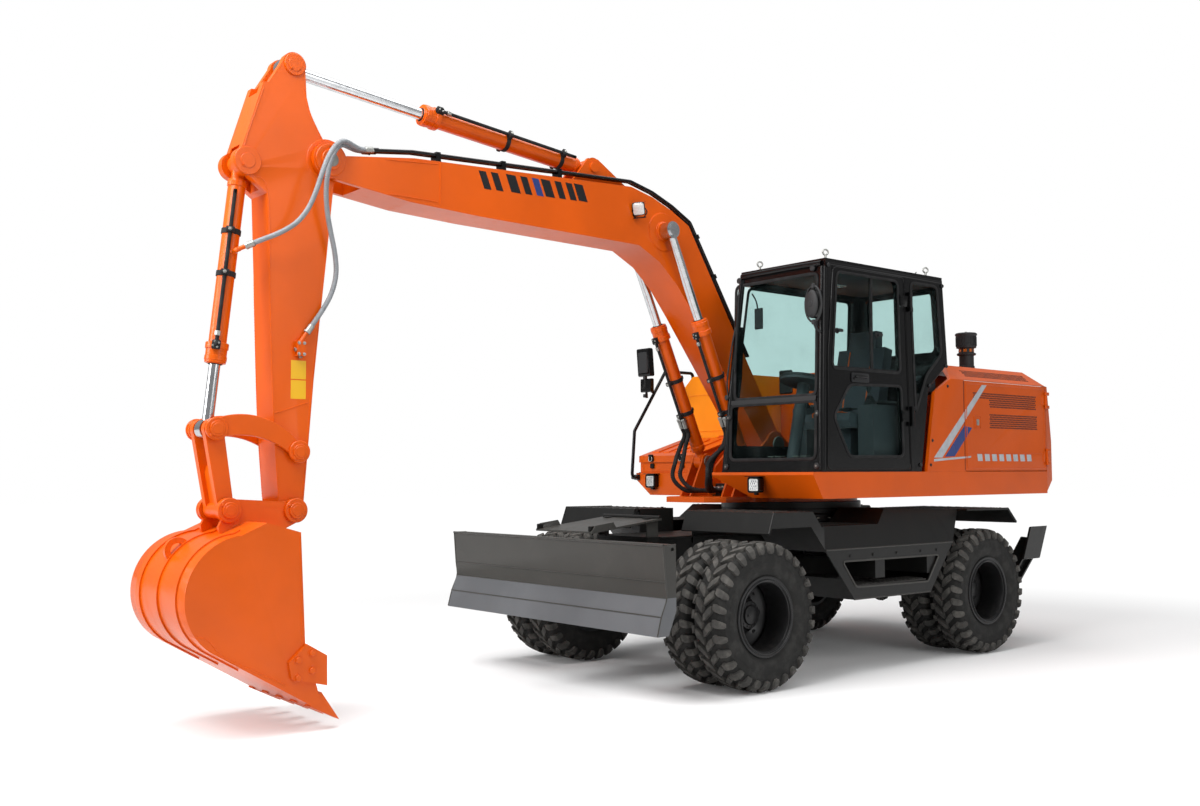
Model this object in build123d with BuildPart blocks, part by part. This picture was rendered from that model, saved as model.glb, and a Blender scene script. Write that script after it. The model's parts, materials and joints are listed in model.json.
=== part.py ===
"""Wheeled excavator, about 15 tonnes: one STEP file for each sub-part, in millimetres.

+X is the way it drives (blade and bucket), +Y its left (cab side), +Z up.
The origin lies on the ground under the slewing axis.
"""
import os
from math import cos, hypot, pi, radians, sin, tan

from build123d import *

os.makedirs("parts", exist_ok=True)

# ---------------------------------------------------------------- driving dimensions
# running gear
WHEELBASE = 2800
FRONT_AXLE_X = 1684
REAR_AXLE_X = FRONT_AXLE_X - WHEELBASE
TYRE_RADIUS = 527.5
TYRE_HALF_WIDTH = 127.5
TWIN_Y = 960                 # middle of a pair of wheels
TWIN_HALF_SPACING = 160      # middle of the pair to the middle of one tyre
RIM_RADIUS = 255
RIM_HALF_WIDTH = 100
RIM_WALL = 17
LIP_RADIUS = 288
LIP_WIDTH = 12
DISC_HALF = 12
JOURNAL_RADIUS = 60
FIT = 0.3                    # running gap of a pin or shaft
FREE = 5                     # gap beside a moving piece
KINGPIN_Y = 560
KINGPIN_RADIUS = 30
AXLE_TUBE_RADIUS = 85
AXLE_Z = TYRE_RADIUS

# chassis
FRAME_HALF = 300
FRAME_LOW_Z = 760
FRAME_HIGH_Z = 1060
FRAME_FRONT_X = 1880
FRAME_REAR_X = -1990
SIDE_Y = 1200                # outer face of the steps and fenders
PLATE = 12
SADDLE_Y = 225               # inner side of the rear axle's saddles
SADDLE_Z = 130               # their height over the axle's middle
FENDER_Z = 1252
RING_RADIUS = 600
RING_LOW_Z = 1150
RING_SPLIT_Z = 1240

# blade
BLADE_HALF = 1247
ARM_PIVOT = (2040, 480)
ARM_RISE = (396, 288)        # blade arm pivot to blade pin
LINK_DROP = 220              # arm pins to the upper link's pins
BLADE_ARM_Y = 200
BLADE_ARM_HALF = 30
BLADE_CYLINDER_FOOT = (2010, 960)
BLADE_CYLINDER_SHARE = 0.6   # place of the rod's pin along the arm
BLADE_CYLINDER_Y = 90

# outriggers
LEG_PIVOT = (780, 450)       # (y, z)
LEG_LENGTH = 520
LEG_ANGLE = 60
OUTRIGGER_X = (-2240, -1990)

# upper structure
DECK_LOW_Z = 1345
DECK_HIGH_Z = 1545
DECK_HALF = 1245
NOSE_LOW_Z = 1300
HOUSE_FRONT_X = -560
DOOR_FRONT_X = -800
DOOR_REAR_X = -2100
TAIL_X = -2230
PANEL_HINGE = (DOOR_REAR_X + 14, DECK_HALF + 13)    # (x, y) of an engine door's hinge on the left
TAIL_BULGE = 90
HOUSE_FOLD_Z = 2320
HOUSE_TOP_Z = 2452
PANEL_HINGES_Z = (DECK_HIGH_Z + 130, HOUSE_FOLD_Z - 130)
HOUSE_SLOPE = 150            # how far the bevel above the fold leans in
SKIN = 5
DOOR_GAP = 6
TANK_FRONT_X = 110

# cab
CAB_LEFT_Y = 1220
CAB_RIGHT_Y = 172
CAB_RIGHT_TOP_Y = 345
CAB_WALL = 45
CAB_FLOOR_Z = DECK_HIGH_Z
CAB_TOP_Z = 3140
ROOF_TOP_Z = 3185
GLASS = 6
DOOR_HINGE = (-66, 1246)     # (x, y)

# working equipment, all about one vertical plane to the right of the slewing axis
BOOM_Y = -150
BOOM_HALF = 163
ARM_HALF = 120
BUCKET_HALF = 450
BOOM_FOOT = (223, 1785)
BOOM_TIP = (4454, 3576)
BOOM_ROD_PIN = (1516, 3482)
BOOM_CYLINDER_FOOT = (688, 1642)
BOOM_CYLINDER_Y = 245        # from the boom's middle plane
ARM_CYLINDER_FOOT = (2183, 3914)
ARM_ROD_PIN = (4690, 4167)
BUCKET_CYLINDER_FOOT = (4997, 3491)
BUCKET_PIN = (4669, 1317)
GUIDE_PIN = (4645, 1685)
LINK_TOP = (5181, 1820)
LINK_BOTTOM = (5098, 1328)
LUG = 26                     # thickness of a lug plate


# ---------------------------------------------------------------- helpers
def slab(outline, low_y, high_y, mode=Mode.ADD, ease=0):
    """Add a side outline of (x, z) corners, thick from low_y to high_y, its corners rounded by ease."""
    with BuildSketch(Plane.XZ.offset(-high_y)) as side_view:
        Polygon(*outline, align=None)
        if ease:
            fillet(side_view.vertices(), ease)
    extrude(side_view.sketch, amount=high_y - low_y, dir=(0, -1, 0), mode=mode)


def plan(outline, low_z, high_z, mode=Mode.ADD):
    """Add a plan outline of (x, y) corners, thick from low_z to high_z."""
    with BuildSketch(Plane.XY.offset(low_z)) as top_view:
        Polygon(*outline, align=None)
    extrude(top_view.sketch, amount=high_z - low_z, dir=(0, 0, 1), mode=mode)


def face_on(outline, low_x, high_x, mode=Mode.ADD, ease=0):
    """Add a front outline of (y, z) corners, thick from low_x to high_x, its corners rounded by ease."""
    with BuildSketch(Plane.YZ.offset(low_x)) as front_view:
        Polygon(*outline, align=None)
        if ease:
            fillet(front_view.vertices(), ease)
    extrude(front_view.sketch, amount=high_x - low_x, dir=(1, 0, 0), mode=mode)


def block(low, high, mode=Mode.ADD):
    """Add a box between two corners."""
    plan([(low[0], low[1]), (high[0], low[1]), (high[0], high[1]), (low[0], high[1])], low[2], high[2], mode)


def drum(centre, radius, low_y, high_y, mode=Mode.ADD):
    """Add a round piece whose axis runs across the machine through centre (x, z)."""
    with BuildSketch(Plane.XZ.offset(-high_y)) as side_view:
        with Locations(centre):
            Circle(radius)
    extrude(side_view.sketch, amount=high_y - low_y, dir=(0, -1, 0), mode=mode)


def post(centre, radius, low_z, high_z, mode=Mode.ADD):
    """Add an upright round piece at centre (x, y)."""
    with BuildSketch(Plane.XY.offset(low_z)) as top_view:
        with Locations(centre):
            Circle(radius)
    extrude(top_view.sketch, amount=high_z - low_z, dir=(0, 0, 1), mode=mode)


def rod(start, end, radius, mode=Mode.ADD):
    """Add a round bar from start to end, both (x, y, z)."""
    line = Vector(*end) - Vector(*start)
    with BuildSketch(Plane(origin=start, z_dir=line)) as section:
        Circle(radius)
    extrude(section.sketch, amount=line.length, dir=line, mode=mode)


def turned(outline, axle_x, side, mode=Mode.ADD):
    """Turn an outline of (y, radius) corners about a wheel's axle, on the left (1) or right (-1)."""
    with BuildSketch(Plane(origin=(axle_x, 0, AXLE_Z), x_dir=(0, 1, 0), z_dir=(1, 0, 0))) as half_section:
        Polygon(*[(side * y, radius) for y, radius in outline], align=None)
    revolve(half_section.sketch, axis=Axis((axle_x, 0, AXLE_Z), (0, 1, 0)), mode=mode)


def pipe(points, radius, bend, mode=Mode.ADD):
    """Add a round pipe along (x, y, z) points, with bends of one radius."""
    with BuildLine() as path:
        FilletPolyline(*points, radius=bend)
    with BuildSketch(Plane(origin=path.line @ 0, z_dir=path.line % 0)) as section:
        Circle(radius)
    sweep(section.sketch, path=path.line, mode=mode)


def rectangle(low_a, high_a, low_b, high_b):
    """The four corners of an upright rectangle in any plane."""
    return [(low_a, low_b), (high_a, low_b), (high_a, high_b), (low_a, high_b)]


def toward(start, end, distance):
    """The point at a distance from start on the way to end, both (x, z)."""
    length = hypot(end[0] - start[0], end[1] - start[1])
    return (start[0] + (end[0] - start[0]) * distance / length,
            start[1] + (end[1] - start[1]) * distance / length)


def at_y(point, y):
    """A side-view point (x, z) placed at y."""
    return (point[0], y, point[1])


def beyond(run, distance):
    """The point at a distance past the end of a run of two (x, y, z) points."""
    start, end = Vector(*run[0]), Vector(*run[1])
    return tuple(end + (end - start).normalized() * distance)


def save(piece, name):
    """Label a finished sub-part and write it to its own STEP file."""
    piece.part.label = name
    export_step(piece.part, f"parts/{name}.step")


SIDES = {"left": 1, "right": -1}

# ---------------------------------------------------------------- chassis
with BuildPart() as chassis_frame:
    block((FRAME_REAR_X, -FRAME_HALF, FRAME_LOW_Z), (FRAME_FRONT_X, FRAME_HALF, FRAME_HIGH_Z))
    # saddle of the slewing ring, with its wings
    block((-RING_RADIUS, -RING_RADIUS + 20, FRAME_HIGH_Z - 90), (RING_RADIUS, RING_RADIUS - 20, FRAME_HIGH_Z))
    post((0, 0), RING_RADIUS + 10, FRAME_HIGH_Z, RING_LOW_Z)
    # brackets out to the steps
    for bracket_x in (-420, 260):
        block((bracket_x, -SIDE_Y + PLATE, 720), (bracket_x + 120, SIDE_Y - PLATE, 860))
    # nose that carries the blade
    block((FRAME_FRONT_X, -FRAME_HALF, 420), (FRAME_FRONT_X + 80, FRAME_HALF, FRAME_HIGH_Z))
    block((FRAME_FRONT_X - 15, -FRAME_HALF, 420), (FRAME_FRONT_X, FRAME_HALF, FRAME_LOW_Z))
    for side in SIDES.values():
        for lug_y in (BLADE_ARM_Y - BLADE_ARM_HALF - FREE - LUG, BLADE_ARM_Y + BLADE_ARM_HALF + FREE):
            low_y, high_y = sorted((side * lug_y, side * (lug_y + LUG)))
            slab(rectangle(FRAME_FRONT_X + 80, ARM_PIVOT[0], ARM_PIVOT[1] - 60,
                           ARM_PIVOT[1] + LINK_DROP + 60),
                 low_y, high_y)
            drum(ARM_PIVOT, 60, low_y, high_y)
            drum((ARM_PIVOT[0], ARM_PIVOT[1] + LINK_DROP), 60, low_y, high_y)
        low_y, high_y = sorted((side * (BLADE_ARM_Y - 75), side * (BLADE_ARM_Y + 75)))
        drum(ARM_PIVOT, 28, low_y, high_y)
        drum((ARM_PIVOT[0], ARM_PIVOT[1] + LINK_DROP), 25, low_y, high_y)
        for lug_y in (BLADE_CYLINDER_Y - 48, BLADE_CYLINDER_Y + 28):
            low_y, high_y = sorted((side * lug_y, side * (lug_y + 20)))
            slab(rectangle(FRAME_FRONT_X + 80, BLADE_CYLINDER_FOOT[0], BLADE_CYLINDER_FOOT[1] - 42,
                           BLADE_CYLINDER_FOOT[1] + 42), low_y, high_y)
            drum(BLADE_CYLINDER_FOOT, 42, low_y, high_y)
        low_y, high_y = sorted((side * (BLADE_CYLINDER_Y - 50), side * (BLADE_CYLINDER_Y + 50)))
        drum(BLADE_CYLINDER_FOOT, 20, low_y, high_y)
    # cradle of the front axle, fore and aft of its middle housing
    for cradle_x in (FRONT_AXLE_X - 200, FRONT_AXLE_X + 156):
        block((cradle_x, -110, AXLE_Z - 75), (cradle_x + 44, 110, FRAME_LOW_Z))
    rod((FRONT_AXLE_X - 220, 0, AXLE_Z), (FRONT_AXLE_X + 220, 0, AXLE_Z), 50, Mode.SUBTRACT)
    # saddles of the rear axle
    for side in SIDES.values():
        low_y, high_y = sorted((side * SADDLE_Y, side * FRAME_HALF))
        block((REAR_AXLE_X - 110, low_y, AXLE_Z + SADDLE_Z), (REAR_AXLE_X + 110, high_y, FRAME_LOW_Z))
    # tail that carries the outriggers
    block((FRAME_REAR_X, -FRAME_HALF, 400), (FRAME_REAR_X + 200, FRAME_HALF, FRAME_LOW_Z))
save(chassis_frame, "chassis_frame")

# side outline of one step and fender body, front to back
STRUT_TOP = (1249, FENDER_Z)
STEP_FRONT = (654, 571)
STEP_REAR = (-326, 568)
REAR_TOP = (-878, FENDER_Z - 26)
SHELF_Z = 1135
SHELF_REAR = (266, SHELF_Z)
BODY_OUTLINE = [STRUT_TOP, STEP_FRONT, STEP_REAR, REAR_TOP, (129, FENDER_Z), SHELF_REAR, (1030, SHELF_Z),
                (1130, FENDER_Z)]
FOLD_Z = 960
LEAN_Y = 110                 # how far the side leans in above its fold
with BuildPart() as step_bodies:
    for side in SIDES.values():
        inner_y, outer_y, leaned_y = side * 640, side * SIDE_Y, side * (SIDE_Y - LEAN_Y - PLATE)
        skin_y = side * (SIDE_Y - PLATE)
        slab(BODY_OUTLINE, *sorted((inner_y, outer_y)))
        # lean of the side above its fold
        face_on([(outer_y, FOLD_Z), (side * (SIDE_Y - LEAN_Y), FENDER_Z + 1),
                 (side * (SIDE_Y + 60), FENDER_Z + 1),
                 (side * (SIDE_Y + 60), FOLD_Z)], REAR_TOP[0] - 60, 1000, Mode.SUBTRACT)
        # hollow, open towards the frame
        slab([(1000, FOLD_Z - PLATE), (660, 571 + PLATE + 8), (-315, 568 + PLATE), (-630, FOLD_Z - PLATE)],
             *sorted((inner_y, skin_y)), Mode.SUBTRACT)
        slab([(980, FOLD_Z), (-640, FOLD_Z), (-850, 1210), (115, 1238), (250, SHELF_Z - PLATE),
              (1000, SHELF_Z - PLATE)],
             *sorted((inner_y, leaned_y)), Mode.SUBTRACT)
        # window between the struts
        slab([(780, 861), (631, 674), (-290, 662), (-440, 855)], *sorted((inner_y, outer_y)), Mode.SUBTRACT)
        # front fender: top, apron and skirt
        slab([(1130, FENDER_Z), (1560, FENDER_Z), (1612, 1105), (1598, 1105), (1551, FENDER_Z - PLATE),
              (1130, FENDER_Z - PLATE)], *sorted((side * FRAME_HALF, outer_y)))
        slab([(1249, FENDER_Z), (1560, FENDER_Z), (1595, 1140), (1151, 1140)], *sorted((skin_y, outer_y)))
        slab(rectangle(1130, 1500, 1000, FENDER_Z - PLATE),
             *sorted((side * FRAME_HALF, side * (FRAME_HALF + PLATE))))
        # rear fender
        slab([REAR_TOP, (-1511, 1222), (-1640, 1100), (-1628, 1092), (-1505, 1208),
              (-866, REAR_TOP[1] - PLATE)],
             *sorted((side * FRAME_HALF, outer_y)))
        slab(rectangle(-1480, -900, 1000, 1210), *sorted((side * FRAME_HALF, side * (FRAME_HALF + PLATE))))
save(step_bodies, "step_bodies")

with BuildPart() as slew_ring:
    post((0, 0), RING_RADIUS, RING_LOW_Z, RING_SPLIT_Z)
    post((0, 0), RING_RADIUS - 170, RING_LOW_Z, RING_SPLIT_Z, Mode.SUBTRACT)
save(slew_ring, "slew_ring")

with BuildPart() as blade_cover:
    slab([(1850, 1200), (2535, 1122), (2535, 1108), (1850, 1186)], -335, 335)
    for side in SIDES.values():
        slab([(1850, 1190), (FRAME_FRONT_X + 80, 1182), (FRAME_FRONT_X + 80, FRAME_HIGH_Z),
              (1850, FRAME_HIGH_Z)],
             *sorted((side * 280, side * 292)))
        slab([(2300, 1140), (2330, 1185), (2500, 1165), (2535, 1120), (2535, 1108), (2300, 1135)],
             *sorted((side * 323, side * 335)))
save(blade_cover, "blade_cover")

# ---------------------------------------------------------------- axles, knuckles and wheels
RAM_X = -255                 # steering ram, behind the front axle
RAM_Z = -130                 # and below its middle
RAM_ROD = 22
STEER_ARM_Z = (-106, -82)    # plate of the knuckle's steering arm, over the ram rod's end
HOUSING = [(0, 155), (120, 155), (260, AXLE_TUBE_RADIUS), (500, AXLE_TUBE_RADIUS), (500, 0), (0, 0)]
with BuildPart() as front_axle:
    for side in SIDES.values():
        turned(HOUSING, FRONT_AXLE_X, side)
        post((FRONT_AXLE_X, side * KINGPIN_Y), 62, AXLE_Z - 95, AXLE_Z + 95)
        post((FRONT_AXLE_X, side * KINGPIN_Y), KINGPIN_RADIUS, AXLE_Z - 150, AXLE_Z + 150)
    rod((FRONT_AXLE_X - 216, 0, AXLE_Z), (FRONT_AXLE_X + 180, 0, AXLE_Z), 50)
    block((FRONT_AXLE_X + RAM_X, -60, AXLE_Z + RAM_Z - 20), (FRONT_AXLE_X - 60, 60, AXLE_Z + RAM_Z + 40))
    drum((FRONT_AXLE_X + RAM_X, AXLE_Z + RAM_Z), 45, -230, 230)
    drum((FRONT_AXLE_X + RAM_X, AXLE_Z + RAM_Z), RAM_ROD + FIT, -230, 230, Mode.SUBTRACT)
save(front_axle, "front_axle")

with BuildPart() as rear_axle:
    for side in SIDES.values():
        turned(HOUSING[:3] + [(600, AXLE_TUBE_RADIUS), (680, 110), (880, 110), (880, JOURNAL_RADIUS),
                              (1000, JOURNAL_RADIUS), (1000, 0), (0, 0)], REAR_AXLE_X, side)
        low_y, high_y = sorted((side * SADDLE_Y, side * (FRAME_HALF - 10)))
        block((REAR_AXLE_X - 90, low_y, AXLE_Z), (REAR_AXLE_X + 90, high_y, AXLE_Z + SADDLE_Z))
    drum((REAR_AXLE_X + 60, AXLE_Z), 120, -120, 120)
with BuildPart() as steering_rod:
    drum((FRONT_AXLE_X + RAM_X, AXLE_Z + RAM_Z), RAM_ROD, -KINGPIN_Y, KINGPIN_Y)
    for side in SIDES.values():
        post((FRONT_AXLE_X + RAM_X, side * (KINGPIN_Y + 15)), 32, AXLE_Z + RAM_Z - 22,
             AXLE_Z + STEER_ARM_Z[0] - 1)
save(steering_rod, "steering_rod")

for name, side in SIDES.items():
    with BuildPart() as knuckle:
        for low_z in (-137, 98):
            post((FRONT_AXLE_X, side * KINGPIN_Y), 72, AXLE_Z + low_z, AXLE_Z + low_z + 38)
            block((FRONT_AXLE_X - 72, min(side * KINGPIN_Y, side * 690), AXLE_Z + low_z),
                  (FRONT_AXLE_X + 72, max(side * KINGPIN_Y, side * 690), AXLE_Z + low_z + 38))
        block((FRONT_AXLE_X - 72, min(side * 645, side * 690), AXLE_Z - 137),
              (FRONT_AXLE_X + 72, max(side * 645, side * 690), AXLE_Z + 136))
        turned([(685, 0), (685, 125), (720, 110), (880, 110), (880, JOURNAL_RADIUS), (1000, JOURNAL_RADIUS),
                (1000, 0)], FRONT_AXLE_X, side)
        # steering arm below the ram rod's end
        plan([(FRONT_AXLE_X - 60, side * 650), (FRONT_AXLE_X - 60, side * 690),
              (FRONT_AXLE_X + RAM_X - 20, side * 605),
              (FRONT_AXLE_X + RAM_X - 20, side * 545)], AXLE_Z + STEER_ARM_Z[0], AXLE_Z + STEER_ARM_Z[1])
        post((FRONT_AXLE_X + RAM_X, side * (KINGPIN_Y + 15)), 34, AXLE_Z + STEER_ARM_Z[0],
             AXLE_Z + STEER_ARM_Z[1])
        post((FRONT_AXLE_X, side * KINGPIN_Y), KINGPIN_RADIUS + FIT, AXLE_Z - 160, AXLE_Z + 160,
             Mode.SUBTRACT)
    save(knuckle, f"knuckle_{name}")
with rear_axle:
    # drive housing in front of the rear axle
    block((REAR_AXLE_X + 120, -110, AXLE_Z - 120), (REAR_AXLE_X + 330, 110, AXLE_Z + 150))
save(rear_axle, "rear_axle")

with BuildPart() as driveline:
    rod((REAR_AXLE_X + 330, 0, AXLE_Z), (FRONT_AXLE_X - 216, 0, AXLE_Z), 42)
    for joint_x in (REAR_AXLE_X + 330, FRONT_AXLE_X - 306):
        rod((joint_x, 0, AXLE_Z), (joint_x + 90, 0, AXLE_Z), 70)
save(driveline, "driveline")

RIM_CENTRES = (TWIN_Y - TWIN_HALF_SPACING, TWIN_Y + TWIN_HALF_SPACING)
LIP_OUTER = RIM_HALF_WIDTH + LIP_WIDTH
TYRE_HALF_SECTION = [(RIM_HALF_WIDTH - FIT, RIM_RADIUS + FIT), (RIM_HALF_WIDTH - FIT, LIP_RADIUS + 4),
                     (126, 335),
                     (TYRE_HALF_WIDTH, 420), (119, 500), (88, TYRE_RADIUS)]
for axle_name, axle_x in {"front": FRONT_AXLE_X, "rear": REAR_AXLE_X}.items():
    for name, side in SIDES.items():
        with BuildPart() as tyres:
            for centre_y in RIM_CENTRES:
                turned([(centre_y + y, r) for y, r in TYRE_HALF_SECTION]
                       + [(centre_y - y, r) for y, r in reversed(TYRE_HALF_SECTION)], axle_x, side)
        save(tyres, f"tyres_{axle_name}_{name}")
        with BuildPart() as rims:
            for centre_y, disc_y in zip(RIM_CENTRES, (TWIN_Y - DISC_HALF, TWIN_Y + DISC_HALF)):
                far_y = centre_y + (LIP_OUTER if centre_y > TWIN_Y else -LIP_OUTER)
                turned([(TWIN_Y, RIM_RADIUS), (far_y, RIM_RADIUS), (far_y, RIM_RADIUS - RIM_WALL),
                        (disc_y, RIM_RADIUS - RIM_WALL), (disc_y, 60.5), (TWIN_Y, 60.5)], axle_x, side)
                for lip_y in (centre_y - LIP_OUTER, centre_y + RIM_HALF_WIDTH):
                    turned(rectangle(lip_y, lip_y + LIP_WIDTH, RIM_RADIUS - 5, LIP_RADIUS), axle_x, side)
            # hub over the axle's journal, closed outside
            turned([(TWIN_Y - 75, JOURNAL_RADIUS + FIT), (1001, JOURNAL_RADIUS + FIT), (1001, 0), (1095, 0),
                    (1095, 70),
                    (1075, 112), (TWIN_Y + 10, 125), (TWIN_Y - 75, 125)], axle_x, side)
        save(rims, f"wheels_{axle_name}_{name}")

# ---------------------------------------------------------------- blade and outriggers
BLADE_PIN = (ARM_PIVOT[0] + ARM_RISE[0], ARM_PIVOT[1] + ARM_RISE[1])
UPPER_PIN = (BLADE_PIN[0], BLADE_PIN[1] + LINK_DROP)
BLADE_FRONT = [(2684, 1075), (2665, 832), (2655, 725), (2705, 606), (2739, 480)]
with BuildPart() as blade:
    slab(BLADE_FRONT + [(2712, 480), (2678, 600), (2627, 722), (2640, 840), (2655, 1052), (2600, 1052),
                        (2600, 1075)],
         -BLADE_HALF, BLADE_HALF)
    # box behind the mouldboard
    slab([(2627, 722), (2640, 840), (2650, 960), (2571, 960), (2571, 640), (2660, 640)], -BLADE_HALF,
         BLADE_HALF)
    for side in SIDES.values():
        slab(BLADE_FRONT + [(2640, 480), (2571, 640), (2571, 1075)],
             *sorted((side * BLADE_HALF, side * (BLADE_HALF - 14))))
        drum((2603, 1041), 14, *sorted((side * (BLADE_HALF - 14), side * BLADE_HALF)), Mode.SUBTRACT)
        for lug_y in (BLADE_ARM_Y - BLADE_ARM_HALF - FREE - LUG, BLADE_ARM_Y + BLADE_ARM_HALF + FREE):
            low_y, high_y = sorted((side * lug_y, side * (lug_y + LUG)))
            slab(rectangle(BLADE_PIN[0], 2571, BLADE_PIN[1] - 50, UPPER_PIN[1] + 45), low_y, high_y)
            drum(BLADE_PIN, 50, low_y, high_y)
            drum(UPPER_PIN, 45, low_y, high_y)
        low_y, high_y = sorted((side * (BLADE_ARM_Y - 66), side * (BLADE_ARM_Y + 66)))
        drum(BLADE_PIN, 28, low_y, high_y)
        drum(UPPER_PIN, 25, low_y, high_y)
    # the lugs' webs, joined down to the box
    block((2560, -BLADE_ARM_Y - 66, 700), (2571, BLADE_ARM_Y + 66, 1033))
save(blade, "blade")

ROD_PIN = toward(ARM_PIVOT, BLADE_PIN, hypot(*ARM_RISE) * BLADE_CYLINDER_SHARE)
BLADE_BORE = 28 + FIT
with BuildPart() as blade_arms:
    for side in SIDES.values():
        low_y, high_y = sorted((side * (BLADE_ARM_Y - BLADE_ARM_HALF), side * (BLADE_ARM_Y + BLADE_ARM_HALF)))
        across = (ARM_RISE[1] * 45 / hypot(*ARM_RISE), -ARM_RISE[0] * 45 / hypot(*ARM_RISE))
        slab([(ARM_PIVOT[0] + across[0], ARM_PIVOT[1] + across[1]),
              (BLADE_PIN[0] + across[0], BLADE_PIN[1] + across[1]),
              (BLADE_PIN[0] - across[0], BLADE_PIN[1] - across[1]),
              (ARM_PIVOT[0] - across[0], ARM_PIVOT[1] - across[1])],
             low_y, high_y)
        for pin in (ARM_PIVOT, BLADE_PIN):
            drum(pin, 48, low_y, high_y)
            drum(pin, BLADE_BORE, low_y, high_y, Mode.SUBTRACT)
    # cross tube between the two arms, with ears at each side of the rods' eyes
    cross = toward(ARM_PIVOT, BLADE_PIN, 400)
    drum(cross, 34, -BLADE_ARM_Y, BLADE_ARM_Y)
    lean = (across[0] * 28 / 45, across[1] * 28 / 45)
    for side in SIDES.values():
        for ear_y in (BLADE_CYLINDER_Y - 45, BLADE_CYLINDER_Y + 29):
            low_y, high_y = sorted((side * ear_y, side * (ear_y + 16)))
            slab([(ROD_PIN[0] + lean[0], ROD_PIN[1] + lean[1]), (cross[0] + lean[0], cross[1] + lean[1]),
                  (cross[0] - lean[0], cross[1] - lean[1]), (ROD_PIN[0] - lean[0], ROD_PIN[1] - lean[1])],
                 low_y, high_y)
            drum(ROD_PIN, 34, low_y, high_y)
save(blade_arms, "blade_arms")

with BuildPart() as blade_links:
    for side in SIDES.values():
        low_y, high_y = sorted((side * (BLADE_ARM_Y - BLADE_ARM_HALF), side * (BLADE_ARM_Y + BLADE_ARM_HALF)))
        lower, upper = (ARM_PIVOT[0], ARM_PIVOT[1] + LINK_DROP), UPPER_PIN
        slab([(lower[0] + 16, lower[1] - 22), (upper[0] + 16, upper[1] - 22), (upper[0] - 16, upper[1] + 22),
              (lower[0] - 16, lower[1] + 22)], low_y, high_y)
        for pin in (lower, upper):
            drum(pin, 42, low_y, high_y)
            drum(pin, 25 + FIT, low_y, high_y, Mode.SUBTRACT)
save(blade_links, "blade_links")

BLADE_BARREL = 370
BLADE_GLAND = toward(BLADE_CYLINDER_FOOT, ROD_PIN, BLADE_BARREL)
with BuildPart() as blade_barrels:
    for side in SIDES.values():
        y = side * BLADE_CYLINDER_Y
        drum(BLADE_CYLINDER_FOOT, 38, y - 26, y + 26)
        rod(at_y(toward(BLADE_CYLINDER_FOOT, ROD_PIN, 20), y),
            at_y(toward(BLADE_CYLINDER_FOOT, ROD_PIN, 62), y), 24)
        rod(at_y(toward(BLADE_CYLINDER_FOOT, ROD_PIN, 60), y), at_y(BLADE_GLAND, y), 42)
        drum(BLADE_CYLINDER_FOOT, 20 + FIT, y - 45, y + 45, Mode.SUBTRACT)
        rod(at_y(toward(BLADE_CYLINDER_FOOT, ROD_PIN, 46), y),
            at_y(toward(BLADE_CYLINDER_FOOT, ROD_PIN, BLADE_BARREL + 1), y), 22 + FIT, Mode.SUBTRACT)
save(blade_barrels, "blade_barrels")
with BuildPart() as blade_rods:
    for side in SIDES.values():
        y = side * BLADE_CYLINDER_Y
        rod(at_y(toward(BLADE_CYLINDER_FOOT, ROD_PIN, 50), y), at_y(ROD_PIN, y), 22)
        drum(ROD_PIN, 30, y - 24, y + 24)
save(blade_rods, "blade_rods")

with BuildPart() as outrigger_beam:
    low_x, high_x = OUTRIGGER_X
    block((low_x, -640, 400), (high_x, 640, 640))
    for side in SIDES.values():
        for plate_x in (low_x, high_x - LUG):
            face_on([(side * 600, 400), (side * (LEG_PIVOT[0] + 30), 385), (side * (LEG_PIVOT[0] + 62), 430),
                     (side * (LEG_PIVOT[0] + 30), 515), (side * 600, 640)], plate_x, plate_x + LUG)
        rod((low_x - 12, side * LEG_PIVOT[0], LEG_PIVOT[1]),
            (high_x + 12, side * LEG_PIVOT[0], LEG_PIVOT[1]), 28)
save(outrigger_beam, "outrigger_beam")

PAD_TILT = -15               # the sole leans this far from upright when the leg is up
for name, side in SIDES.items():
    with BuildPart() as leg:
        low_x, high_x = OUTRIGGER_X[0] + LUG + FREE, OUTRIGGER_X[1] - LUG - FREE
        along = (cos(radians(LEG_ANGLE)), sin(radians(LEG_ANGLE)))
        tip = (LEG_PIVOT[0] + along[0] * LEG_LENGTH, LEG_PIVOT[1] + along[1] * LEG_LENGTH)
        for plate_x in (low_x, high_x - LUG):
            face_on([(side * (LEG_PIVOT[0] - 55), LEG_PIVOT[1] + 10),
                     (side * (LEG_PIVOT[0] - 10), LEG_PIVOT[1] - 55),
                     (side * (LEG_PIVOT[0] + 55), LEG_PIVOT[1] - 20), (side * (tip[0] + 45), tip[1] - 60),
                     (side * (tip[0] + 45), tip[1] + 40), (side * (tip[0] - 30), tip[1] + 45)],
                    plate_x, plate_x + LUG)
        # web between the two plates
        face_on([(side * (LEG_PIVOT[0] + 20), LEG_PIVOT[1] + 90),
                 (side * (LEG_PIVOT[0] + 60), LEG_PIVOT[1] + 70),
                 (side * (tip[0] + 20), tip[1] - 40), (side * (tip[0] - 20), tip[1] - 20)], low_x + LUG,
                high_x - LUG)
        lean = (cos(radians(PAD_TILT)), sin(radians(PAD_TILT)))
        pad_middle = (tip[0] + 50, tip[1] - 10)
        corners = [(-8, -155), (14, -155), (14, 155), (-8, 155)]
        face_on([(side * (pad_middle[0] + a * lean[0] - b * lean[1]),
                  pad_middle[1] - a * lean[1] + b * lean[0])
                 for a, b in corners], low_x - 45, high_x + 45)
        rod((low_x - 20, side * LEG_PIVOT[0], LEG_PIVOT[1]), (high_x + 20, side * LEG_PIVOT[0], LEG_PIVOT[1]),
            28 + FIT, Mode.SUBTRACT)
    save(leg, f"outrigger_leg_{name}")

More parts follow.
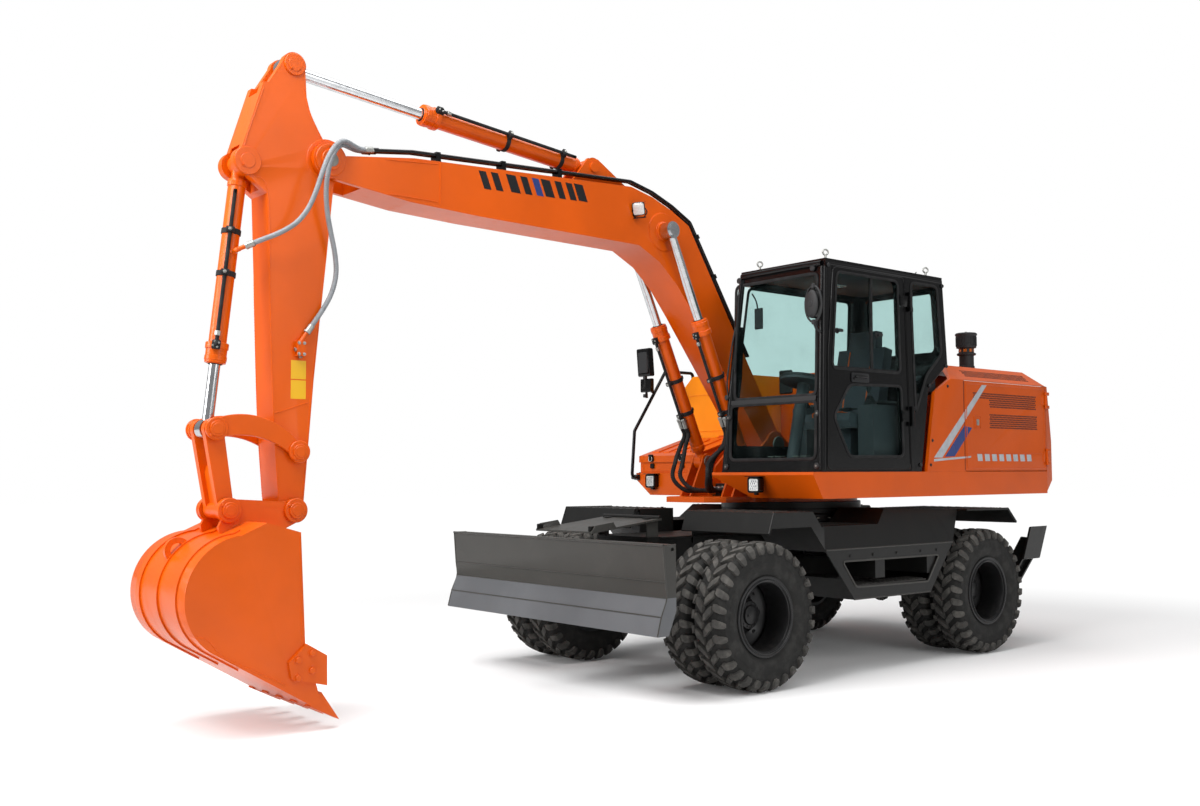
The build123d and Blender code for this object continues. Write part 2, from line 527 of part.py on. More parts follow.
# ---------------------------------------------------------------- upper structure
CAB_DECK_X = 1171
RIGHT_DECK_X = 700
WELL_X = 540                 # the open well in front of the boom's foot
WELL_Y = (-480, 200)
CYLINDER_LUG = (48, 20)      # gap from the cylinder's middle plane, thickness
with BuildPart() as deck:
    plan([(CAB_DECK_X, WELL_Y[1]), (CAB_DECK_X, DECK_HALF), (DOOR_REAR_X, DECK_HALF),
          (DOOR_REAR_X, -DECK_HALF),
          (RIGHT_DECK_X, -DECK_HALF), (RIGHT_DECK_X, WELL_Y[0]), (WELL_X, WELL_Y[0]), (WELL_X, WELL_Y[1])],
         DECK_LOW_Z, DECK_HIGH_Z)
    # the front ends slope back underneath, and their inner lower corners are cut
    slab([(CAB_DECK_X + 1, DECK_HIGH_Z - 20), (CAB_DECK_X + 1, DECK_LOW_Z - 1),
          (CAB_DECK_X - 110, DECK_LOW_Z - 1)],
         WELL_Y[1] - 1, DECK_HALF + 1, Mode.SUBTRACT)
    face_on([(WELL_Y[1] - 1, DECK_HIGH_Z - 30), (WELL_Y[1] - 1, DECK_LOW_Z - 1),
             (WELL_Y[1] + 330, DECK_LOW_Z - 1)],
            760, CAB_DECK_X + 1, Mode.SUBTRACT)
    face_on([(-DECK_HALF - 1, DECK_HIGH_Z - 60), (-DECK_HALF - 1, DECK_LOW_Z - 1),
             (-DECK_HALF + 190, DECK_LOW_Z - 1)],
            420, RIGHT_DECK_X + 1, Mode.SUBTRACT)
    # low nose plate under the well
    plan([(-500, WELL_Y[0] - 20), (660, WELL_Y[0] - 20), (690, WELL_Y[0] + 5), (1010, WELL_Y[0] + 5),
          (1150, WELL_Y[0] + 120), (1150, WELL_Y[1] - 120), (1010, WELL_Y[1] - 5), (720, WELL_Y[1] - 5),
          (690, WELL_Y[1] + 20), (-500, WELL_Y[1] + 20)], NOSE_LOW_Z, DECK_LOW_Z)
    # upper half of the slewing ring
    post((0, 0), RING_RADIUS - 25, RING_SPLIT_Z + FIT, DECK_LOW_Z)
    # boom foot plates, cylinder foot lugs and their pins
    for plate_y in (BOOM_Y - BOOM_HALF - 3 - LUG, BOOM_Y + BOOM_HALF + 3):
        slab([(-330, DECK_HIGH_Z - 50), (125, 1850), (320, 1840), (600, 1600), (700, DECK_LOW_Z),
              (WELL_X - 60, DECK_LOW_Z)],
             plate_y, plate_y + LUG)
        drum(BOOM_FOOT, 115, plate_y, plate_y + LUG)
    drum(BOOM_FOOT, 45, BOOM_Y - BOOM_HALF - 40, BOOM_Y + BOOM_HALF + 40)
    for cylinder_y in (BOOM_Y - BOOM_CYLINDER_Y, BOOM_Y + BOOM_CYLINDER_Y):
        gap, thick = CYLINDER_LUG
        for plate_y in (cylinder_y - gap - thick, cylinder_y + gap):
            slab([(590, DECK_LOW_Z), (620, BOOM_CYLINDER_FOOT[1]), (756, BOOM_CYLINDER_FOOT[1]),
                  (900, DECK_LOW_Z)],
                 plate_y, plate_y + thick)
            drum(BOOM_CYLINDER_FOOT, 68, plate_y, plate_y + thick)
        drum(BOOM_CYLINDER_FOOT, 35, cylinder_y - gap - thick, cylinder_y + gap + thick)
save(deck, "deck")

with BuildPart() as counterweight:
    with BuildSketch(Plane.XY.offset(DECK_LOW_Z)):
        with BuildLine():
            Line((DOOR_REAR_X, -DECK_HALF), (DOOR_REAR_X, DECK_HALF))
            Line((DOOR_REAR_X, DECK_HALF), (TAIL_X, DECK_HALF - 25))
            ThreePointArc((TAIL_X, DECK_HALF - 25), (TAIL_X - TAIL_BULGE, 0), (TAIL_X, -DECK_HALF + 25))
            Line((TAIL_X, -DECK_HALF + 25), (DOOR_REAR_X, -DECK_HALF))
        make_face()
    extrude(amount=HOUSE_FOLD_Z - DECK_LOW_Z)
    # the inner mass between the engine doors, behind the engine
    block((DOOR_REAR_X - 1, -900, DECK_HIGH_Z), (DOOR_REAR_X + 200, 900, HOUSE_FOLD_Z))
    # bevels under the tail and over it
    slab([(TAIL_X - TAIL_BULGE - 1, DECK_LOW_Z - 1), (TAIL_X + 160, DECK_LOW_Z - 1),
          (TAIL_X - 10, DECK_LOW_Z + 125),
          (TAIL_X - TAIL_BULGE - 1, DECK_LOW_Z + 125)], -DECK_HALF - 1, DECK_HALF + 1, Mode.SUBTRACT)
    slab([(TAIL_X - TAIL_BULGE - 1, HOUSE_FOLD_Z + 1), (TAIL_X + 85, HOUSE_FOLD_Z + 1),
          (TAIL_X - 10, HOUSE_FOLD_Z - 560),
          (TAIL_X - TAIL_BULGE - 1, HOUSE_FOLD_Z - 560)], -DECK_HALF - 1, DECK_HALF + 1, Mode.SUBTRACT)
    # fixed halves of the engine doors' hinges
    for side in SIDES.values():
        axis = (PANEL_HINGE[0], side * PANEL_HINGE[1])
        for hinge_z in PANEL_HINGES_Z:
            post(axis, 6, hinge_z - 75, hinge_z + 75)
            for low_z in (hinge_z - 75, hinge_z + 46):
                post(axis, 12, low_z, low_z + 29)
                block((DOOR_REAR_X - 40, min(side * (DECK_HALF - 12), side * (DECK_HALF + 18)), low_z),
                      (DOOR_REAR_X, max(side * (DECK_HALF - 12), side * (DECK_HALF + 18)), low_z + 29))
                block((DOOR_REAR_X - 1, min(side * (DECK_HALF + 5), side * (DECK_HALF + 18)), low_z),
                      (axis[0], max(side * (DECK_HALF + 5), side * (DECK_HALF + 18)), low_z + 29))
save(counterweight, "counterweight")

HOOD_X = (-1960, -860)
HOOD_HALF = 640
HOOD_LAP = 20                # how far the hood laps over the edge of its opening
HOUSE_SKIN = 30
HOOD_HINGE = (HOOD_X[1] + HOOD_LAP + 14, HOUSE_TOP_Z + 14)    # (x, z) of the hood's hinge
HOOD_HINGES_Y = (-450, 450)
HOUSE_LEFT_X = -735          # front of the top behind the cab
BULKHEAD_Y = 150
EAVE_IN = HOUSE_SLOPE + HOUSE_SKIN * 0.4


def both(half):
    """A front outline of (y, z) corners on the left, closed by its mirror image on the right."""
    return half + [(-y, z) for y, z in reversed(half)]


with BuildPart() as house_frame:
    # top with its bevelled eaves
    face_on([(DECK_HALF, HOUSE_FOLD_Z), (DECK_HALF - HOUSE_SLOPE, HOUSE_TOP_Z),
             (-DECK_HALF + HOUSE_SLOPE, HOUSE_TOP_Z),
             (-DECK_HALF, HOUSE_FOLD_Z), (-DECK_HALF + HOUSE_SKIN, HOUSE_FOLD_Z),
             (-DECK_HALF + EAVE_IN, HOUSE_TOP_Z - HOUSE_SKIN),
             (DECK_HALF - EAVE_IN, HOUSE_TOP_Z - HOUSE_SKIN),
             (DECK_HALF - HOUSE_SKIN, HOUSE_FOLD_Z)], DOOR_REAR_X, HOUSE_FRONT_X)
    slab([(DOOR_REAR_X - 1, HOUSE_FOLD_Z - 1), (DOOR_REAR_X, HOUSE_FOLD_Z - 1),
          (DOOR_REAR_X + 130, HOUSE_TOP_Z + 1),
          (DOOR_REAR_X - 1, HOUSE_TOP_Z + 1)], -DECK_HALF - 1, DECK_HALF + 1, Mode.SUBTRACT)
    slab([(HOUSE_LEFT_X, HOUSE_TOP_Z + 1), (HOUSE_LEFT_X, HOUSE_TOP_Z - 10), (-600, HOUSE_FOLD_Z - 1),
          (HOUSE_FRONT_X + 1, HOUSE_FOLD_Z - 1), (HOUSE_FRONT_X + 1, HOUSE_TOP_Z + 1)],
         BULKHEAD_Y, DECK_HALF + 1, Mode.SUBTRACT)
    block((HOOD_X[0], -HOOD_HALF, HOUSE_TOP_Z - 60), (HOOD_X[1], HOOD_HALF, HOUSE_TOP_Z + 1), Mode.SUBTRACT)
    # bulkheads in front of the engine
    block((HOUSE_FRONT_X - 14, -590, DECK_HIGH_Z), (HOUSE_FRONT_X, BULKHEAD_Y, HOUSE_TOP_Z - HOUSE_SKIN))
    block((HOUSE_LEFT_X - 14, BULKHEAD_Y, DECK_HIGH_Z),
          (HOUSE_LEFT_X, DECK_HALF - HOUSE_SKIN, HOUSE_FOLD_Z + 20))
    block((HOUSE_LEFT_X - 14, BULKHEAD_Y - 14, DECK_HIGH_Z),
          (HOUSE_FRONT_X, BULKHEAD_Y, HOUSE_TOP_Z - HOUSE_SKIN))
    # left panel in front of the door, stepped behind the cab
    slab([(-250, DECK_HIGH_Z), (-378, 2200), (-600, HOUSE_FOLD_Z), (DOOR_FRONT_X, HOUSE_FOLD_Z),
          (DOOR_FRONT_X, DECK_HIGH_Z)], DECK_HALF - HOUSE_SKIN, DECK_HALF)
    slab(rectangle(DOOR_FRONT_X, HOUSE_FRONT_X, DECK_HIGH_Z, HOUSE_FOLD_Z), -DECK_HALF,
         -DECK_HALF + HOUSE_SKIN)
    # partition that closes the space behind the right door's front edge
    block((DOOR_FRONT_X + 20, -DECK_HALF + HOUSE_SKIN, DECK_HIGH_Z),
          (DOOR_FRONT_X + 34, -590, HOUSE_FOLD_Z + 20))
    # fixed halves of the hood's hinges
    for hinge_y in HOOD_HINGES_Y:
        rod(at_y(HOOD_HINGE, hinge_y - 75), at_y(HOOD_HINGE, hinge_y + 75), 6)
        for low_y in (hinge_y - 75, hinge_y + 46):
            drum(HOOD_HINGE, 12, low_y, low_y + 29)
            block((HOOD_HINGE[0] - 10, low_y, HOUSE_TOP_Z - 1),
                  (HOOD_HINGE[0] + 26, low_y + 29, HOOD_HINGE[1]))
save(house_frame, "house_frame")

with BuildPart() as engine_block:
    block((-1850, -400, DECK_HIGH_Z), (-1150, 400, 2250))
save(engine_block, "engine_block")

for name, side in SIDES.items():
    with BuildPart() as engine_door:
        low_y, high_y = sorted((side * (DECK_HALF - 29), side * DECK_HALF))
        slab(rectangle(DOOR_REAR_X + DOOR_GAP, DOOR_FRONT_X - DOOR_GAP, DECK_HIGH_Z + DOOR_GAP,
                       HOUSE_FOLD_Z - DOOR_GAP),
             low_y, high_y)
        low_y, high_y = sorted((side * (DECK_HALF - 30), side * (DECK_HALF - 5)))
        slab(rectangle(DOOR_REAR_X + 60, DOOR_FRONT_X - 60, DECK_HIGH_Z + 60, HOUSE_FOLD_Z - 60),
             low_y, high_y, Mode.SUBTRACT)
        # hinge barrels on the rear edge
        axis = (PANEL_HINGE[0], side * PANEL_HINGE[1])
        for hinge_z in PANEL_HINGES_Z:
            post(axis, 12, hinge_z - 45, hinge_z + 45)
            block((axis[0], min(side * (DECK_HALF - 10), side * (DECK_HALF + 6)), hinge_z - 45),
                  (axis[0] + 50, max(side * (DECK_HALF - 10), side * (DECK_HALF + 6)), hinge_z + 45))
            post(axis, 6 + FIT, hinge_z - 45, hinge_z + 45, Mode.SUBTRACT)
    save(engine_door, f"engine_door_{name}")

with BuildPart() as engine_hood:
    block((HOOD_X[0] - HOOD_LAP, -HOOD_HALF - HOOD_LAP, HOUSE_TOP_Z + FIT),
          (HOOD_X[1] + HOOD_LAP, HOOD_HALF + HOOD_LAP, HOUSE_TOP_Z + 42))
    block((HOOD_X[0], -HOOD_HALF, HOUSE_TOP_Z), (HOOD_X[1], HOOD_HALF, HOUSE_TOP_Z + 30), Mode.SUBTRACT)
    for hinge_y in HOOD_HINGES_Y:
        block((HOOD_X[1] + HOOD_LAP - 1, hinge_y - 45, HOOD_HINGE[1] - 6),
              (HOOD_HINGE[0], hinge_y + 45, HOOD_HINGE[1] + 12))
        drum(HOOD_HINGE, 12, hinge_y - 45, hinge_y + 45)
        drum(HOOD_HINGE, 6 + FIT, hinge_y - 45, hinge_y + 45, Mode.SUBTRACT)
save(engine_hood, "engine_hood")

LID_HINGE = (TANK_FRONT_X + 16, 1878)     # (x, z) of the toolbox lid's hinge, on the tank
LID_HINGES_Y = (-1080, -700)
with BuildPart() as tank:
    face_on([(-DECK_HALF, DECK_HIGH_Z), (-DECK_HALF, HOUSE_FOLD_Z), (-DECK_HALF + HOUSE_SLOPE, HOUSE_TOP_Z),
             (-590, HOUSE_TOP_Z), (-590, DECK_HIGH_Z)], HOUSE_FRONT_X, TANK_FRONT_X)
    post((-100, -900), 55, HOUSE_TOP_Z, HOUSE_TOP_Z + 35)
    for hinge_y in LID_HINGES_Y:
        rod(at_y(LID_HINGE, hinge_y - 60), at_y(LID_HINGE, hinge_y + 60), 5)
        for low_y in (hinge_y - 60, hinge_y + 37):
            block((TANK_FRONT_X - 1, low_y, LID_HINGE[1] - 9), (LID_HINGE[0], low_y + 23, LID_HINGE[1] + 9))
            drum(LID_HINGE, 10, low_y, low_y + 23)
save(tank, "tank")

BOX_Y = (-1200, -490)
LID_REAR = (TANK_FRONT_X + 14, 1853)      # underside of the lid
LID_FRONT = (RIGHT_DECK_X - 5, 1685)
LID_THICK = 15


def under_lid(x):
    """Height of the lid's underside at x."""
    return LID_REAR[1] + (x - LID_REAR[0]) * (LID_FRONT[1] - LID_REAR[1]) / (LID_FRONT[0] - LID_REAR[0])


with BuildPart() as toolbox:
    slab([(TANK_FRONT_X, DECK_HIGH_Z), (RIGHT_DECK_X - 12, DECK_HIGH_Z),
          (RIGHT_DECK_X - 12, under_lid(RIGHT_DECK_X - 12) - FIT),
          (TANK_FRONT_X, under_lid(TANK_FRONT_X) - FIT)], *BOX_Y)
    slab([(TANK_FRONT_X + SKIN, DECK_HIGH_Z + SKIN), (RIGHT_DECK_X - 17, DECK_HIGH_Z + SKIN),
          (RIGHT_DECK_X - 17, 1700),
          (TANK_FRONT_X + SKIN, 1880)], BOX_Y[0] + SKIN, BOX_Y[1] - SKIN, Mode.SUBTRACT)
save(toolbox, "toolbox")
with BuildPart() as toolbox_lid:
    slab([(LID_REAR[0], LID_REAR[1] + LID_THICK), (RIGHT_DECK_X, under_lid(RIGHT_DECK_X) + LID_THICK),
          (RIGHT_DECK_X, 1640), (LID_FRONT[0], 1640), LID_FRONT, LID_REAR], BOX_Y[0] - 4, BOX_Y[1] + 4)
    rib_ends = (TANK_FRONT_X + 90, RIGHT_DECK_X - 90)
    for rib_y in (-1130, -990, -850, -710):
        slab([(rib_ends[0], under_lid(rib_ends[0]) + 5),
              (rib_ends[0] + 12, under_lid(rib_ends[0]) + LID_THICK + 8),
              (rib_ends[1] - 12, under_lid(rib_ends[1]) + LID_THICK + 14),
              (rib_ends[1], under_lid(rib_ends[1]) + 5)],
             rib_y, rib_y + 80)
    for hinge_y in LID_HINGES_Y:
        block((LID_HINGE[0] - 2, hinge_y - 36, LID_REAR[1] + 4),
              (LID_HINGE[0] + 9, hinge_y + 36, LID_HINGE[1]))
        drum(LID_HINGE, 10, hinge_y - 36, hinge_y + 36)
        drum(LID_HINGE, 5 + FIT, hinge_y - 37, hinge_y + 37, Mode.SUBTRACT)
save(toolbox_lid, "toolbox_lid")

# ---------------------------------------------------------------- cab
CAB_REAR = [(-208, CAB_FLOOR_Z), (-325, 2235), (-600, 2440), (-548, CAB_TOP_Z)]
CAB_FRONT = [(969, CAB_TOP_Z), (1029, CAB_FLOOR_Z)]
CAB_OUTLINE = CAB_REAR + CAB_FRONT
CAB_DOOR = [(-70, CAB_FLOOR_Z + 15), (-18, CAB_TOP_Z - 22), (886, CAB_TOP_Z - 22), (962, 2400),
            (985, CAB_FLOOR_Z + 15)]
DOOR_HINGES_Z = (1990, 2918)
# windows cut through each wall: outline of (x, z) in the sides, (y, z) in the front and back
WINDOW_EASE = 55             # corner radius of every window
QUARTER_WINDOW = [(-142, 2010), (-102, 3085), (-470, 3085), (-520, 2520), (-300, 2330)]
RIGHT_WINDOW = [(-250, 2290), (-480, 2500), (-440, 3060), (860, 3060), (930, 2100), (930, 1750), (60, 1750)]
FRONT_WINDOW = rectangle(300, 1150, 2125, 3060)
FRONT_LOW_WINDOW = rectangle(262, 1150, 1640, 2085)
REAR_WINDOW = rectangle(450, 1130, 2540, 3060)
DOOR_WINDOW = [(52, 2330), (68, 3075), (835, 3075), (905, 2330)]
DOOR_LOW_WINDOW = [(30, 1665), (45, 2230), (700, 2215), (895, 1965), (715, 1660)]


def front_x(z):
    """Where the cab's leaning front is at height z."""
    return CAB_FRONT[1][0] - (CAB_FRONT[1][0] - CAB_FRONT[0][0]) * (z - CAB_FLOOR_Z) / (CAB_TOP_Z
                                                                                        - CAB_FLOOR_Z)


with BuildPart() as cab_room:
    slab([(-208 + CAB_WALL, CAB_FLOOR_Z + 30), (-325 + CAB_WALL, 2262), (-600 + CAB_WALL, 2468),
          (-548 + CAB_WALL, CAB_TOP_Z - 40), (969 - CAB_WALL, CAB_TOP_Z - 40),
          (1029 - CAB_WALL, CAB_FLOOR_Z + 30)],
         CAB_RIGHT_Y + CAB_WALL, CAB_LEFT_Y - CAB_WALL)
    face_on([(CAB_RIGHT_Y + CAB_WALL - 1, CAB_FLOOR_Z), (CAB_RIGHT_TOP_Y + CAB_WALL, CAB_TOP_Z + 1),
             (CAB_RIGHT_Y + CAB_WALL - 1, CAB_TOP_Z + 1)], -700, 1100, Mode.SUBTRACT)

LAMP_SIZE = 120
with BuildPart() as cab_shell:
    slab(CAB_OUTLINE, CAB_RIGHT_Y, CAB_LEFT_Y)
    # the right wall leans in towards the roof
    face_on([(CAB_RIGHT_Y - 1, CAB_FLOOR_Z), (CAB_RIGHT_TOP_Y, CAB_TOP_Z + 1),
             (CAB_RIGHT_Y - 1, CAB_TOP_Z + 1)],
            -700, 1100, Mode.SUBTRACT)
    add(cab_room.part, mode=Mode.SUBTRACT)
    slab(QUARTER_WINDOW, CAB_LEFT_Y - CAB_WALL - 1, CAB_LEFT_Y + 1, Mode.SUBTRACT, WINDOW_EASE)
    slab(RIGHT_WINDOW, CAB_RIGHT_Y - 1, 500, Mode.SUBTRACT, WINDOW_EASE)
    for window in (FRONT_WINDOW, FRONT_LOW_WINDOW):
        face_on(window, 800, 1100, Mode.SUBTRACT, WINDOW_EASE)
    face_on(REAR_WINDOW, -700, -400, Mode.SUBTRACT, WINDOW_EASE)
    # doorway, a little larger than the door
    slab([(-76, CAB_FLOOR_Z + 9), (-24, CAB_TOP_Z - 16), (891, CAB_TOP_Z - 16), (968, 2402),
          (991, CAB_FLOOR_Z + 9)],
         CAB_LEFT_Y - CAB_WALL - 1, CAB_LEFT_Y + 1, Mode.SUBTRACT)
    # roof with its raised middle
    plan([(-545, CAB_RIGHT_TOP_Y + 8), (965, CAB_RIGHT_TOP_Y + 8), (965, CAB_LEFT_Y), (-545, CAB_LEFT_Y)],
         CAB_TOP_Z, CAB_TOP_Z + 25)
    plan([(-480, CAB_RIGHT_TOP_Y + 90), (880, CAB_RIGHT_TOP_Y + 90), (880, CAB_LEFT_Y - 80),
          (-480, CAB_LEFT_Y - 80)],
         CAB_TOP_Z + 25, ROOF_TOP_Z)
    # fixed halves of the door's hinges
    for hinge_z in DOOR_HINGES_Z:
        post(DOOR_HINGE, 8, hinge_z - 80, hinge_z + 80)
        for low_z in (hinge_z - 80, hinge_z + 46):
            post(DOOR_HINGE, 16, low_z, low_z + 34)
            block((DOOR_HINGE[0] - 22, CAB_LEFT_Y - 1, low_z), (DOOR_HINGE[0], CAB_LEFT_Y + 34, low_z + 34))
save(cab_shell, "cab_shell")

with BuildPart() as deck_lamps:
    for (low_x, low_y, low_z) in ((CAB_DECK_X - 7.7, 629, 1388), (RIGHT_DECK_X, -1060, 1412)):
        face_on(rectangle(low_y, low_y + LAMP_SIZE, low_z, low_z + LAMP_SIZE), low_x, low_x + 44, ease=20)
        face_on(rectangle(low_y + 9, low_y + LAMP_SIZE - 9, low_z + 9, low_z + LAMP_SIZE - 9), low_x + 40,
                low_x + 50, ease=14)
save(deck_lamps, "deck_lamps")

with BuildPart() as cab_door:
    slab(CAB_DOOR, CAB_LEFT_Y - CAB_WALL, CAB_LEFT_Y)
    slab(DOOR_WINDOW, CAB_LEFT_Y - CAB_WALL, CAB_LEFT_Y, Mode.SUBTRACT, WINDOW_EASE)
    slab(DOOR_LOW_WINDOW, CAB_LEFT_Y - CAB_WALL, CAB_LEFT_Y, Mode.SUBTRACT, WINDOW_EASE)
    for hinge_z in DOOR_HINGES_Z:
        block((-10, CAB_LEFT_Y - 1, hinge_z - 45), (60, CAB_LEFT_Y + 14, hinge_z + 45))
        block((DOOR_HINGE[0], CAB_LEFT_Y + FREE, hinge_z - 45), (60, CAB_LEFT_Y + 18, hinge_z + 45))
        post(DOOR_HINGE, 16, hinge_z - 45, hinge_z + 45)
        post(DOOR_HINGE, 8 + FIT, hinge_z - 45, hinge_z + 45, Mode.SUBTRACT)
save(cab_door, "cab_door")
with BuildPart() as cab_door_glass:
    slab(DOOR_WINDOW, CAB_LEFT_Y - 26, CAB_LEFT_Y - 26 + GLASS, ease=WINDOW_EASE)
    slab(DOOR_LOW_WINDOW, CAB_LEFT_Y - 26, CAB_LEFT_Y - 26 + GLASS, ease=WINDOW_EASE)
save(cab_door_glass, "cab_door_glass")

with BuildPart() as cab_glass:
    slab(QUARTER_WINDOW, CAB_LEFT_Y - 26, CAB_LEFT_Y - 26 + GLASS, ease=WINDOW_EASE)
    # panes of the leaning front: it falls back from 1029 at the floor to 969 at the roof
    for window in (FRONT_WINDOW, FRONT_LOW_WINDOW):
        (low_y, low_z), (high_y, high_z) = window[0], window[2]
        low_x, high_x = front_x(low_z) - 20, front_x(high_z) - 20
        with BuildPart(mode=Mode.PRIVATE) as pane:
            slab([(low_x, low_z), (high_x, high_z), (high_x - GLASS, high_z), (low_x - GLASS, low_z)], low_y,
                 high_y)
            face_on(window, 800, 1100, Mode.INTERSECT, WINDOW_EASE)
        add(pane.part)
    (low_y, low_z), (high_y, high_z) = REAR_WINDOW[0], REAR_WINDOW[2]
    with BuildPart(mode=Mode.PRIVATE) as pane:
        slab([(-582, low_z), (-582 + GLASS, low_z), (-544 + GLASS, high_z), (-544, high_z)], low_y, high_y)
        face_on(REAR_WINDOW, -700, -400, Mode.INTERSECT, WINDOW_EASE)
    add(pane.part)
save(cab_glass, "cab_glass")
with BuildPart() as cab_right_glass:
    offset_y = 16
    face_on([(CAB_RIGHT_Y + offset_y, CAB_FLOOR_Z), (CAB_RIGHT_TOP_Y + offset_y, CAB_TOP_Z),
             (CAB_RIGHT_TOP_Y + offset_y + GLASS, CAB_TOP_Z), (CAB_RIGHT_Y + offset_y + GLASS, CAB_FLOOR_Z)],
            -700, 1100)
    slab(RIGHT_WINDOW, CAB_RIGHT_Y - 1, 500, Mode.INTERSECT, WINDOW_EASE)
save(cab_right_glass, "cab_right_glass")

SEAT_Y = 715
with BuildPart() as cab_seat:
    block((-60, SEAT_Y - 160, CAB_FLOOR_Z + 30), (260, SEAT_Y + 160, 1900))
    slab([(-90, 1900), (-90, 1985), (380, 2020), (400, 1960), (360, 1900)], SEAT_Y - 250, SEAT_Y + 250)
    slab([(-90, 1960), (-210, 2560), (-110, 2580), (30, 1985)], SEAT_Y - 240, SEAT_Y + 240)
    slab([(-205, 2565), (-215, 2720), (-135, 2725), (-115, 2575)], SEAT_Y - 140, SEAT_Y + 140)
save(cab_seat, "cab_seat")
CONSOLE_Y = 340              # from the seat's middle plane to an armrest console
with BuildPart() as cab_controls:
    for console_y in (SEAT_Y - CONSOLE_Y, SEAT_Y + CONSOLE_Y):
        block((-100, console_y - 75, CAB_FLOOR_Z + 30), (300, console_y + 75, 2080))
        rod((230, console_y, 2075), (250, console_y, 2210), 14)
    # steering column, leaning back to the operator
    block((730, SEAT_Y - 75, CAB_FLOOR_Z + 30), (870, SEAT_Y + 75, CAB_FLOOR_Z + 90))
    rod((796, SEAT_Y, CAB_FLOOR_Z + 60), (640, SEAT_Y, 2250), 50)
    rod((640, SEAT_Y, 2250), (632, SEAT_Y, 2280), 190)
save(cab_controls, "cab_controls")

PRE_CLEANER = (-1380, 900)
with BuildPart() as pre_cleaner:
    post(PRE_CLEANER, 64, HOUSE_TOP_Z, 2700)
    post(PRE_CLEANER, 84, 2660, 2780)
save(pre_cleaner, "pre_cleaner")

RAIL_Y = -DECK_HALF + 19       # middle plane of the right-hand rail
MIRROR_FACE_X = 1085
with BuildPart() as mirrors:
    # right-hand rail from the deck's front corner, with its mirrors
    pipe([(RIGHT_DECK_X, RAIL_Y, 1505), (770, RAIL_Y, 1505), (735, RAIL_Y, 1930), (340, RAIL_Y, 2500),
          (-20, RAIL_Y, 2500),
          (-20, RAIL_Y, 2400), (-20, RAIL_Y + 40, 2400)], 15, 36)
    rod((482, RAIL_Y, 2290), (590, RAIL_Y, 2330), 12)
    slab([(560, 2440), (620, 2440), (640, 2700), (580, 2700)], RAIL_Y - 74, RAIL_Y + 86, ease=18)
    slab([(560, 2294), (600, 2294), (600, 2420), (560, 2420)], RAIL_Y - 64, RAIL_Y + 76, ease=12)
    rod((580, RAIL_Y, 2240), (600, RAIL_Y, 2460), 12)
    # oval mirror on an arm from the cab's front left post
    rod((front_x(2870) + 1, CAB_LEFT_Y - 30, 2870), (MIRROR_FACE_X + 10, CAB_LEFT_Y - 30, 2870), 11)
    with BuildSketch(Plane.YZ.offset(MIRROR_FACE_X)):
        with Locations((CAB_LEFT_Y - 10, 2800)):
            Ellipse(62, 108)
    extrude(amount=34)
save(mirrors, "mirrors")

# ---------------------------------------------------------------- boom, arm and bucket
BOOM_TOP = [(4338, 3623), (3828, 3695), (1851, 3801), (1628, 3750), (1419, 3670), (1226, 3570), (785, 2879)]
BOOM_BOTTOM = [(4426, 3457), (3844, 3387), (3287, 3366), (1775, 3344), (1551, 3232), (1361, 3065),
               (1190, 2859)]
BOOM_BACK = (130, 1830)       # where the boom's back begins over its foot
FORK_X = 4215                # where the boom's tip forks for the arm
BOOM_BOSS = 30               # how far the rod pins' bosses stand out of the boom
EAR_GAP = 70                 # gap from the middle plane to a cylinder bracket's ear
with BuildPart() as boom:
    slab(BOOM_TOP + [BOOM_BACK, (300, 1710)] + BOOM_BOTTOM[::-1], BOOM_Y - BOOM_HALF, BOOM_Y + BOOM_HALF)
    drum(BOOM_FOOT, 100, BOOM_Y - BOOM_HALF, BOOM_Y + BOOM_HALF)
    drum(BOOM_FOOT, 45 + FIT, BOOM_Y - BOOM_HALF, BOOM_Y + BOOM_HALF, Mode.SUBTRACT)
    drum(BOOM_TIP, 118, BOOM_Y - BOOM_HALF, BOOM_Y + BOOM_HALF)
    block((FORK_X, BOOM_Y - ARM_HALF - FREE, 3200), (4700, BOOM_Y + ARM_HALF + FREE, 3900), Mode.SUBTRACT)
    drum(BOOM_TIP, 45, BOOM_Y - BOOM_HALF - 20, BOOM_Y + BOOM_HALF + 20)
    for side in SIDES.values():
        # reinforcement disc and boss for the boom cylinder's rod
        drum(BOOM_ROD_PIN, 150, *sorted((BOOM_Y + side * BOOM_HALF, BOOM_Y + side * (BOOM_HALF + 8))))
        drum(BOOM_ROD_PIN, 62, *sorted((BOOM_Y + side * BOOM_HALF, BOOM_Y + side * (BOOM_HALF + BOOM_BOSS))))
        # ears of the arm cylinder's foot
        low_y, high_y = sorted((BOOM_Y + side * EAR_GAP, BOOM_Y + side * (EAR_GAP + LUG)))
        slab([(1780, 3770), (2140, 3985), (2240, 3980), (2400, 3770)], low_y, high_y)
        drum(ARM_CYLINDER_FOOT, 78, low_y, high_y)
    drum(ARM_CYLINDER_FOOT, 38, BOOM_Y - EAR_GAP - LUG - 12, BOOM_Y + EAR_GAP + LUG + 12)
save(boom, "boom")

# last runs of the hoses from the boom's pipes, which end at a port on the bucket cylinder and at the
# arm's block
CYLINDER_HOSE_END = [(4970, 26, 2970), (5012, -6, 2948)]
BLOCK_HOSE_END = [(4560, 2, 2500), (4600, -3, 2440)]
PIPE_LIFT = 47               # from the boom's top plate to a pipe's middle
PIPE_RADIUS = 13
PIPE_ENDS_Y = (-6, -46)      # at the boom's tip, where the hoses begin
PIPE_END_X = 4130
PIPE_START = toward(BOOM_BACK, BOOM_TOP[-1], 800)


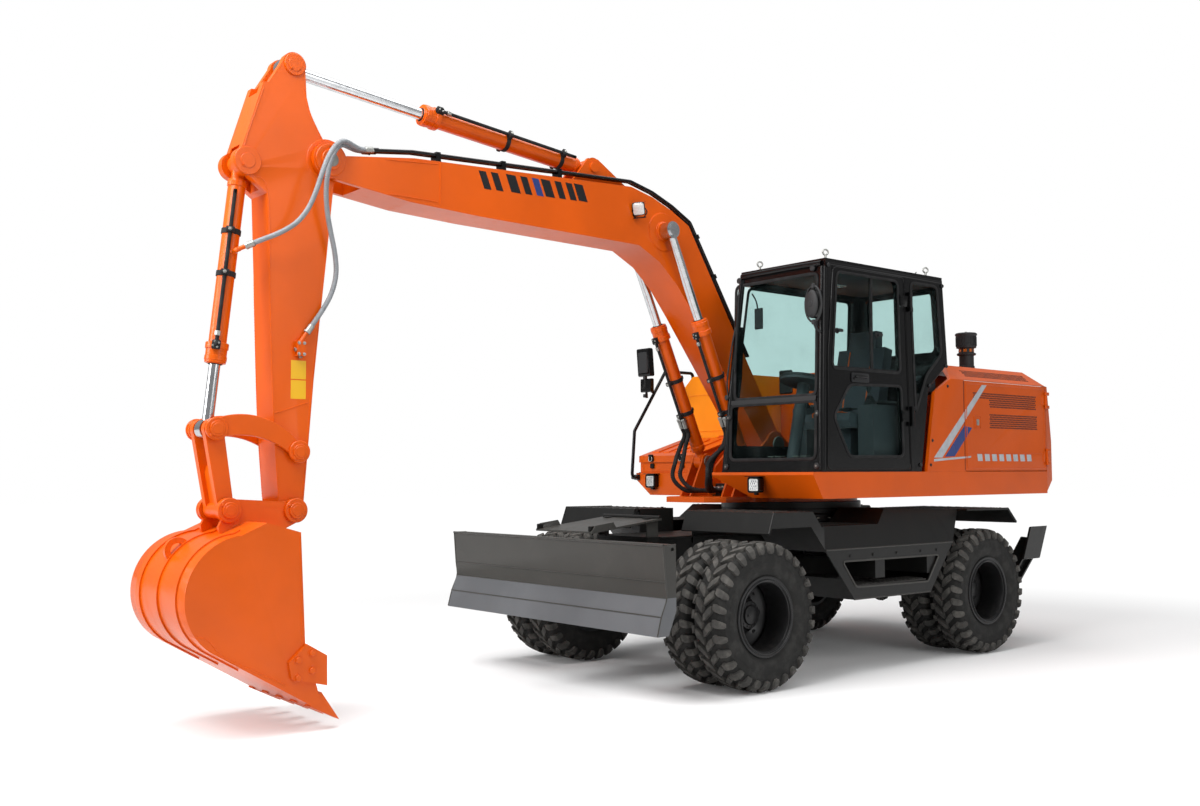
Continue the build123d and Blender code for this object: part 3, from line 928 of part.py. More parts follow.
def lifted(outline, distance):
    """An open (x, z) line moved to its upper side by a distance, its corners mitred."""
    moved = []
    for i, (x, z) in enumerate(outline):
        before, after = outline[max(i - 1, 0)], outline[min(i + 1, len(outline) - 1)]
        ways = []
        for start, end in ((before, (x, z)), ((x, z), after)):
            length = hypot(end[0] - start[0], end[1] - start[1])
            if length:
                ways.append(((start[1] - end[1]) / length, (end[0] - start[0]) / length))
        normal = (sum(way[0] for way in ways) / len(ways), sum(way[1] for way in ways) / len(ways))
        scale = distance / (normal[0] ** 2 + normal[1] ** 2)
        moved.append((x + normal[0] * scale, z + normal[1] * scale))
    return moved


def tip_of(line, x):
    """The point of the last run of an (x, z) line at x."""
    (start_x, start_z), (end_x, end_z) = line
    return (x, start_z + (end_z - start_z) * (x - start_x) / (end_x - start_x))


TOP_RUN = [PIPE_START] + BOOM_TOP[::-1][:-1]
PIPE_RUN = lifted(TOP_RUN + [tip_of(BOOM_TOP[1::-1], PIPE_END_X)], PIPE_LIFT)
with BuildPart() as boom_pipes:
    # they run close together past the arm cylinder's foot, then spread for the hoses
    for start_y, end_y in ((PIPE_ENDS_Y[0], PIPE_ENDS_Y[0]), (PIPE_ENDS_Y[0] - 28, PIPE_ENDS_Y[1])):
        route = [at_y(point, start_y) for point in PIPE_RUN[:-2]]
        spread = tip_of(PIPE_RUN[-3:-1], 2500), tip_of(PIPE_RUN[-3:-1], 2650)
        route += [at_y(spread[0], start_y), at_y(spread[1], end_y)] if start_y != end_y else []
        route += [at_y(point, end_y) for point in PIPE_RUN[-2:]]
        pipe(route, PIPE_RADIUS, 60)
        rod(at_y(tip_of(PIPE_RUN[-2:], PIPE_END_X - 34), end_y), at_y(PIPE_RUN[-1], end_y), 18)
    # clamps
    for run, share in ((0, 0.55), (1, 0.4), (1, 0.85), (5, 0.36), (5, 0.62), (5, 0.9)):
        start, end = TOP_RUN[run], TOP_RUN[run + 1]
        length = hypot(end[0] - start[0], end[1] - start[1])
        along = ((end[0] - start[0]) / length, (end[1] - start[1]) / length)
        middle = toward(start, end, length * share)
        corners = [(middle[0] + along[0] * a - along[1] * up, middle[1] + along[1] * a + along[0] * up)
                   for a, up in ((-18, 0), (18, 0), (18, PIPE_LIFT + PIPE_RADIUS + 6),
                                 (-18, PIPE_LIFT + PIPE_RADIUS + 6))]
        slab(corners, min(PIPE_ENDS_Y) - 18, max(PIPE_ENDS_Y) + 17)
save(boom_pipes, "boom_pipes")

ARM_FRONT = [(4898, 4014), (5049, 3524), (4985, 3397), (4864, 3308), (4837, 2633), (4806, 1894), (4760, 1317)]
ARM_BACK = [(4600, 1317), (4535, 2145), (4484, 2653), (4446, 3021), (4406, 3441), (4425, 3623), (4469, 3679),
            (4574, 3860), (4624, 4041)]
ARM_BLOCK = (4640, 2345)     # (x, z) of the hose block
CYLINDER_ROOM = 66           # half width of the slot that a cylinder's eye swings in
with BuildPart() as arm:
    slab(ARM_FRONT + ARM_BACK, BOOM_Y - ARM_HALF, BOOM_Y + ARM_HALF)
    drum(BUCKET_PIN, 80, BOOM_Y - ARM_HALF, BOOM_Y + ARM_HALF)
    drum(BUCKET_PIN, 40 + FIT, BOOM_Y - ARM_HALF, BOOM_Y + ARM_HALF, Mode.SUBTRACT)
    drum(BOOM_TIP, 45 + FIT, BOOM_Y - ARM_HALF, BOOM_Y + ARM_HALF, Mode.SUBTRACT)
    # slots: at the top for the arm cylinder's eye, in front for the bucket cylinder's foot
    for side in SIDES.values():
        low_y, high_y = sorted((BOOM_Y + side * CYLINDER_ROOM, BOOM_Y + side * ARM_HALF))
        slab([(4600, 3900), (4615, 4138), (4660, 4225), (4740, 4225), (4880, 3990)], low_y, high_y)
        drum(ARM_ROD_PIN, 80, low_y, high_y)
        drum(BUCKET_CYLINDER_FOOT, 90, low_y, high_y)
    slab([(4500, 4300), (4560, 3960), (4790, 3960), (4930, 3950), (4930, 4300)], BOOM_Y - CYLINDER_ROOM,
         BOOM_Y + CYLINDER_ROOM, Mode.SUBTRACT)
    drum(BUCKET_CYLINDER_FOOT, 100, BOOM_Y - CYLINDER_ROOM, BOOM_Y + CYLINDER_ROOM, Mode.SUBTRACT)
    slab([(4960, 3600), (5100, 3600), (5100, 3200), (4890, 3200), (4900, 3440)], BOOM_Y - CYLINDER_ROOM,
         BOOM_Y + CYLINDER_ROOM, Mode.SUBTRACT)
    drum(BUCKET_CYLINDER_FOOT, 38, BOOM_Y - ARM_HALF - 12, BOOM_Y + ARM_HALF + 12)
    # boss and pin of the guide links
    drum(GUIDE_PIN, 62, BOOM_Y - ARM_HALF, BOOM_Y + ARM_HALF)
    drum(GUIDE_PIN, 32, BOOM_Y - ARM_HALF - 45, BOOM_Y + ARM_HALF + 45)
    # hose block on the left side
    block((ARM_BLOCK[0] - 28, BOOM_Y + ARM_HALF - 1, ARM_BLOCK[1] - 55),
          (ARM_BLOCK[0] + 28, BOOM_Y + ARM_HALF + 44,
          ARM_BLOCK[1] + 40))
    rod(beyond(BLOCK_HOSE_END, 2 * FIT), beyond(BLOCK_HOSE_END, 78), 14)
save(arm, "arm")

# cylinders: foot, rod pin, middle planes, barrel's length and radius, gland, rod and eye radii, rod's
# inner length
EYE_HALF = 42
CYLINDERS = {
    "boom": dict(foot=BOOM_CYLINDER_FOOT, pin=BOOM_ROD_PIN,
                 planes=(BOOM_Y - BOOM_CYLINDER_Y, BOOM_Y + BOOM_CYLINDER_Y),
                 barrel=1250, tube=57, gland=68, bar=36, eye=68, foot_pin=35, inner=600),
    "arm": dict(foot=ARM_CYLINDER_FOOT, pin=ARM_ROD_PIN, planes=(BOOM_Y,),
                barrel=1500, tube=62, gland=74, bar=40, eye=72, foot_pin=38, inner=480),
    "bucket": dict(foot=BUCKET_CYLINDER_FOOT, pin=LINK_TOP, planes=(BOOM_Y,),
                   barrel=1270, tube=54, gland=64, bar=34, eye=62, foot_pin=38, inner=560),
}
for name, size in CYLINDERS.items():
    foot, pin = size["foot"], size["pin"]
    with BuildPart() as barrel:
        for y in size["planes"]:
            drum(foot, size["eye"], y - EYE_HALF, y + EYE_HALF)
            rod(at_y(toward(foot, pin, size["eye"] * 0.5), y), at_y(toward(foot, pin, 120), y), EYE_HALF - 2)
            rod(at_y(toward(foot, pin, 105), y), at_y(toward(foot, pin, size["barrel"]), y), size["tube"])
            rod(at_y(toward(foot, pin, size["barrel"] - 120), y), at_y(toward(foot, pin, size["barrel"]), y),
                size["gland"])
            if name == "bucket":
                # elbow that the boom's hose meets
                elbow = beyond(CYLINDER_HOSE_END, 48)
                rod(beyond(CYLINDER_HOSE_END, 2 * FIT), elbow, 14)
                rod((elbow[0], elbow[1] + 12, elbow[2]), (elbow[0] + 8, -110, elbow[2] - 8), 16)
            drum(foot, size["foot_pin"] + FIT, y - EYE_HALF, y + EYE_HALF, Mode.SUBTRACT)
            rod(at_y(toward(foot, pin, 150), y), at_y(toward(foot, pin, size["barrel"] + 1), y),
                size["bar"] + FIT,
                Mode.SUBTRACT)
    save(barrel, f"{name}_cylinder_barrel")
    with BuildPart() as piston_rod:
        for y in size["planes"]:
            rod(at_y(toward(foot, pin, size["barrel"] - size["inner"]), y), at_y(pin, y), size["bar"])
            drum(pin, size["eye"], y - EYE_HALF, y + EYE_HALF)
            if name == "boom":
                # cap of the pin, outside the eye
                low_y, high_y = sorted((y, BOOM_Y + (y - BOOM_Y) / abs(y - BOOM_Y)
                                        * (BOOM_CYLINDER_Y + EYE_HALF + 14)))
                drum(pin, 50, low_y, high_y)
    save(piston_rod, f"{name}_cylinder_rod")

GUIDE_HALF = (ARM_HALF + 7, ARM_HALF + 33)
LINK_HALF = (68, ARM_HALF - 4)
with BuildPart() as guide_links:
    for side in SIDES.values():
        low_y, high_y = sorted((BOOM_Y + side * GUIDE_HALF[0], BOOM_Y + side * GUIDE_HALF[1]))
        with BuildSketch(Plane.XZ.offset(-high_y)):
            with BuildLine():
                ThreePointArc((GUIDE_PIN[0], GUIDE_PIN[1] + 58), (4930, 1905),
                              (LINK_TOP[0] + 10, LINK_TOP[1] + 60))
                Line((LINK_TOP[0] + 10, LINK_TOP[1] + 60), (LINK_TOP[0] - 10, LINK_TOP[1] - 60))
                ThreePointArc((LINK_TOP[0] - 10, LINK_TOP[1] - 60), (4930, 1775),
                              (GUIDE_PIN[0] + 10, GUIDE_PIN[1] - 58))
                Line((GUIDE_PIN[0] + 10, GUIDE_PIN[1] - 58), (GUIDE_PIN[0], GUIDE_PIN[1] + 58))
            make_face()
        extrude(amount=high_y - low_y)
        for pin in (GUIDE_PIN, LINK_TOP):
            drum(pin, 64, low_y, high_y)
        drum(GUIDE_PIN, 32 + FIT, low_y, high_y, Mode.SUBTRACT)
        # stub pins that carry the bucket link, clear of the cylinder's eye
        drum(LINK_TOP, 32, *sorted((BOOM_Y + side * (LINK_HALF[0] + 2),
                                    BOOM_Y + side * (GUIDE_HALF[1] + 12))))
save(guide_links, "guide_links")

with BuildPart() as bucket_link:
    for side in SIDES.values():
        low_y, high_y = sorted((BOOM_Y + side * LINK_HALF[0], BOOM_Y + side * LINK_HALF[1]))
        slab([(LINK_TOP[0] + 60, LINK_TOP[1]), (LINK_BOTTOM[0] + 50, LINK_BOTTOM[1]),
              (LINK_BOTTOM[0] - 50, LINK_BOTTOM[1]),
              (LINK_TOP[0] - 60, LINK_TOP[1])], low_y, high_y)
        drum(LINK_TOP, 62, low_y, high_y)
        drum(LINK_TOP, 32 + FIT, low_y, high_y, Mode.SUBTRACT)
    drum(LINK_BOTTOM, 54, BOOM_Y - LINK_HALF[1], BOOM_Y + LINK_HALF[1])
    slab([(5155, 1600), (5165, 1560), (5130, 1370), (5070, 1370), (5085, 1560)], BOOM_Y - LINK_HALF[1],
         BOOM_Y + LINK_HALF[1])
save(bucket_link, "bucket_link")

MOUTH_TOP = (4770, 1195)
LIP = (4640, 210)
EDGE = (4504, 51)
BUCKET_WALL = 22
BUCKET_EAR = (ARM_HALF + 6, ARM_HALF + 34)
BACK_TOP = (5140, 1190)
BACK_LOW = (5290, 515)
LIFTING_EYE = (5352, 1092)


with BuildSketch() as bucket_section:
    with BuildLine():
        Polyline(BACK_LOW, (4701, 163), LIP, (4735, 517), MOUTH_TOP, (4985, 1258), BACK_TOP)
        ThreePointArc(BACK_TOP, (5468, 870), BACK_LOW)
    make_face()
BUCKET_SECTION = bucket_section.sketch

with BuildPart() as bucket:
    with BuildSketch(Plane.XZ.offset(-(BOOM_Y + BUCKET_HALF))):
        add(BUCKET_SECTION)
    extrude(amount=2 * BUCKET_HALF)
    # lifting eye on the back
    with BuildSketch(Plane.XZ.offset(-(BOOM_Y + 16))):
        with Locations(LIFTING_EYE):
            Circle(78)
            Circle(44, mode=Mode.SUBTRACT)
    extrude(amount=32)
    with BuildSketch(Plane.XZ.offset(-(BOOM_Y + BUCKET_HALF - BUCKET_WALL))):
        add(BUCKET_SECTION)
        offset(amount=-BUCKET_WALL, kind=Kind.INTERSECTION, mode=Mode.REPLACE)
        Polygon((4400, 1165), (4815, 1165), (4800, 240), (4400, 240), align=None)
    extrude(amount=2 * (BUCKET_HALF - BUCKET_WALL), mode=Mode.SUBTRACT)
    for side in SIDES.values():
        # ears round both pins
        low_y, high_y = sorted((BOOM_Y + side * BUCKET_EAR[0], BOOM_Y + side * BUCKET_EAR[1]))
        slab([(4620, 1260), (4640, 1385), (4750, 1375), (5080, 1395), (5160, 1230), (5150, 1170),
              (4985, 1235), (4790, 1180)],
             low_y, high_y)
        for pin in (BUCKET_PIN, LINK_BOTTOM):
            drum(pin, 74, low_y, high_y)
        # side cutters
        slab([(4600, 270), (4602, 450), (4735, 530), (4850, 430), (4830, 330)],
             *sorted((BOOM_Y + side * BUCKET_HALF, BOOM_Y + side * (BUCKET_HALF + 22))))
    drum(BUCKET_PIN, 40, BOOM_Y - BUCKET_EAR[1] - 12, BOOM_Y + BUCKET_EAR[1] + 12)
    slab([(4640, 210), (4701, 163), (4675, 140), (4600, 195)], BOOM_Y - BUCKET_HALF, BOOM_Y + BUCKET_HALF)
    for tooth in range(5):
        tooth_y = BOOM_Y - BUCKET_HALF + 40 + tooth * (2 * BUCKET_HALF - 80) / 4
        slab([EDGE, (4625, 230), (4660, 205), (4700, 150), (4650, 125)], tooth_y - 36, tooth_y + 36)
    # wear strips round the back
    for strip_y in (-300, 0, 300):
        with BuildSketch(Plane.XZ.offset(-(BOOM_Y + strip_y + 30))):
            add(BUCKET_SECTION)
            offset(amount=10, kind=Kind.INTERSECTION, mode=Mode.REPLACE)
            add(BUCKET_SECTION, mode=Mode.SUBTRACT)
            Rectangle(5100, 3000, align=(Align.MIN, Align.CENTER), mode=Mode.SUBTRACT)
        extrude(amount=60)
save(bucket, "bucket")

# ---------------------------------------------------------------- free hoses at the boom's tip
HOSE_RADIUS = 17


def pipe_end(y):
    """The first two points of a hose, in line with the end of the boom's pipe at y."""
    run = [at_y(point, y) for point in PIPE_RUN[-2:]]
    return [run[1], beyond(run, 95)]


# from the boom's pipes to the bucket cylinder's port, and to the block on the arm
CYLINDER_HOSE = [*pipe_end(PIPE_ENDS_Y[0]), (4318, 28, 3706), (4396, 80, 3702), (4472, 126, 3654),
                 (4536, 148, 3564),
                 (4580, 150, 3448), (4616, 142, 3322), (4664, 130, 3200), (4736, 114, 3104), (4832, 90, 3038),
                 (4914, 58, 2998), *CYLINDER_HOSE_END]
BLOCK_HOSE = [*pipe_end(PIPE_ENDS_Y[1]), (4308, -22, 3696), (4374, 24, 3692), (4432, 64, 3656),
              (4478, 84, 3584),
              (4506, 82, 3484), (4514, 70, 3362), (4498, 56, 3226), (4462, 44, 3090), (4426, 34, 2966),
              (4410, 28, 2836),
              (4438, 20, 2706), (4498, 10, 2592), *BLOCK_HOSE_END]


def hose(name, points):
    """A hose of tangent arcs between straight runs; prints its radii and volume / (section * length)."""
    points = [Vector(*point) for point in points]
    runs = [after - before for before, after in zip(points, points[1:])]
    radii = [0.45 * min(a.length, b.length) / tan(radians(a.get_angle(b)) / 2) for a,
             b in zip(runs, runs[1:])]
    with BuildPart() as tube:
        with BuildLine() as path:
            FilletPolyline(*points, radius=radii)
        with BuildSketch(Plane(origin=path.line @ 0, z_dir=path.line % 0)) as section:
            Circle(HOSE_RADIUS)
        sweep(section.sketch, path=path.line)
    length = path.wires()[0].length
    share = tube.part.volume / (pi * HOSE_RADIUS**2 * length)
    rounded = [round(radius) for radius in radii]
    print(f"{name}: length {length:.0f}, radii {rounded}, volume share {share:.4f}")
    save(tube, name)


hose("cylinder_hose", CYLINDER_HOSE)
hose("block_hose", BLOCK_HOSE)
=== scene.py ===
"""Dress of a wheeled excavator: tyres, paint, glass, pipes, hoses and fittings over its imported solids.

Every piece is in metres in the solids' own frame: +X forwards, +Y to the machine's left, +Z up.
"""

import json
import logging
import math
from dataclasses import dataclass
from enum import Enum

import bmesh
import bpy
import numpy as np
from mathutils import Matrix

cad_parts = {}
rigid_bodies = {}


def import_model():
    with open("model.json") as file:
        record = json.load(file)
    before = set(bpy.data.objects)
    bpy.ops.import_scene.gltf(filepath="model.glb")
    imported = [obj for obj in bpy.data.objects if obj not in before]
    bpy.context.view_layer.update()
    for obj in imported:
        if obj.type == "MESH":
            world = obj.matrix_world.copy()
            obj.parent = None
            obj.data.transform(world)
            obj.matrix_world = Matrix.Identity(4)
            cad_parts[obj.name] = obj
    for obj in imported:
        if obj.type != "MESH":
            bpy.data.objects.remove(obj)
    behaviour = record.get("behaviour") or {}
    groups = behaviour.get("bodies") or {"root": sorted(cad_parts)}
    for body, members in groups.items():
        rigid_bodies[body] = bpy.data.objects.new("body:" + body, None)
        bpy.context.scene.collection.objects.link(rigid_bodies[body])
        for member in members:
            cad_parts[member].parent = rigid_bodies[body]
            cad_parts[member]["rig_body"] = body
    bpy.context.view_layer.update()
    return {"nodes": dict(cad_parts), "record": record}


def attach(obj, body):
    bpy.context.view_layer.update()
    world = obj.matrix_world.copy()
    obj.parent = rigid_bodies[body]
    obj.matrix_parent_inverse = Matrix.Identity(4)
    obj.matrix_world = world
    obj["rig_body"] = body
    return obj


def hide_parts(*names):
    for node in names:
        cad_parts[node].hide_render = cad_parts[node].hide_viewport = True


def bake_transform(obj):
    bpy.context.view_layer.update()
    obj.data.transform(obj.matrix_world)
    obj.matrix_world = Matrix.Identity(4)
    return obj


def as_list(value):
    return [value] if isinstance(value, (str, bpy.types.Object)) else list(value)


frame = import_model()
LOG = logging.getLogger("excavator")
Array = np.ndarray
Point = tuple[float, float, float]
TAU = 2 * math.pi
ORIGIN, X_AXIS, Y_AXIS, Z_AXIS = (0, 0, 0), (1, 0, 0), (0, 1, 0), (0, 0, 1)
SIDES = {"left": 1, "right": -1}
PLANE_Y = -0.15  # the boom's, arm's and bucket's middle plane
AXLES = {"front": 1.684, "rear": -1.116}
AXLE_Z = 0.5275  # height of the axles, and the tyres' radius
JOIN_DISTANCE = 1e-5  # corners nearer to each other than this become one
WINDOW_CORNER = 0.055  # reach of a window's rounded corners
GRILLE = (0.0215, 0.0074, 1.15)  # pitch, radius and stretch of the grilles' holes
STUDS = {"pitch": 0.052, "radius": 0.0085, "sides": 10}  # the treads' round studs
PURE_WHITE = (1, 1, 1, 1)
BEVEL_STEPS = 2
BEVEL_ANGLE = 28  # degrees between faces from which an edge is bevelled


# ---------------------------------------------------------------- shader maths
class Term:
    """A shader socket on which arithmetic adds Math nodes."""

    def __init__(self, graph: "Graph", socket: bpy.types.NodeSocket) -> None:
        """Wrap a socket.

        Args:
            graph: the material's graph that the new nodes go into.
            socket: the output socket that this term stands for.
        """
        self.graph = graph
        self.socket = socket

    def __add__(self, other: "Operand") -> "Term":
        """Sum."""
        return self.graph.math("ADD", self, other)

    def __sub__(self, other: "Operand") -> "Term":
        """Difference."""
        return self.graph.math("SUBTRACT", self, other)

    def __rsub__(self, other: "Operand") -> "Term":
        """Difference from a number on the left."""
        return self.graph.math("SUBTRACT", other, self)

    def __mul__(self, other: "Operand") -> "Term":
        """Product."""
        return self.graph.math("MULTIPLY", self, other)

    def __pow__(self, other: "Operand") -> "Term":
        """Power."""
        return self.graph.math("POWER", self, other)

    def rise(self, low: float, high: float) -> "Term":
        """A smooth step from 0 at low to 1 at high.

        Args:
            low: value below which the result is 0.
            high: value above which the result is 1.

        Returns:
            The stepped term.
        """
        node = self.graph.node("MapRange", {"interpolation_type": "SMOOTHSTEP"},
                               {"Value": self, "From Min": low, "From Max": high})
        return Term(self.graph, node.outputs[0])


Operand = Term | float


class Graph:
    """One material's node graph, round a Principled surface."""

    def __init__(self, name: str) -> None:
        """Start a material.

        Args:
            name: the material's name.
        """
        self.material = bpy.data.materials.new(name)
        self.material.use_nodes = True
        self.tree = self.material.node_tree
        self.tree.nodes.clear()
        self.surface = self.node("BsdfPrincipled")
        self.output = self.node("OutputMaterial", {}, {"Surface": self.surface.outputs[0]})
        self.place = Term(self, self.node("TexCoord").outputs["Object"])

    def node(self, kind: str, settings: dict | None = None, inputs: dict | None = None) -> bpy.types.Node:
        """Add any node.

        Args:
            kind: the node's type name after ShaderNode.
            settings: its properties, set first.
            inputs: a value, Term or socket for each input socket's name or number.

        Returns:
            The new node.
        """
        node = self.tree.nodes.new(f"ShaderNode{kind}")
        for key, value in (settings or {}).items():
            setattr(node, key, value)
        for key, value in (inputs or {}).items():
            source = value.socket if isinstance(value, Term) else value
            if isinstance(source, bpy.types.NodeSocket):
                self.tree.links.new(source, node.inputs[key])
            else:
                node.inputs[key].default_value = source
        return node

    def math(self, operation: str, *values: Operand) -> Term:
        """Add a Math node.

        Args:
            operation: its operation.
            values: its inputs in order.

        Returns:
            The result.
        """
        return Term(self, self.node("Math", {"operation": operation}, dict(enumerate(values))).outputs[0])

    def mix(self, share: Operand, first: "Term | tuple", second: "Term | tuple") -> Term:
        """Mix two colours.

        Args:
            share: how much of the second shows.
            first: colour or term.
            second: colour or term.

        Returns:
            The mixed colour.
        """
        node = self.node("Mix", {"data_type": "RGBA", "clamp_result": False},
                         {0: share, 6: first, 7: second})
        return Term(self, node.outputs[2])

    def noise(self, scale: float, detail: float = 3.0, stretch: Point = (1.0, 1.0, 1.0)) -> Term:
        """Fractal noise over the piece.

        Args:
            scale: grains to a metre.
            detail: octaves.
            stretch: factor along each axis.

        Returns:
            A value round 0.5.
        """
        place = self.node("VectorMath", {"operation": "MULTIPLY"}, {0: self.place, 1: stretch})
        node = self.node("TexNoise", {}, {"Vector": place.outputs[0], "Scale": scale, "Detail": detail})
        return Term(self, node.outputs["Fac"])

    def cells(self, scale: float, feature: str = "F1") -> Term:
        """Distance in a field of cells.

        Args:
            scale: cells to a metre.
            feature: what is measured.

        Returns:
            The distance.
        """
        node = self.node("TexVoronoi", {"feature": feature}, {"Vector": self.place, "Scale": scale})
        return Term(self, node.outputs["Distance"])

    def along(self, axis: int, source: "Term | None" = None) -> Term:
        """One coordinate of the place on the piece.

        Args:
            axis: 0, 1 or 2.
            source: another vector to split.

        Returns:
            The coordinate.
        """
        node = self.node("SeparateXYZ", {}, {0: source or self.place})
        return Term(self, node.outputs[axis])

    def facing_up(self) -> Term:
        """How much the surface faces the sky, from -1 to 1."""
        return self.along(2, Term(self, self.node("NewGeometry").outputs["Normal"]))

    def relief(self, height: Term, distance: float, strength: float = 1.0) -> None:
        """Raise the surface by a height.

        Args:
            height: relief from 0 to 1.
            distance: metres for a height of 1.
            strength: share of it that is used.
        """
        bump = self.node("Bump", {}, {"Height": height, "Distance": distance, "Strength": strength})
        self.tree.links.new(bump.outputs[0], self.surface.inputs["Normal"])

    def feed(self, **sockets: "Term | float | tuple") -> None:
        """Set the surface's sockets; a name's underscores stand for spaces.

        Args:
            sockets: values or terms.
        """
        for name, value in sockets.items():
            socket = self.surface.inputs[name.replace("_", " ")]
            if isinstance(value, Term):
                self.tree.links.new(value.socket, socket)
            else:
                socket.default_value = value


def linear(code: str) -> tuple[float, float, float, float]:
    """Linear colour of an sRGB hex code.

    Args:
        code: six hex digits.

    Returns:
        Red, green, blue and 1, by the sRGB curve: x / 12.92 below 0.04045, else ((x + 0.055) / 1.055) ** 2.4.
    """
    values = [int(code[i:i + 2], 16) / 255 for i in (0, 2, 4)]
    red, green, blue = [v / 12.92 if v <= 0.04045 else ((v + 0.055) / 1.055) ** 2.4 for v in values]
    return red, green, blue, 1.0


def shaded(colour: tuple, factor: float) -> tuple[float, float, float, float]:
    """A colour made lighter or darker.

    Args:
        colour: linear colour.
        factor: what its parts are multiplied by.

    Returns:
        The new colour, each part at most 1.
    """
    return tuple(min(1.0, part * factor) for part in colour[:3]) + (1.0,)


# ---------------------------------------------------------------- finishes
@dataclass(frozen=True)
class Paint:
    """Sprayed enamel: orange-peel bump, slow drifts of tone, a little dust on what faces up."""

    name: str
    colour: str
    roughness: float = 0.34
    coat: float = 0.14
    peel: float = 0.00022
    dust: float = 0.016
    dust_colour: str = "B9A58E"
    low_z: float = 0.0
    low_colour: str = ""

    def make(self) -> bpy.types.Material:
        """Build the material.

        Returns:
            The material.
        """
        graph = Graph(self.name)
        base = linear(self.colour)
        drift = graph.noise(1.7, 4.0)
        tone = graph.mix(drift.rise(0.3, 0.7), shaded(base, 0.93), shaded(base, 1.07))
        if self.low_colour:
            low = 1.0 - graph.along(2).rise(self.low_z - 0.002, self.low_z + 0.002)
            tone = graph.mix(low, tone, graph.mix(
                drift.rise(0.35, 0.65), linear(self.low_colour), shaded(linear(self.low_colour), 0.86)))
        specks = graph.noise(38.0, 5.0)
        dusty = graph.facing_up().rise(0.35, 1.0) * specks.rise(0.42, 0.72) * self.dust * 4.0
        tone = graph.mix(dusty + graph.noise(5.0, 6.0).rise(0.52, 0.8) * self.dust, tone,
                         linear(self.dust_colour))
        scuffs = graph.noise(9.0, 8.0, (1.0, 1.0, 0.35)).rise(0.55, 0.75)
        graph.feed(Base_Color=tone, Roughness=scuffs * 0.1 + self.roughness - 0.03 + dusty * 0.4,
                   Coat_Weight=self.coat, Coat_Roughness=0.16, IOR=1.33)
        peel = graph.noise(340.0, 2.0) * 0.7 + graph.noise(26.0, 2.0) * 0.6
        graph.relief(peel, self.peel * 6.0, 0.5)
        return graph.material


@dataclass(frozen=True)
class Rubber:
    """Tyre rubber: matt, finely pored, paler where the ground has scrubbed it."""

    name: str
    colour: str = "222221"
    worn: str = "45433F"
    grain: float = 900.0

    def make(self) -> bpy.types.Material:
        """Build the material.

        Returns:
            The material.
        """
        graph = Graph(self.name)
        patches = graph.noise(14.0, 6.0).rise(0.4, 0.75) * 0.6 + graph.noise(90.0, 3.0) * 0.25
        tone = graph.mix(patches, linear(self.colour), linear(self.worn))
        graph.feed(Base_Color=tone, Roughness=0.92 - patches * 0.22, IOR=1.46)
        graph.relief(graph.noise(self.grain, 3.0) * 0.5 + graph.noise(60.0, 4.0), 0.0012, 0.6)
        return graph.material


@dataclass(frozen=True)
class Metal:
    """Bare or plated metal, with fine marks along one axis."""

    name: str
    colour: str = "D6D8DA"
    roughness: float = 0.12
    marks: float = 0.06
    grain: float = 700.0
    metallic: float = 1.0
    relief: float = 0.00004

    def make(self) -> bpy.types.Material:
        """Build the material.

        Returns:
            The material.
        """
        graph = Graph(self.name)
        smears = graph.noise(16.0, 5.0)
        tone = graph.mix(smears.rise(0.35, 0.75), linear(self.colour), shaded(linear(self.colour), 0.82))
        graph.feed(Base_Color=tone, Metallic=self.metallic, Roughness=graph.noise(
            self.grain, 2.0, (1.0, 1.0, 0.05)) * self.marks + smears * self.marks + self.roughness)
        graph.relief(graph.noise(self.grain, 3.0), self.relief * 10.0, 0.4)
        return graph.material


@dataclass(frozen=True)
class Cast:
    """Cast or forged metal under thin paint: coarse pits and grime."""

    name: str
    colour: str = "2C2B2A"
    grime: str = "4A4037"

    def make(self) -> bpy.types.Material:
        """Build the material.

        Returns:
            The material.
        """
        graph = Graph(self.name)
        dirt = graph.noise(7.0, 8.0).rise(0.48, 0.8)
        tone = graph.mix(dirt * 0.55, linear(self.colour), linear(self.grime))
        graph.feed(Base_Color=tone, Roughness=dirt * 0.25 + 0.5, Metallic=0.15)
        graph.relief(graph.noise(120.0, 5.0) + graph.cells(260.0) * 0.35, 0.0022, 0.5)
        return graph.material


@dataclass(frozen=True)
class Plastic:
    """Moulded plastic with a fine leather grain."""

    name: str
    colour: str = "17181A"
    roughness: float = 0.5
    grain: float = 520.0
    depth: float = 0.0005

    def make(self) -> bpy.types.Material:
        """Build the material.

        Returns:
            The material.
        """
        graph = Graph(self.name)
        cells = graph.cells(self.grain, "SMOOTH_F1")
        tone = graph.mix(graph.noise(11.0, 4.0), shaded(linear(self.colour), 0.85),
                         shaded(linear(self.colour), 1.2))
        graph.feed(Base_Color=tone, Roughness=cells * 0.18 + self.roughness)
        graph.relief(cells, self.depth, 0.5)
        return graph.material


@dataclass(frozen=True)
class Glass:
    """Lightly tinted safety glass, seen through, with a patchy film of dust."""

    name: str
    tint: str = "EDF8F7"
    clear: float = 0.96

    def make(self) -> bpy.types.Material:
        """Build the material: a see-through shader mixed with a glossy one by the angle of view.

        Returns:
            The material.
        """
        graph = Graph(self.name)
        haze = graph.noise(3.0, 5.0).rise(0.4, 0.8)
        graph.feed(Base_Color=graph.mix(haze * 0.35, linear("1C2424"), linear("9AA5A3")),
                   Roughness=haze * 0.03 + 0.02, IOR=1.45)
        through = graph.node("BsdfTransparent", {}, {"Color": linear(self.tint)})
        angle = Term(graph, graph.node("LayerWeight", {}, {"Blend": 0.5}).outputs["Facing"]) ** 4.0
        share = graph.node("MixShader", {}, {
            0: angle * 0.7 + (1.0 - self.clear) + haze * 0.04, 1: through.outputs[0],
            2: graph.surface.outputs[0]})
        graph.tree.links.new(share.outputs[0], graph.output.inputs["Surface"])
        return graph.material


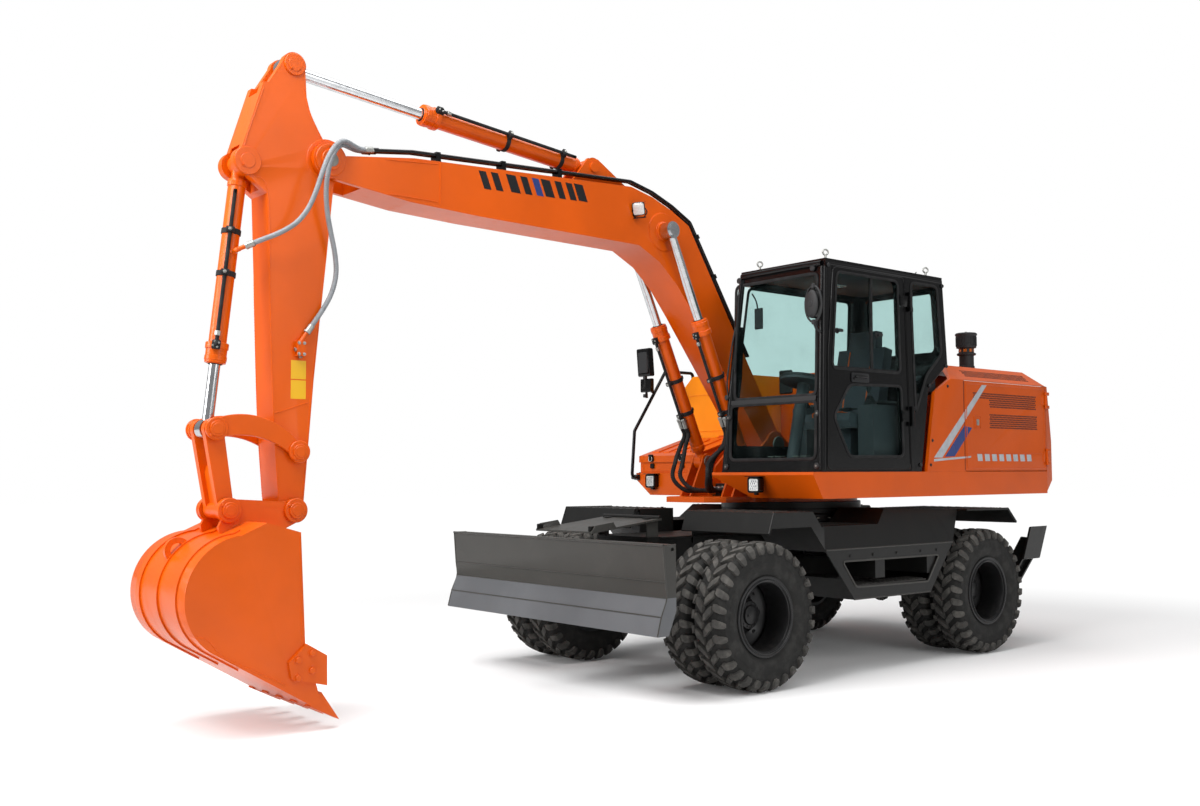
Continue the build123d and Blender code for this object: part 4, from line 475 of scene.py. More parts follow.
@dataclass(frozen=True)
class Cloth:
    """Woven seat cloth on the piece's own place: two crossing sets of threads."""

    name: str
    colour: str = "24262B"
    thread: str = "4B4F57"
    pitch: float = 420.0

    def make(self) -> bpy.types.Material:
        """Build the material.

        Returns:
            The material.
        """
        graph = Graph(self.name)
        across = graph.math("SINE", graph.along(1) * self.pitch * TAU * 0.5)
        down = graph.math("SINE", (graph.along(2) + graph.along(0)) * self.pitch * TAU * 0.5)
        weave = across * down * 0.5 + 0.5
        tone = graph.mix(weave * 0.7 + graph.noise(30.0) * 0.2, linear(self.colour), linear(self.thread))
        graph.feed(Base_Color=tone, Roughness=0.95, Sheen_Weight=0.3)
        graph.relief(weave, 0.0006, 0.8)
        return graph.material


@dataclass(frozen=True)
class Lens:
    """Clear ribbed lamp glass over a bright reflector."""

    name: str
    colour: str = "F2F4F2"
    ribs: float = 90.0

    def make(self) -> bpy.types.Material:
        """Build the material.

        Returns:
            The material.
        """
        graph = Graph(self.name)
        wave = graph.math("SINE", graph.along(1) * self.ribs * TAU) * 0.5 + 0.5
        cross = graph.math("SINE", graph.along(2) * self.ribs * TAU) * 0.5 + 0.5
        graph.feed(Base_Color=graph.mix(wave * cross, shaded(linear(self.colour), 0.62),
                                        linear(self.colour)), Roughness=0.12, Metallic=0.35,
                   Coat_Weight=1.0, Coat_Roughness=0.04)
        graph.relief(wave + cross, 0.0016, 0.5)
        return graph.material


@dataclass(frozen=True)
class TreadPlate:
    """Steel step plate with raised slanting bars in alternate squares."""

    name: str
    colour: str = "2F2E2C"
    pitch: float = 26.0

    def make(self) -> bpy.types.Material:
        """Build the material: in each square a bar, thin across one diagonal, turned in every other one.

        Returns:
            The material.
        """
        graph = Graph(self.name)
        x, y = graph.along(0) * self.pitch, graph.along(1) * self.pitch
        column, row = graph.math("FLOOR", x), graph.math("FLOOR", y)
        turn = graph.math("FLOORED_MODULO", column + row, 2.0) * 2.0 - 1.0
        u, v = x - column - 0.5, y - row - 0.5
        along, across = u + v * turn, u * turn * -1.0 + v
        bar = (1.0 - graph.math("ABSOLUTE", across).rise(0.06, 0.16)) * (
            1.0 - graph.math("ABSOLUTE", along).rise(0.52, 0.68))
        up = graph.facing_up().rise(0.6, 0.9)
        bar = bar * up
        rub = graph.noise(12.0, 5.0)
        tone = graph.mix(bar * 0.55 + rub * 0.3, linear(self.colour), linear("6A6865"))
        graph.feed(Base_Color=tone, Roughness=0.55 - bar * 0.15 + rub * 0.1, Metallic=0.25)
        graph.relief(bar + rub * 0.12, 0.003, 1.0)
        return graph.material


FINISHES = {
    "orange": Paint("enamel_orange", "DC5900", 0.34, 0.1, dust=0.006),
    "house_orange": Paint("enamel_house_orange", "D35504", 0.34, 0.12, dust=0.006),
    "bright_orange": Paint("enamel_bright_orange", "F7900E", 0.34, 0.1, dust=0.006),
    "black": Paint("enamel_black", "050506", 0.2, 0.12, dust=0.004, dust_colour="6D6A66"),
    "charcoal": Paint("enamel_charcoal", "191918", 0.4, 0.06, dust=0.018, dust_colour="6E665C"),
    "blade": Paint("enamel_blade", "3D3C39", 0.36, 0.15, dust=0.05, dust_colour="7A756E"),
    "blade_banded": Paint(
        "enamel_blade_banded", "3D3C39", 0.36, 0.15, dust=0.05, dust_colour="7A756E", low_z=0.725,
        low_colour="66686B"),
    "rim": Paint("enamel_rim", "1B1B1C", 0.42, 0.2, dust=0.05, dust_colour="5D5852"),
    "pale": Paint("enamel_pale", "8C8E8E", 0.4, 0.2, dust=0.05),
    "tyre": Rubber("tyre_rubber", "1D1D1C", "2E2D2B"),
    # paler rubber and a paler worn tone for the tread blocks than for the carcass: a painted highlight for
    # the light on the tread tops
    "sunlit_tread_rubber": Rubber("sunlit_tread_rubber", "3A3937", "66635E"),
    "seal": Rubber("seal_rubber", "101011", "1E1E1F", 1500.0),
    "hose": Rubber("hose_rubber", "121213", "262627", 1300.0),
    "chrome": Metal("chrome_plate"),
    "steel": Metal("worn_steel", "8B8882", 0.36, 0.25, 300.0, relief=0.00012),
    "zinc": Metal("zinc_plate", "A9AAA6", 0.34, 0.12, 500.0),
    "wrap": Metal("spiral_wrap", "8E9296", 0.5, 0.1, 400.0, 0.0),
    "cast": Cast("cast_metal"),
    "plastic": Plastic("moulded_plastic"),
    # near-black faces for the grille and vent holes are painted shade in place of the dark behind open holes;
    # the same finish colours the dark seam line on the house's side
    "grille": Plastic("grille_hole_shade_and_seam", "0B0B0C", 0.55),
    "interior": Plastic("cab_trim", "34363A", 0.6),
    "glass": Glass("cab_glass_pane"),
    "cloth": Cloth("seat_cloth"),
    "lens": Lens("lamp_lens"),
    "amber": Lens("amber_lens", "F07A12"),
    "tread": TreadPlate("step_plate"),
    "mirror": Metal("mirror_face", "E6EAEC", 0.03, 0.02),
    "decal_silver": Metal("band_silver", "C9CDD2", 0.32, 0.08, 300.0, 0.55),
    "decal_blue": Paint("band_blue", "2B3E7C", 0.3, 0.5, dust=0.01),
    "decal_black": Paint("band_black", "17181A", 0.3, 0.5, dust=0.01),
    "decal_yellow": Paint("plate_yellow", "E8B21C", 0.35, 0.4, dust=0.01),
    "red_lens": Lens("red_lens", "B81410"),
}
MADE: dict[str, bpy.types.Material] = {}


def finish(name: str) -> bpy.types.Material:
    """The material of a finish, built once.

    Args:
        name: key in FINISHES.

    Returns:
        The material.
    """
    if name not in MADE:
        MADE[name] = FINISHES[name].make()
    return MADE[name]


# ---------------------------------------------------------------- surfaces worked out with numpy
@dataclass
class Form:
    """Corners and faces of a mesh; faces are arrays of rows with the same number of corners."""

    points: Array
    faces: list[Array]

    def moved(self, offset: Point | Array) -> "Form":
        """The form shifted by an offset: every point plus the offset."""
        return Form(self.points + np.asarray(offset, float), self.faces)

    def turned(self, axis: Point | Array, angle: float, centre: Point | Array = ORIGIN) -> "Form":
        """The form turned about an axis.

        Args:
            axis: the axis's direction.
            angle: radians, right-handed.
            centre: a point on it.

        Returns:
            The turned form, by the rotation matrix of axis and angle about the centre.
        """
        matrix = np.array(Matrix.Rotation(angle, 3, tuple(float(a) for a in axis)))
        middle = np.asarray(centre, float)
        return Form((self.points - middle) @ matrix.T + middle, self.faces)

    def mirrored(self) -> "Form":
        """The form's mirror image across the plane y = 0, with its faces wound the other way."""
        return Form(self.points * (1, -1, 1), [rows[:, ::-1] for rows in self.faces])

    def copies(self, offsets: Array) -> "Form":
        """One form that repeats this one at each offset: points plus offset, corner numbers raised in step.

        Args:
            offsets: n rows of x, y, z.

        Returns:
            The joined copies.
        """
        offsets = np.asarray(offsets, float).reshape(-1, 3)
        points = (self.points[None] + offsets[:, None]).reshape(-1, 3)
        shift = np.arange(len(offsets))[:, None, None] * len(self.points)
        return Form(points, [(rows[None] + shift).reshape(-1, rows.shape[1]) for rows in self.faces])

    def ring(self, axis: Point, centre: Point | Array, count: int, start: float = 0.0) -> "Form":
        """One form that repeats this one round an axis.

        Args:
            axis: the axis's direction.
            centre: a point on it.
            count: how many, evenly spaced.
            start: angle of the first.

        Returns:
            The joined copies.
        """
        return joined([self.turned(axis, start + TAU * step / count, centre) for step in range(count)])


def joined(forms: list[Form]) -> Form:
    """Put forms into one, each one's corner numbers raised by the corners before it.

    Args:
        forms: the forms.

    Returns:
        The joined form.
    """
    points, faces, before = [], [], 0
    for form in forms:
        points.append(form.points)
        faces += [rows + before for rows in form.faces]
        before += len(form.points)
    return Form(np.concatenate(points), faces)


def skin(grid: Array, round_u: bool = False, round_v: bool = False, ends: bool = False) -> Form:
    """Cover a grid of points with four-cornered faces.

    Args:
        grid: u by v by 3 points.
        round_u: join the last row to the first.
        round_v: join the last column to the first.
        ends: close the first and last rows with one face each.

    Returns:
        The form: corner (i, j) joins (i + 1, j), (i + 1, j + 1) and (i, j + 1).
    """
    rows, columns = grid.shape[:2]
    index = np.arange(rows * columns).reshape(rows, columns)
    i = np.arange(rows if round_u else rows - 1)
    j = np.arange(columns if round_v else columns - 1)
    i, j = np.meshgrid(i, j, indexing="ij")
    di, dj = (i + 1) % rows, (j + 1) % columns
    quads = np.stack([index[i, j], index[di, j], index[di, dj], index[i, dj]], -1).reshape(-1, 4)
    faces = [quads]
    if ends:
        faces += [index[0][None], index[-1][::-1][None]]
    return Form(grid.reshape(-1, 3).astype(float), faces)


def frame_of(axis: Point | Array) -> tuple[Array, Array, Array]:
    """A unit axis and two unit directions square to it.

    Args:
        axis: any direction.

    Returns:
        The axis, a side direction (axis crossed with the world axis it is least along) and axis crossed
        with side.
    """
    along = np.asarray(axis, float) / np.linalg.norm(axis)
    helper = np.eye(3)[np.argmin(np.abs(along))]
    side = np.cross(along, helper)
    side /= np.linalg.norm(side)
    return along, side, np.cross(along, side)


def spokes(angles: Array, side: Array, up: Array) -> Array:
    """Unit directions round an axis: cos t * side + sin t * up for each angle t."""
    return np.cos(angles)[:, None] * side + np.sin(angles)[:, None] * up


def lathe(profile: list[tuple[float, float]], centre: Point | Array, axis: Point | Array,
          count: int = 48) -> Form:
    """Turn a closed profile about an axis.

    Args:
        profile: (distance along the axis, radius) corners.
        centre: where the distance is 0.
        axis: the axis's direction.
        count: steps round.

    Returns:
        Points centre + distance * axis + radius * (cos t * side + sin t * up) for t round the circle.
    """
    along, side, up = frame_of(axis)
    corners = np.asarray(profile, float)
    round_it = spokes(np.arange(count) * TAU / count, side, up)
    grid = np.asarray(centre, float) + corners[:, :1, None] * along + corners[:, 1:2, None] * round_it[None]
    return skin(grid.reshape(len(corners), count, 3), round_u=True, round_v=True)


def disc(centre: Point | Array, axis: Point | Array, radius: float, low: float, high: float,
         ease: float = 0.002, count: int = 32, bore: float = 0.0) -> Form:
    """A round plate, boss or pin with eased edges.

    Args:
        centre: a point on its axis.
        axis: the axis's direction.
        radius: its radius.
        low: where it starts along the axis.
        high: where it ends.
        ease: size of the bevel on its rims.
        count: steps round.
        bore: radius of the hole through it.

    Returns:
        The form, turned from its half section.
    """
    return lathe([(low, bore), (low, radius - ease), (low + ease, radius), (high - ease, radius),
                  (high, radius - ease), (high, bore)], centre, axis, count)


def prism(outline: list[Point] | Array, along: Point | Array) -> Form:
    """Carry a flat outline along a straight line.

    Args:
        outline: its corners in space, in order.
        along: the way and distance it goes.

    Returns:
        Sides with four corners, and the outline itself as a face at each end.
    """
    first = np.asarray(outline, float)
    return skin(np.stack([first, first + np.asarray(along, float)]), round_v=True, ends=True)


def side_plate(outline: list[tuple[float, float]], low_y: float, high_y: float) -> Form:
    """A plate with a side outline of (x, z) corners, from low_y to high_y."""
    return prism([(x, low_y, z) for x, z in outline], (0, high_y - low_y, 0))


def bar(low: Point, high: Point, ease: float = 0.002) -> Form:
    """A box with its twelve edges bevelled.

    Args:
        low: lowest corner.
        high: highest corner.
        ease: size of the bevel.

    Returns:
        Four stacked rectangles, the outer two drawn in by the bevel, with their corners cut.
    """
    (x0, y0, z0), (x1, y1, z1) = low, high
    rings = []
    for z, inset in ((z0, ease), (z0 + ease, 0.0), (z1 - ease, 0.0), (z1, ease)):
        a, b, c, d, e = x0 + inset, x1 - inset, y0 + inset, y1 - inset, ease
        rings.append([(a + e, c, z), (b - e, c, z), (b, c + e, z), (b, d - e, z), (b - e, d, z),
                      (a + e, d, z), (a, d - e, z), (a, c + e, z)])
    return skin(np.array(rings), round_v=True, ends=True)


def smooth_path(points: list[Point] | Array, steps: int = 8) -> Array:
    """A smooth line through points.

    Args:
        points: what it passes through.
        steps: new points for each run.

    Returns:
        The Catmull-Rom line: on each run a cubic whose end slopes are half the gap between the neighbours.
    """
    p = np.asarray(points, float)
    if len(p) < 3:
        return np.linspace(p[0], p[-1], steps + 1)
    p = np.concatenate([[2 * p[0] - p[1]], p, [2 * p[-1] - p[-2]]])
    a, b, c, d = p[:-3, None], p[1:-2, None], p[2:-1, None], p[3:, None]
    t = np.linspace(0, 1, steps, endpoint=False)[None, :, None]
    line = 0.5 * (2 * b + (c - a) * t + (2 * a - 5 * b + 4 * c - d) * t ** 2
                  + (3 * b - a - 3 * c + d) * t ** 3)
    return np.concatenate([line.reshape(-1, 3), p[-2][None]])


def carried_frames(path: Array) -> tuple[Array, Array]:
    """Two directions square to a path, carried along it without twist.

    Args:
        path: n points.

    Returns:
        The side and up directions at each point: each is the last one with its part along the path taken off.
    """
    tangents = np.gradient(path, axis=0)
    tangents /= np.linalg.norm(tangents, axis=1, keepdims=True) + 1e-12
    sides = np.zeros_like(path)
    side = frame_of(tangents[0])[1]
    for i, tangent in enumerate(tangents):
        side = side - tangent * np.dot(side, tangent)
        side /= np.linalg.norm(side)
        sides[i] = side
    return sides, np.cross(tangents, sides)


def tube(path: Array | list[Point], radius: float | Array, count: int) -> Form:
    """A round tube along a path.

    Args:
        path: n points.
        radius: its radius, or one for each point.
        count: steps round.

    Returns:
        Points path + radius * (cos t * side + sin t * up), with a face on each end.
    """
    path = np.asarray(path, float)
    sides, ups = carried_frames(path)
    size = np.broadcast_to(radius, len(path))[:, None, None]
    grid = path[:, None] + size * spokes(np.arange(count) * TAU / count, sides[:, None], ups[:, None])
    return skin(grid, round_v=True, ends=True)


def pipe(points: list[Point], radius: float, count: int, steps: int = 6) -> Form:
    """A round tube on the smooth line through points.

    Args:
        points: what its middle line passes through.
        radius: its radius.
        count: steps round.
        steps: new points for each run of the line.

    Returns:
        The tube.
    """
    return tube(smooth_path(points, steps), radius, count)


def evened(path: Array, pitch: float, share: float, least: int) -> tuple[Array, Array]:
    """Space a path's points evenly.

    Args:
        path: n points.
        pitch: a length.
        share: new points for each pitch.
        least: fewest new points.

    Returns:
        The distance along the path at each new point, and the new points.
    """
    lengths = lengths_along(path)
    even = np.linspace(0, lengths[-1], max(least, int(lengths[-1] / pitch * share)))
    return even, np.stack([np.interp(even, lengths, path[:, k]) for k in range(3)], -1)


def lengths_along(path: Array) -> Array:
    """The distance along a path at each of its points: the sum of the runs before it."""
    return np.concatenate([[0], np.cumsum(np.linalg.norm(np.diff(path, axis=0), axis=1))])


def ribbed_tube(path: Array, radius: float, ridge: float, pitch: float, count: int = 10) -> Form:
    """A hose wrapped in a spiral.

    Args:
        path: n points.
        radius: the hose's radius.
        ridge: how far the wrap stands out.
        pitch: length of one turn.
        count: steps round.

    Returns:
        A tube whose radius rises by ridge * (1 + cos(2 pi length / pitch - t)) / 2, so that the ridge winds.
    """
    even, path = evened(path, pitch, 5, 8)
    sides, ups = carried_frames(path)
    t = np.arange(count) * TAU / count
    size = radius + ridge * (1 + np.cos(TAU * even[:, None] / pitch - t[None])) / 2
    grid = path[:, None] + size[..., None] * spokes(t, sides[:, None], ups[:, None])
    return skin(grid, round_v=True, ends=True)


def bolt(centre: Point | Array, axis: Point | Array, radius: float, height: float,
         washer: bool = True) -> Form:
    """A hexagon head on a washer.

    Args:
        centre: where its seat is.
        axis: the way it points.
        radius: across its corners, halved.
        height: how far it stands out.
        washer: put a washer under it.

    Returns:
        A six-sided prism with its top rim drawn in, on a thin disc.
    """
    head = lathe([(-0.002, 0.0), (-0.002, radius), (height * 0.8, radius), (height, radius * 0.82),
                  (height, 0.0)], centre, axis, 6)
    if not washer:
        return head
    return joined([head, disc(centre, axis, radius * 1.35, -0.002, height * 0.22, 0.0005, 16)])


def bolts_on(centre: Point | Array, axis: Point | Array, circle: float, count: int, radius: float,
             height: float, start: float = 0.0) -> Form:
    """Bolt heads on a circle.

    Args:
        centre: the circle's middle.
        axis: the way they point.
        circle: the circle's radius.
        count: how many.
        radius: a head's size.
        height: a head's height.
        start: angle of the first.

    Returns:
        The joined heads.
    """
    side = frame_of(axis)[1]
    return bolt(np.asarray(centre, float) + side * circle, axis, radius, height).ring(
        tuple(axis), centre, count, start)


def weld(path: Array | list[Point], radius: float) -> Form:
    """A weld seam: a low bead whose radius swells and shrinks every few millimetres.

    Args:
        path: the line it follows.
        radius: its size.

    Returns:
        A tube of radius * (1 + swell * sin(length * waves)).
    """
    swell, waves = 0.18, 700
    even, path = evened(np.asarray(path, float), 0.006, 1, 3)
    return tube(path, radius * (1 + swell * np.sin(even * waves)), 6)


# ---------------------------------------------------------------- pieces
def piece(name: str, forms: Form | list[Form], coat: str, body: str, bevel: float = 0.0,
          replaces: tuple = (), smooth: float = 38.0) -> bpy.types.Object:
    """Make a mesh piece that rides on a body.

    Args:
        name: the piece's name.
        forms: its forms.
        coat: key of its finish.
        body: the body it rides on.
        bevel: width of the bevel on its edges, or 0.
        replaces: solids that it stands for.
        smooth: edges flatter than this many degrees are shaded smooth.

    Returns:
        The object.
    """
    form = joined(forms) if isinstance(forms, list) else forms
    mesh = bpy.data.meshes.new(name)
    totals = np.concatenate([np.full(len(rows), rows.shape[1]) for rows in form.faces])
    mesh.vertices.add(len(form.points))
    mesh.vertices.foreach_set("co", form.points.astype(np.float32).ravel())
    mesh.loops.add(int(totals.sum()))
    mesh.loops.foreach_set("vertex_index",
                           np.concatenate([rows.ravel() for rows in form.faces]).astype(np.int32))
    mesh.polygons.add(len(totals))
    mesh.polygons.foreach_set("loop_start", np.concatenate([[0], np.cumsum(totals)[:-1]]).astype(np.int32))
    mesh.update(calc_edges=True)
    mesh.validate()
    return settled(name, mesh, coat, body, bevel, replaces, smooth)


def in_scene(name: str, data: bpy.types.ID, axes: list[Array] | None = None,
             place: Point = ORIGIN) -> bpy.types.Object:
    """Put an object in the scene.

    Args:
        name: its name.
        data: its mesh, camera or light.
        axes: its own three axes, or none for the world's.
        place: where its origin goes.

    Returns:
        The object.
    """
    made = bpy.data.objects.new(name, data)
    bpy.context.scene.collection.objects.link(made)
    if axes:
        matrix = np.eye(4)
        matrix[:3, :3], matrix[:3, 3] = np.column_stack(axes), place
        made.matrix_world = Matrix(matrix.tolist())
    return made


def settled(name: str, mesh: bpy.types.Mesh, coat: str, body: str, bevel: float, replaces: tuple,
            smooth: float) -> bpy.types.Object:
    """Weld, turn outwards, bevel and place a mesh as a piece.

    Args:
        name: the piece's name.
        mesh: its mesh.
        coat: key of its finish.
        body: the body it rides on.
        bevel: width of the bevel on its edges, or 0.
        replaces: solids that it stands for.
        smooth: edges flatter than this many degrees are shaded smooth.

    Returns:
        The object.
    """
    work = bmesh.new()
    work.from_mesh(mesh)
    bmesh.ops.remove_doubles(work, verts=work.verts, dist=JOIN_DISTANCE)
    bmesh.ops.dissolve_degenerate(work, edges=work.edges, dist=JOIN_DISTANCE)
    bmesh.ops.recalc_face_normals(work, faces=work.faces)
    work.to_mesh(mesh)
    work.free()
    mesh.shade_smooth()
    mesh.set_sharp_from_angle(angle=math.radians(smooth))
    mesh.materials.clear()
    mesh.materials.append(finish(coat))
    made = in_scene(name, mesh)
    if bevel:
        edge = made.modifiers.new("Eased edges", "BEVEL")
        edge.width, edge.segments, edge.limit_method = bevel, BEVEL_STEPS, "ANGLE"
        edge.angle_limit, edge.use_clamp_overlap, edge.harden_normals = math.radians(BEVEL_ANGLE), True, True
    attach(made, body)
    if replaces:
        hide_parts(*replaces)
    LOG.info("%s: %d faces on %s", name, len(mesh.polygons), body)
    return made


SLOTS = {coat: slot for slot, coats in (
    ("orange_paint", ("orange", "house_orange", "bright_orange")),
    ("black_paint", ("black", "rim")),
    ("chassis_grey", ("charcoal", "tread", "pale")),
    ("blade_grey", ("blade", "blade_banded")),
    ("tyre", ("tyre", "sunlit_tread_rubber")),
    ("plastic", ("seal", "plastic", "grille", "interior", "decal_silver", "decal_blue", "decal_black",
                 "decal_yellow")),
    ("hose", ("hose", "wrap")),
    ("chrome", ("chrome", "mirror")),
    ("cast", ("steel", "zinc", "cast")),
    ("glass", ("glass", "lens", "amber", "red_lens")),
    ("seat", ("cloth",)),
) for coat in coats}
BODY_OF = {node: body for body, nodes in frame["record"]["behaviour"]["bodies"].items() for node in nodes}


def eased(node: str, coat: str, width: float) -> bpy.types.Object:
    """Stand a copy of a solid, welded and with eased edges, in for it.

    Args:
        node: the solid's name.
        coat: key of its finish.
        width: width of the bevel.

    Returns:
        The copy.
    """
    mesh = frame["nodes"][node].data.copy()
    work = bmesh.new()
    work.from_mesh(mesh)
    bmesh.ops.remove_doubles(work, verts=work.verts, dist=JOIN_DISTANCE)
    bmesh.ops.dissolve_limit(work, angle_limit=math.radians(1.2), verts=work.verts, edges=work.edges)
    work.to_mesh(mesh)
    work.free()
    return settled(f"{node}_dressed", mesh, coat, BODY_OF[node], width, (node,), 34.0)


def coated(node: str, coat: str) -> bpy.types.Object:
    """Give a solid that stays its finish.

    Args:
        node: the solid's name.
        coat: key of its finish.

    Returns:
        The solid.
    """
    solid = frame["nodes"][node]
    solid.data.materials.clear()
    solid.data.materials.append(finish(coat))
    return solid


# ---------------------------------------------------------------- flat sides to dress
class Facing(Enum):
    """The way a flat side faces: across, up and out."""

    LEFT = ((1.0, 0.0, 0.0), (0.0, 0.0, 1.0), (0.0, 1.0, 0.0))
    RIGHT = ((1.0, 0.0, 0.0), (0.0, 0.0, 1.0), (0.0, -1.0, 0.0))
    AHEAD = ((0.0, 1.0, 0.0), (0.0, 0.0, 1.0), (1.0, 0.0, 0.0))
    BEHIND = ((0.0, 1.0, 0.0), (0.0, 0.0, 1.0), (-1.0, 0.0, 0.0))
    UP = ((1.0, 0.0, 0.0), (0.0, 1.0, 0.0), (0.0, 0.0, 1.0))

    def at(self, place: float) -> "Wall":
        """The flat side that faces this way, at a place on the axis square to it."""
        return Wall(tuple(abs(part) * place for part in self.value[2]), *self.value)


def flank(side: int, y: float) -> "Wall":
    """The flat side at y that faces left (1) or right (-1)."""
    return (Facing.LEFT if side > 0 else Facing.RIGHT).at(y)


def rect(low_u: float, low_v: float, high_u: float, high_v: float) -> list[tuple[float, float]]:
    """The corners of a rectangle, from its lowest one round."""
    return [(low_u, low_v), (high_u, low_v), (high_u, high_v), (low_u, high_v)]


def rounded(outline: list[tuple[float, float]] | Array, reach: float, count: int = 7) -> Array:
    """Round the corners of a closed flat outline.

    Args:
        outline: its corners.
        reach: distance from a corner to where its curve begins.
        count: points in each curve.

    Returns:
        For each corner C the curve (1-t)^2 A + 2t(1-t) C + t^2 B, where A and B lie at the reach from C
        towards its neighbours.
    """
    corners = np.asarray(outline, float)
    back, ahead = np.roll(corners, 1, 0) - corners, np.roll(corners, -1, 0) - corners
    first = corners + back / np.linalg.norm(back, axis=1, keepdims=True) * reach
    last = corners + ahead / np.linalg.norm(ahead, axis=1, keepdims=True) * reach
    t = np.linspace(0, 1, count)[None, :, None]
    curve = (1 - t) ** 2 * first[:, None] + 2 * t * (1 - t) * corners[:, None] + t**2 * last[:, None]
    return curve.reshape(-1, 2)


def clipped(outline: list[tuple[float, float]], low: float, high: float) -> list[tuple[float, float]]:
    """The part of a flat outline between two upright lines.

    Args:
        outline: its corners.
        low: where the first line is.
        high: where the second is.

    Returns:
        The corners inside, and where the outline's edges cross the lines.
    """
    for limit, sign in ((low, 1), (high, -1)):
        kept = []
        for (u0, v0), (u1, v1) in zip(outline, outline[1:] + outline[:1]):
            inside, next_inside = sign * (u0 - limit) >= 0, sign * (u1 - limit) >= 0
            kept += [(u0, v0)] if inside else []
            if inside != next_inside:
                kept.append((limit, v0 + (v1 - v0) * (limit - u0) / (u1 - u0)))
        outline = kept
    return outline


@dataclass(frozen=True)
class Wall:
    """A flat side to dress: a point on it, its directions across and up, and the way it faces."""

    origin: Point
    across: Point
    up: Point
    out: Point

    def place(self, spots: Array | list, lift: float = 0.0) -> Array:
        """Points on the wall.

        Args:
            spots: (u, v) pairs, or one of them.
            lift: how far the points stand off the wall.

        Returns:
            origin + u * across + v * up + lift * out for each pair.
        """
        spots = np.asarray(spots, float)
        return (np.array(self.origin) + spots[..., :1] * np.array(self.across)
                + spots[..., 1:2] * np.array(self.up) + lift * np.array(self.out))

    def sheet(self, outline: list | Array, low: float, high: float, corner: float = 0.0) -> Form:
        """A flat sheet on the wall.

        Args:
            outline: its corners.
            low: height of its back over the wall.
            high: height of its face.
            corner: reach of its rounded corners, or 0.

        Returns:
            The outline placed at low and carried to high.
        """
        loop = rounded(outline, corner) if corner else np.asarray(outline, float)
        return prism(self.place(loop, low), np.array(self.out) * (high - low))

    def gasket(self, outline: list, corner: float, width: float, height: float,
               inset: float = -0.01) -> Form:
        """A soft frame round an opening.

        Args:
            outline: the opening's corners.
            corner: reach of its rounded corners.
            width: the frame's width.
            height: how far it stands out.
            inset: how far its outer edge lies inside the outline.

        Returns:
            A domed section carried round the outline along its inward normals.
        """
        loop = rounded(outline, corner)
        tangent = np.roll(loop, -1, 0) - np.roll(loop, 1, 0)
        inward = np.stack([-tangent[:, 1], tangent[:, 0]], -1)
        inward /= np.maximum(np.linalg.norm(inward, axis=1, keepdims=True), 1e-9)
        area = np.sum(loop[:, 0] * np.roll(loop[:, 1], -1) - np.roll(loop[:, 0], -1) * loop[:, 1])
        inward *= np.sign(area)
        rows = ((0.0, -0.002), (0.0, height * 0.6), (width * 0.2, height), (width * 0.8, height),
                (width, height * 0.55), (width, -0.002))
        grid = np.stack([self.place(loop + inward * (inset + step), lift) for step, lift in rows])
        return skin(grid, round_u=True, round_v=True)

    def holes(self, low: tuple[float, float], high: tuple[float, float], pitch: float, radius: float,
              stretch: float = 1.0, notch: float = 0.0, sides: int = 8, lift: float = 0.0008) -> Form:
        """Rows of round or long holes, staggered, shown by dark sunk faces; in a dark finish these faces are
        painted shade in place of open holes.

        Args:
            low: lower corner of their field.
            high: upper corner.
            pitch: spacing along a row.
            radius: a hole's radius.
            stretch: its length over its height.
            notch: width left out of the field's lower left corner.
            sides: corners of a hole.
            lift: how far its face stands off the wall.

        Returns:
            One flat many-sided plate repeated at each spot of the grid.
        """
        u = np.arange(low[0], high[0], pitch)
        v = np.arange(low[1], high[1], pitch * 0.85)
        grid_u, grid_v = np.meshgrid(u, v)
        grid_u = grid_u + (np.arange(len(v)) % 2)[:, None] * pitch * 0.5
        keep = (grid_u <= high[0]) & ~((grid_u > high[0] - notch) & (grid_v < (low[1] + high[1]) / 2))
        t = np.arange(sides) * TAU / sides + TAU / sides / 2
        one = np.stack([np.cos(t) * radius * stretch, np.sin(t) * radius], -1)
        face = prism(self.place(one, -0.002), np.array(self.out) * (lift + 0.002))
        spots = self.place(np.stack([grid_u[keep], grid_v[keep]], -1)) - np.array(self.origin)
        return face.copies(spots)

    def block(self, low: tuple[float, float], high: tuple[float, float], height: float,
              corner: float = 0.004, back: float = -0.001) -> Form:
        """A plate with rounded corners between two corners."""
        return self.sheet(rect(*low, *high), back, height, corner)

    def bolts(self, spots: list[tuple[float, float]], radius: float, height: float) -> Form:
        """A bolt at each spot."""
        return joined([bolt(self.place(spot), self.out, radius, height) for spot in spots])

    def disc(self, spot: tuple[float, float], lift: float, *shape: float) -> Form:
        """A disc at a spot, lifted off the wall; its shape is what disc takes from the radius on."""
        return disc(self.place(spot, lift), self.out, *shape)


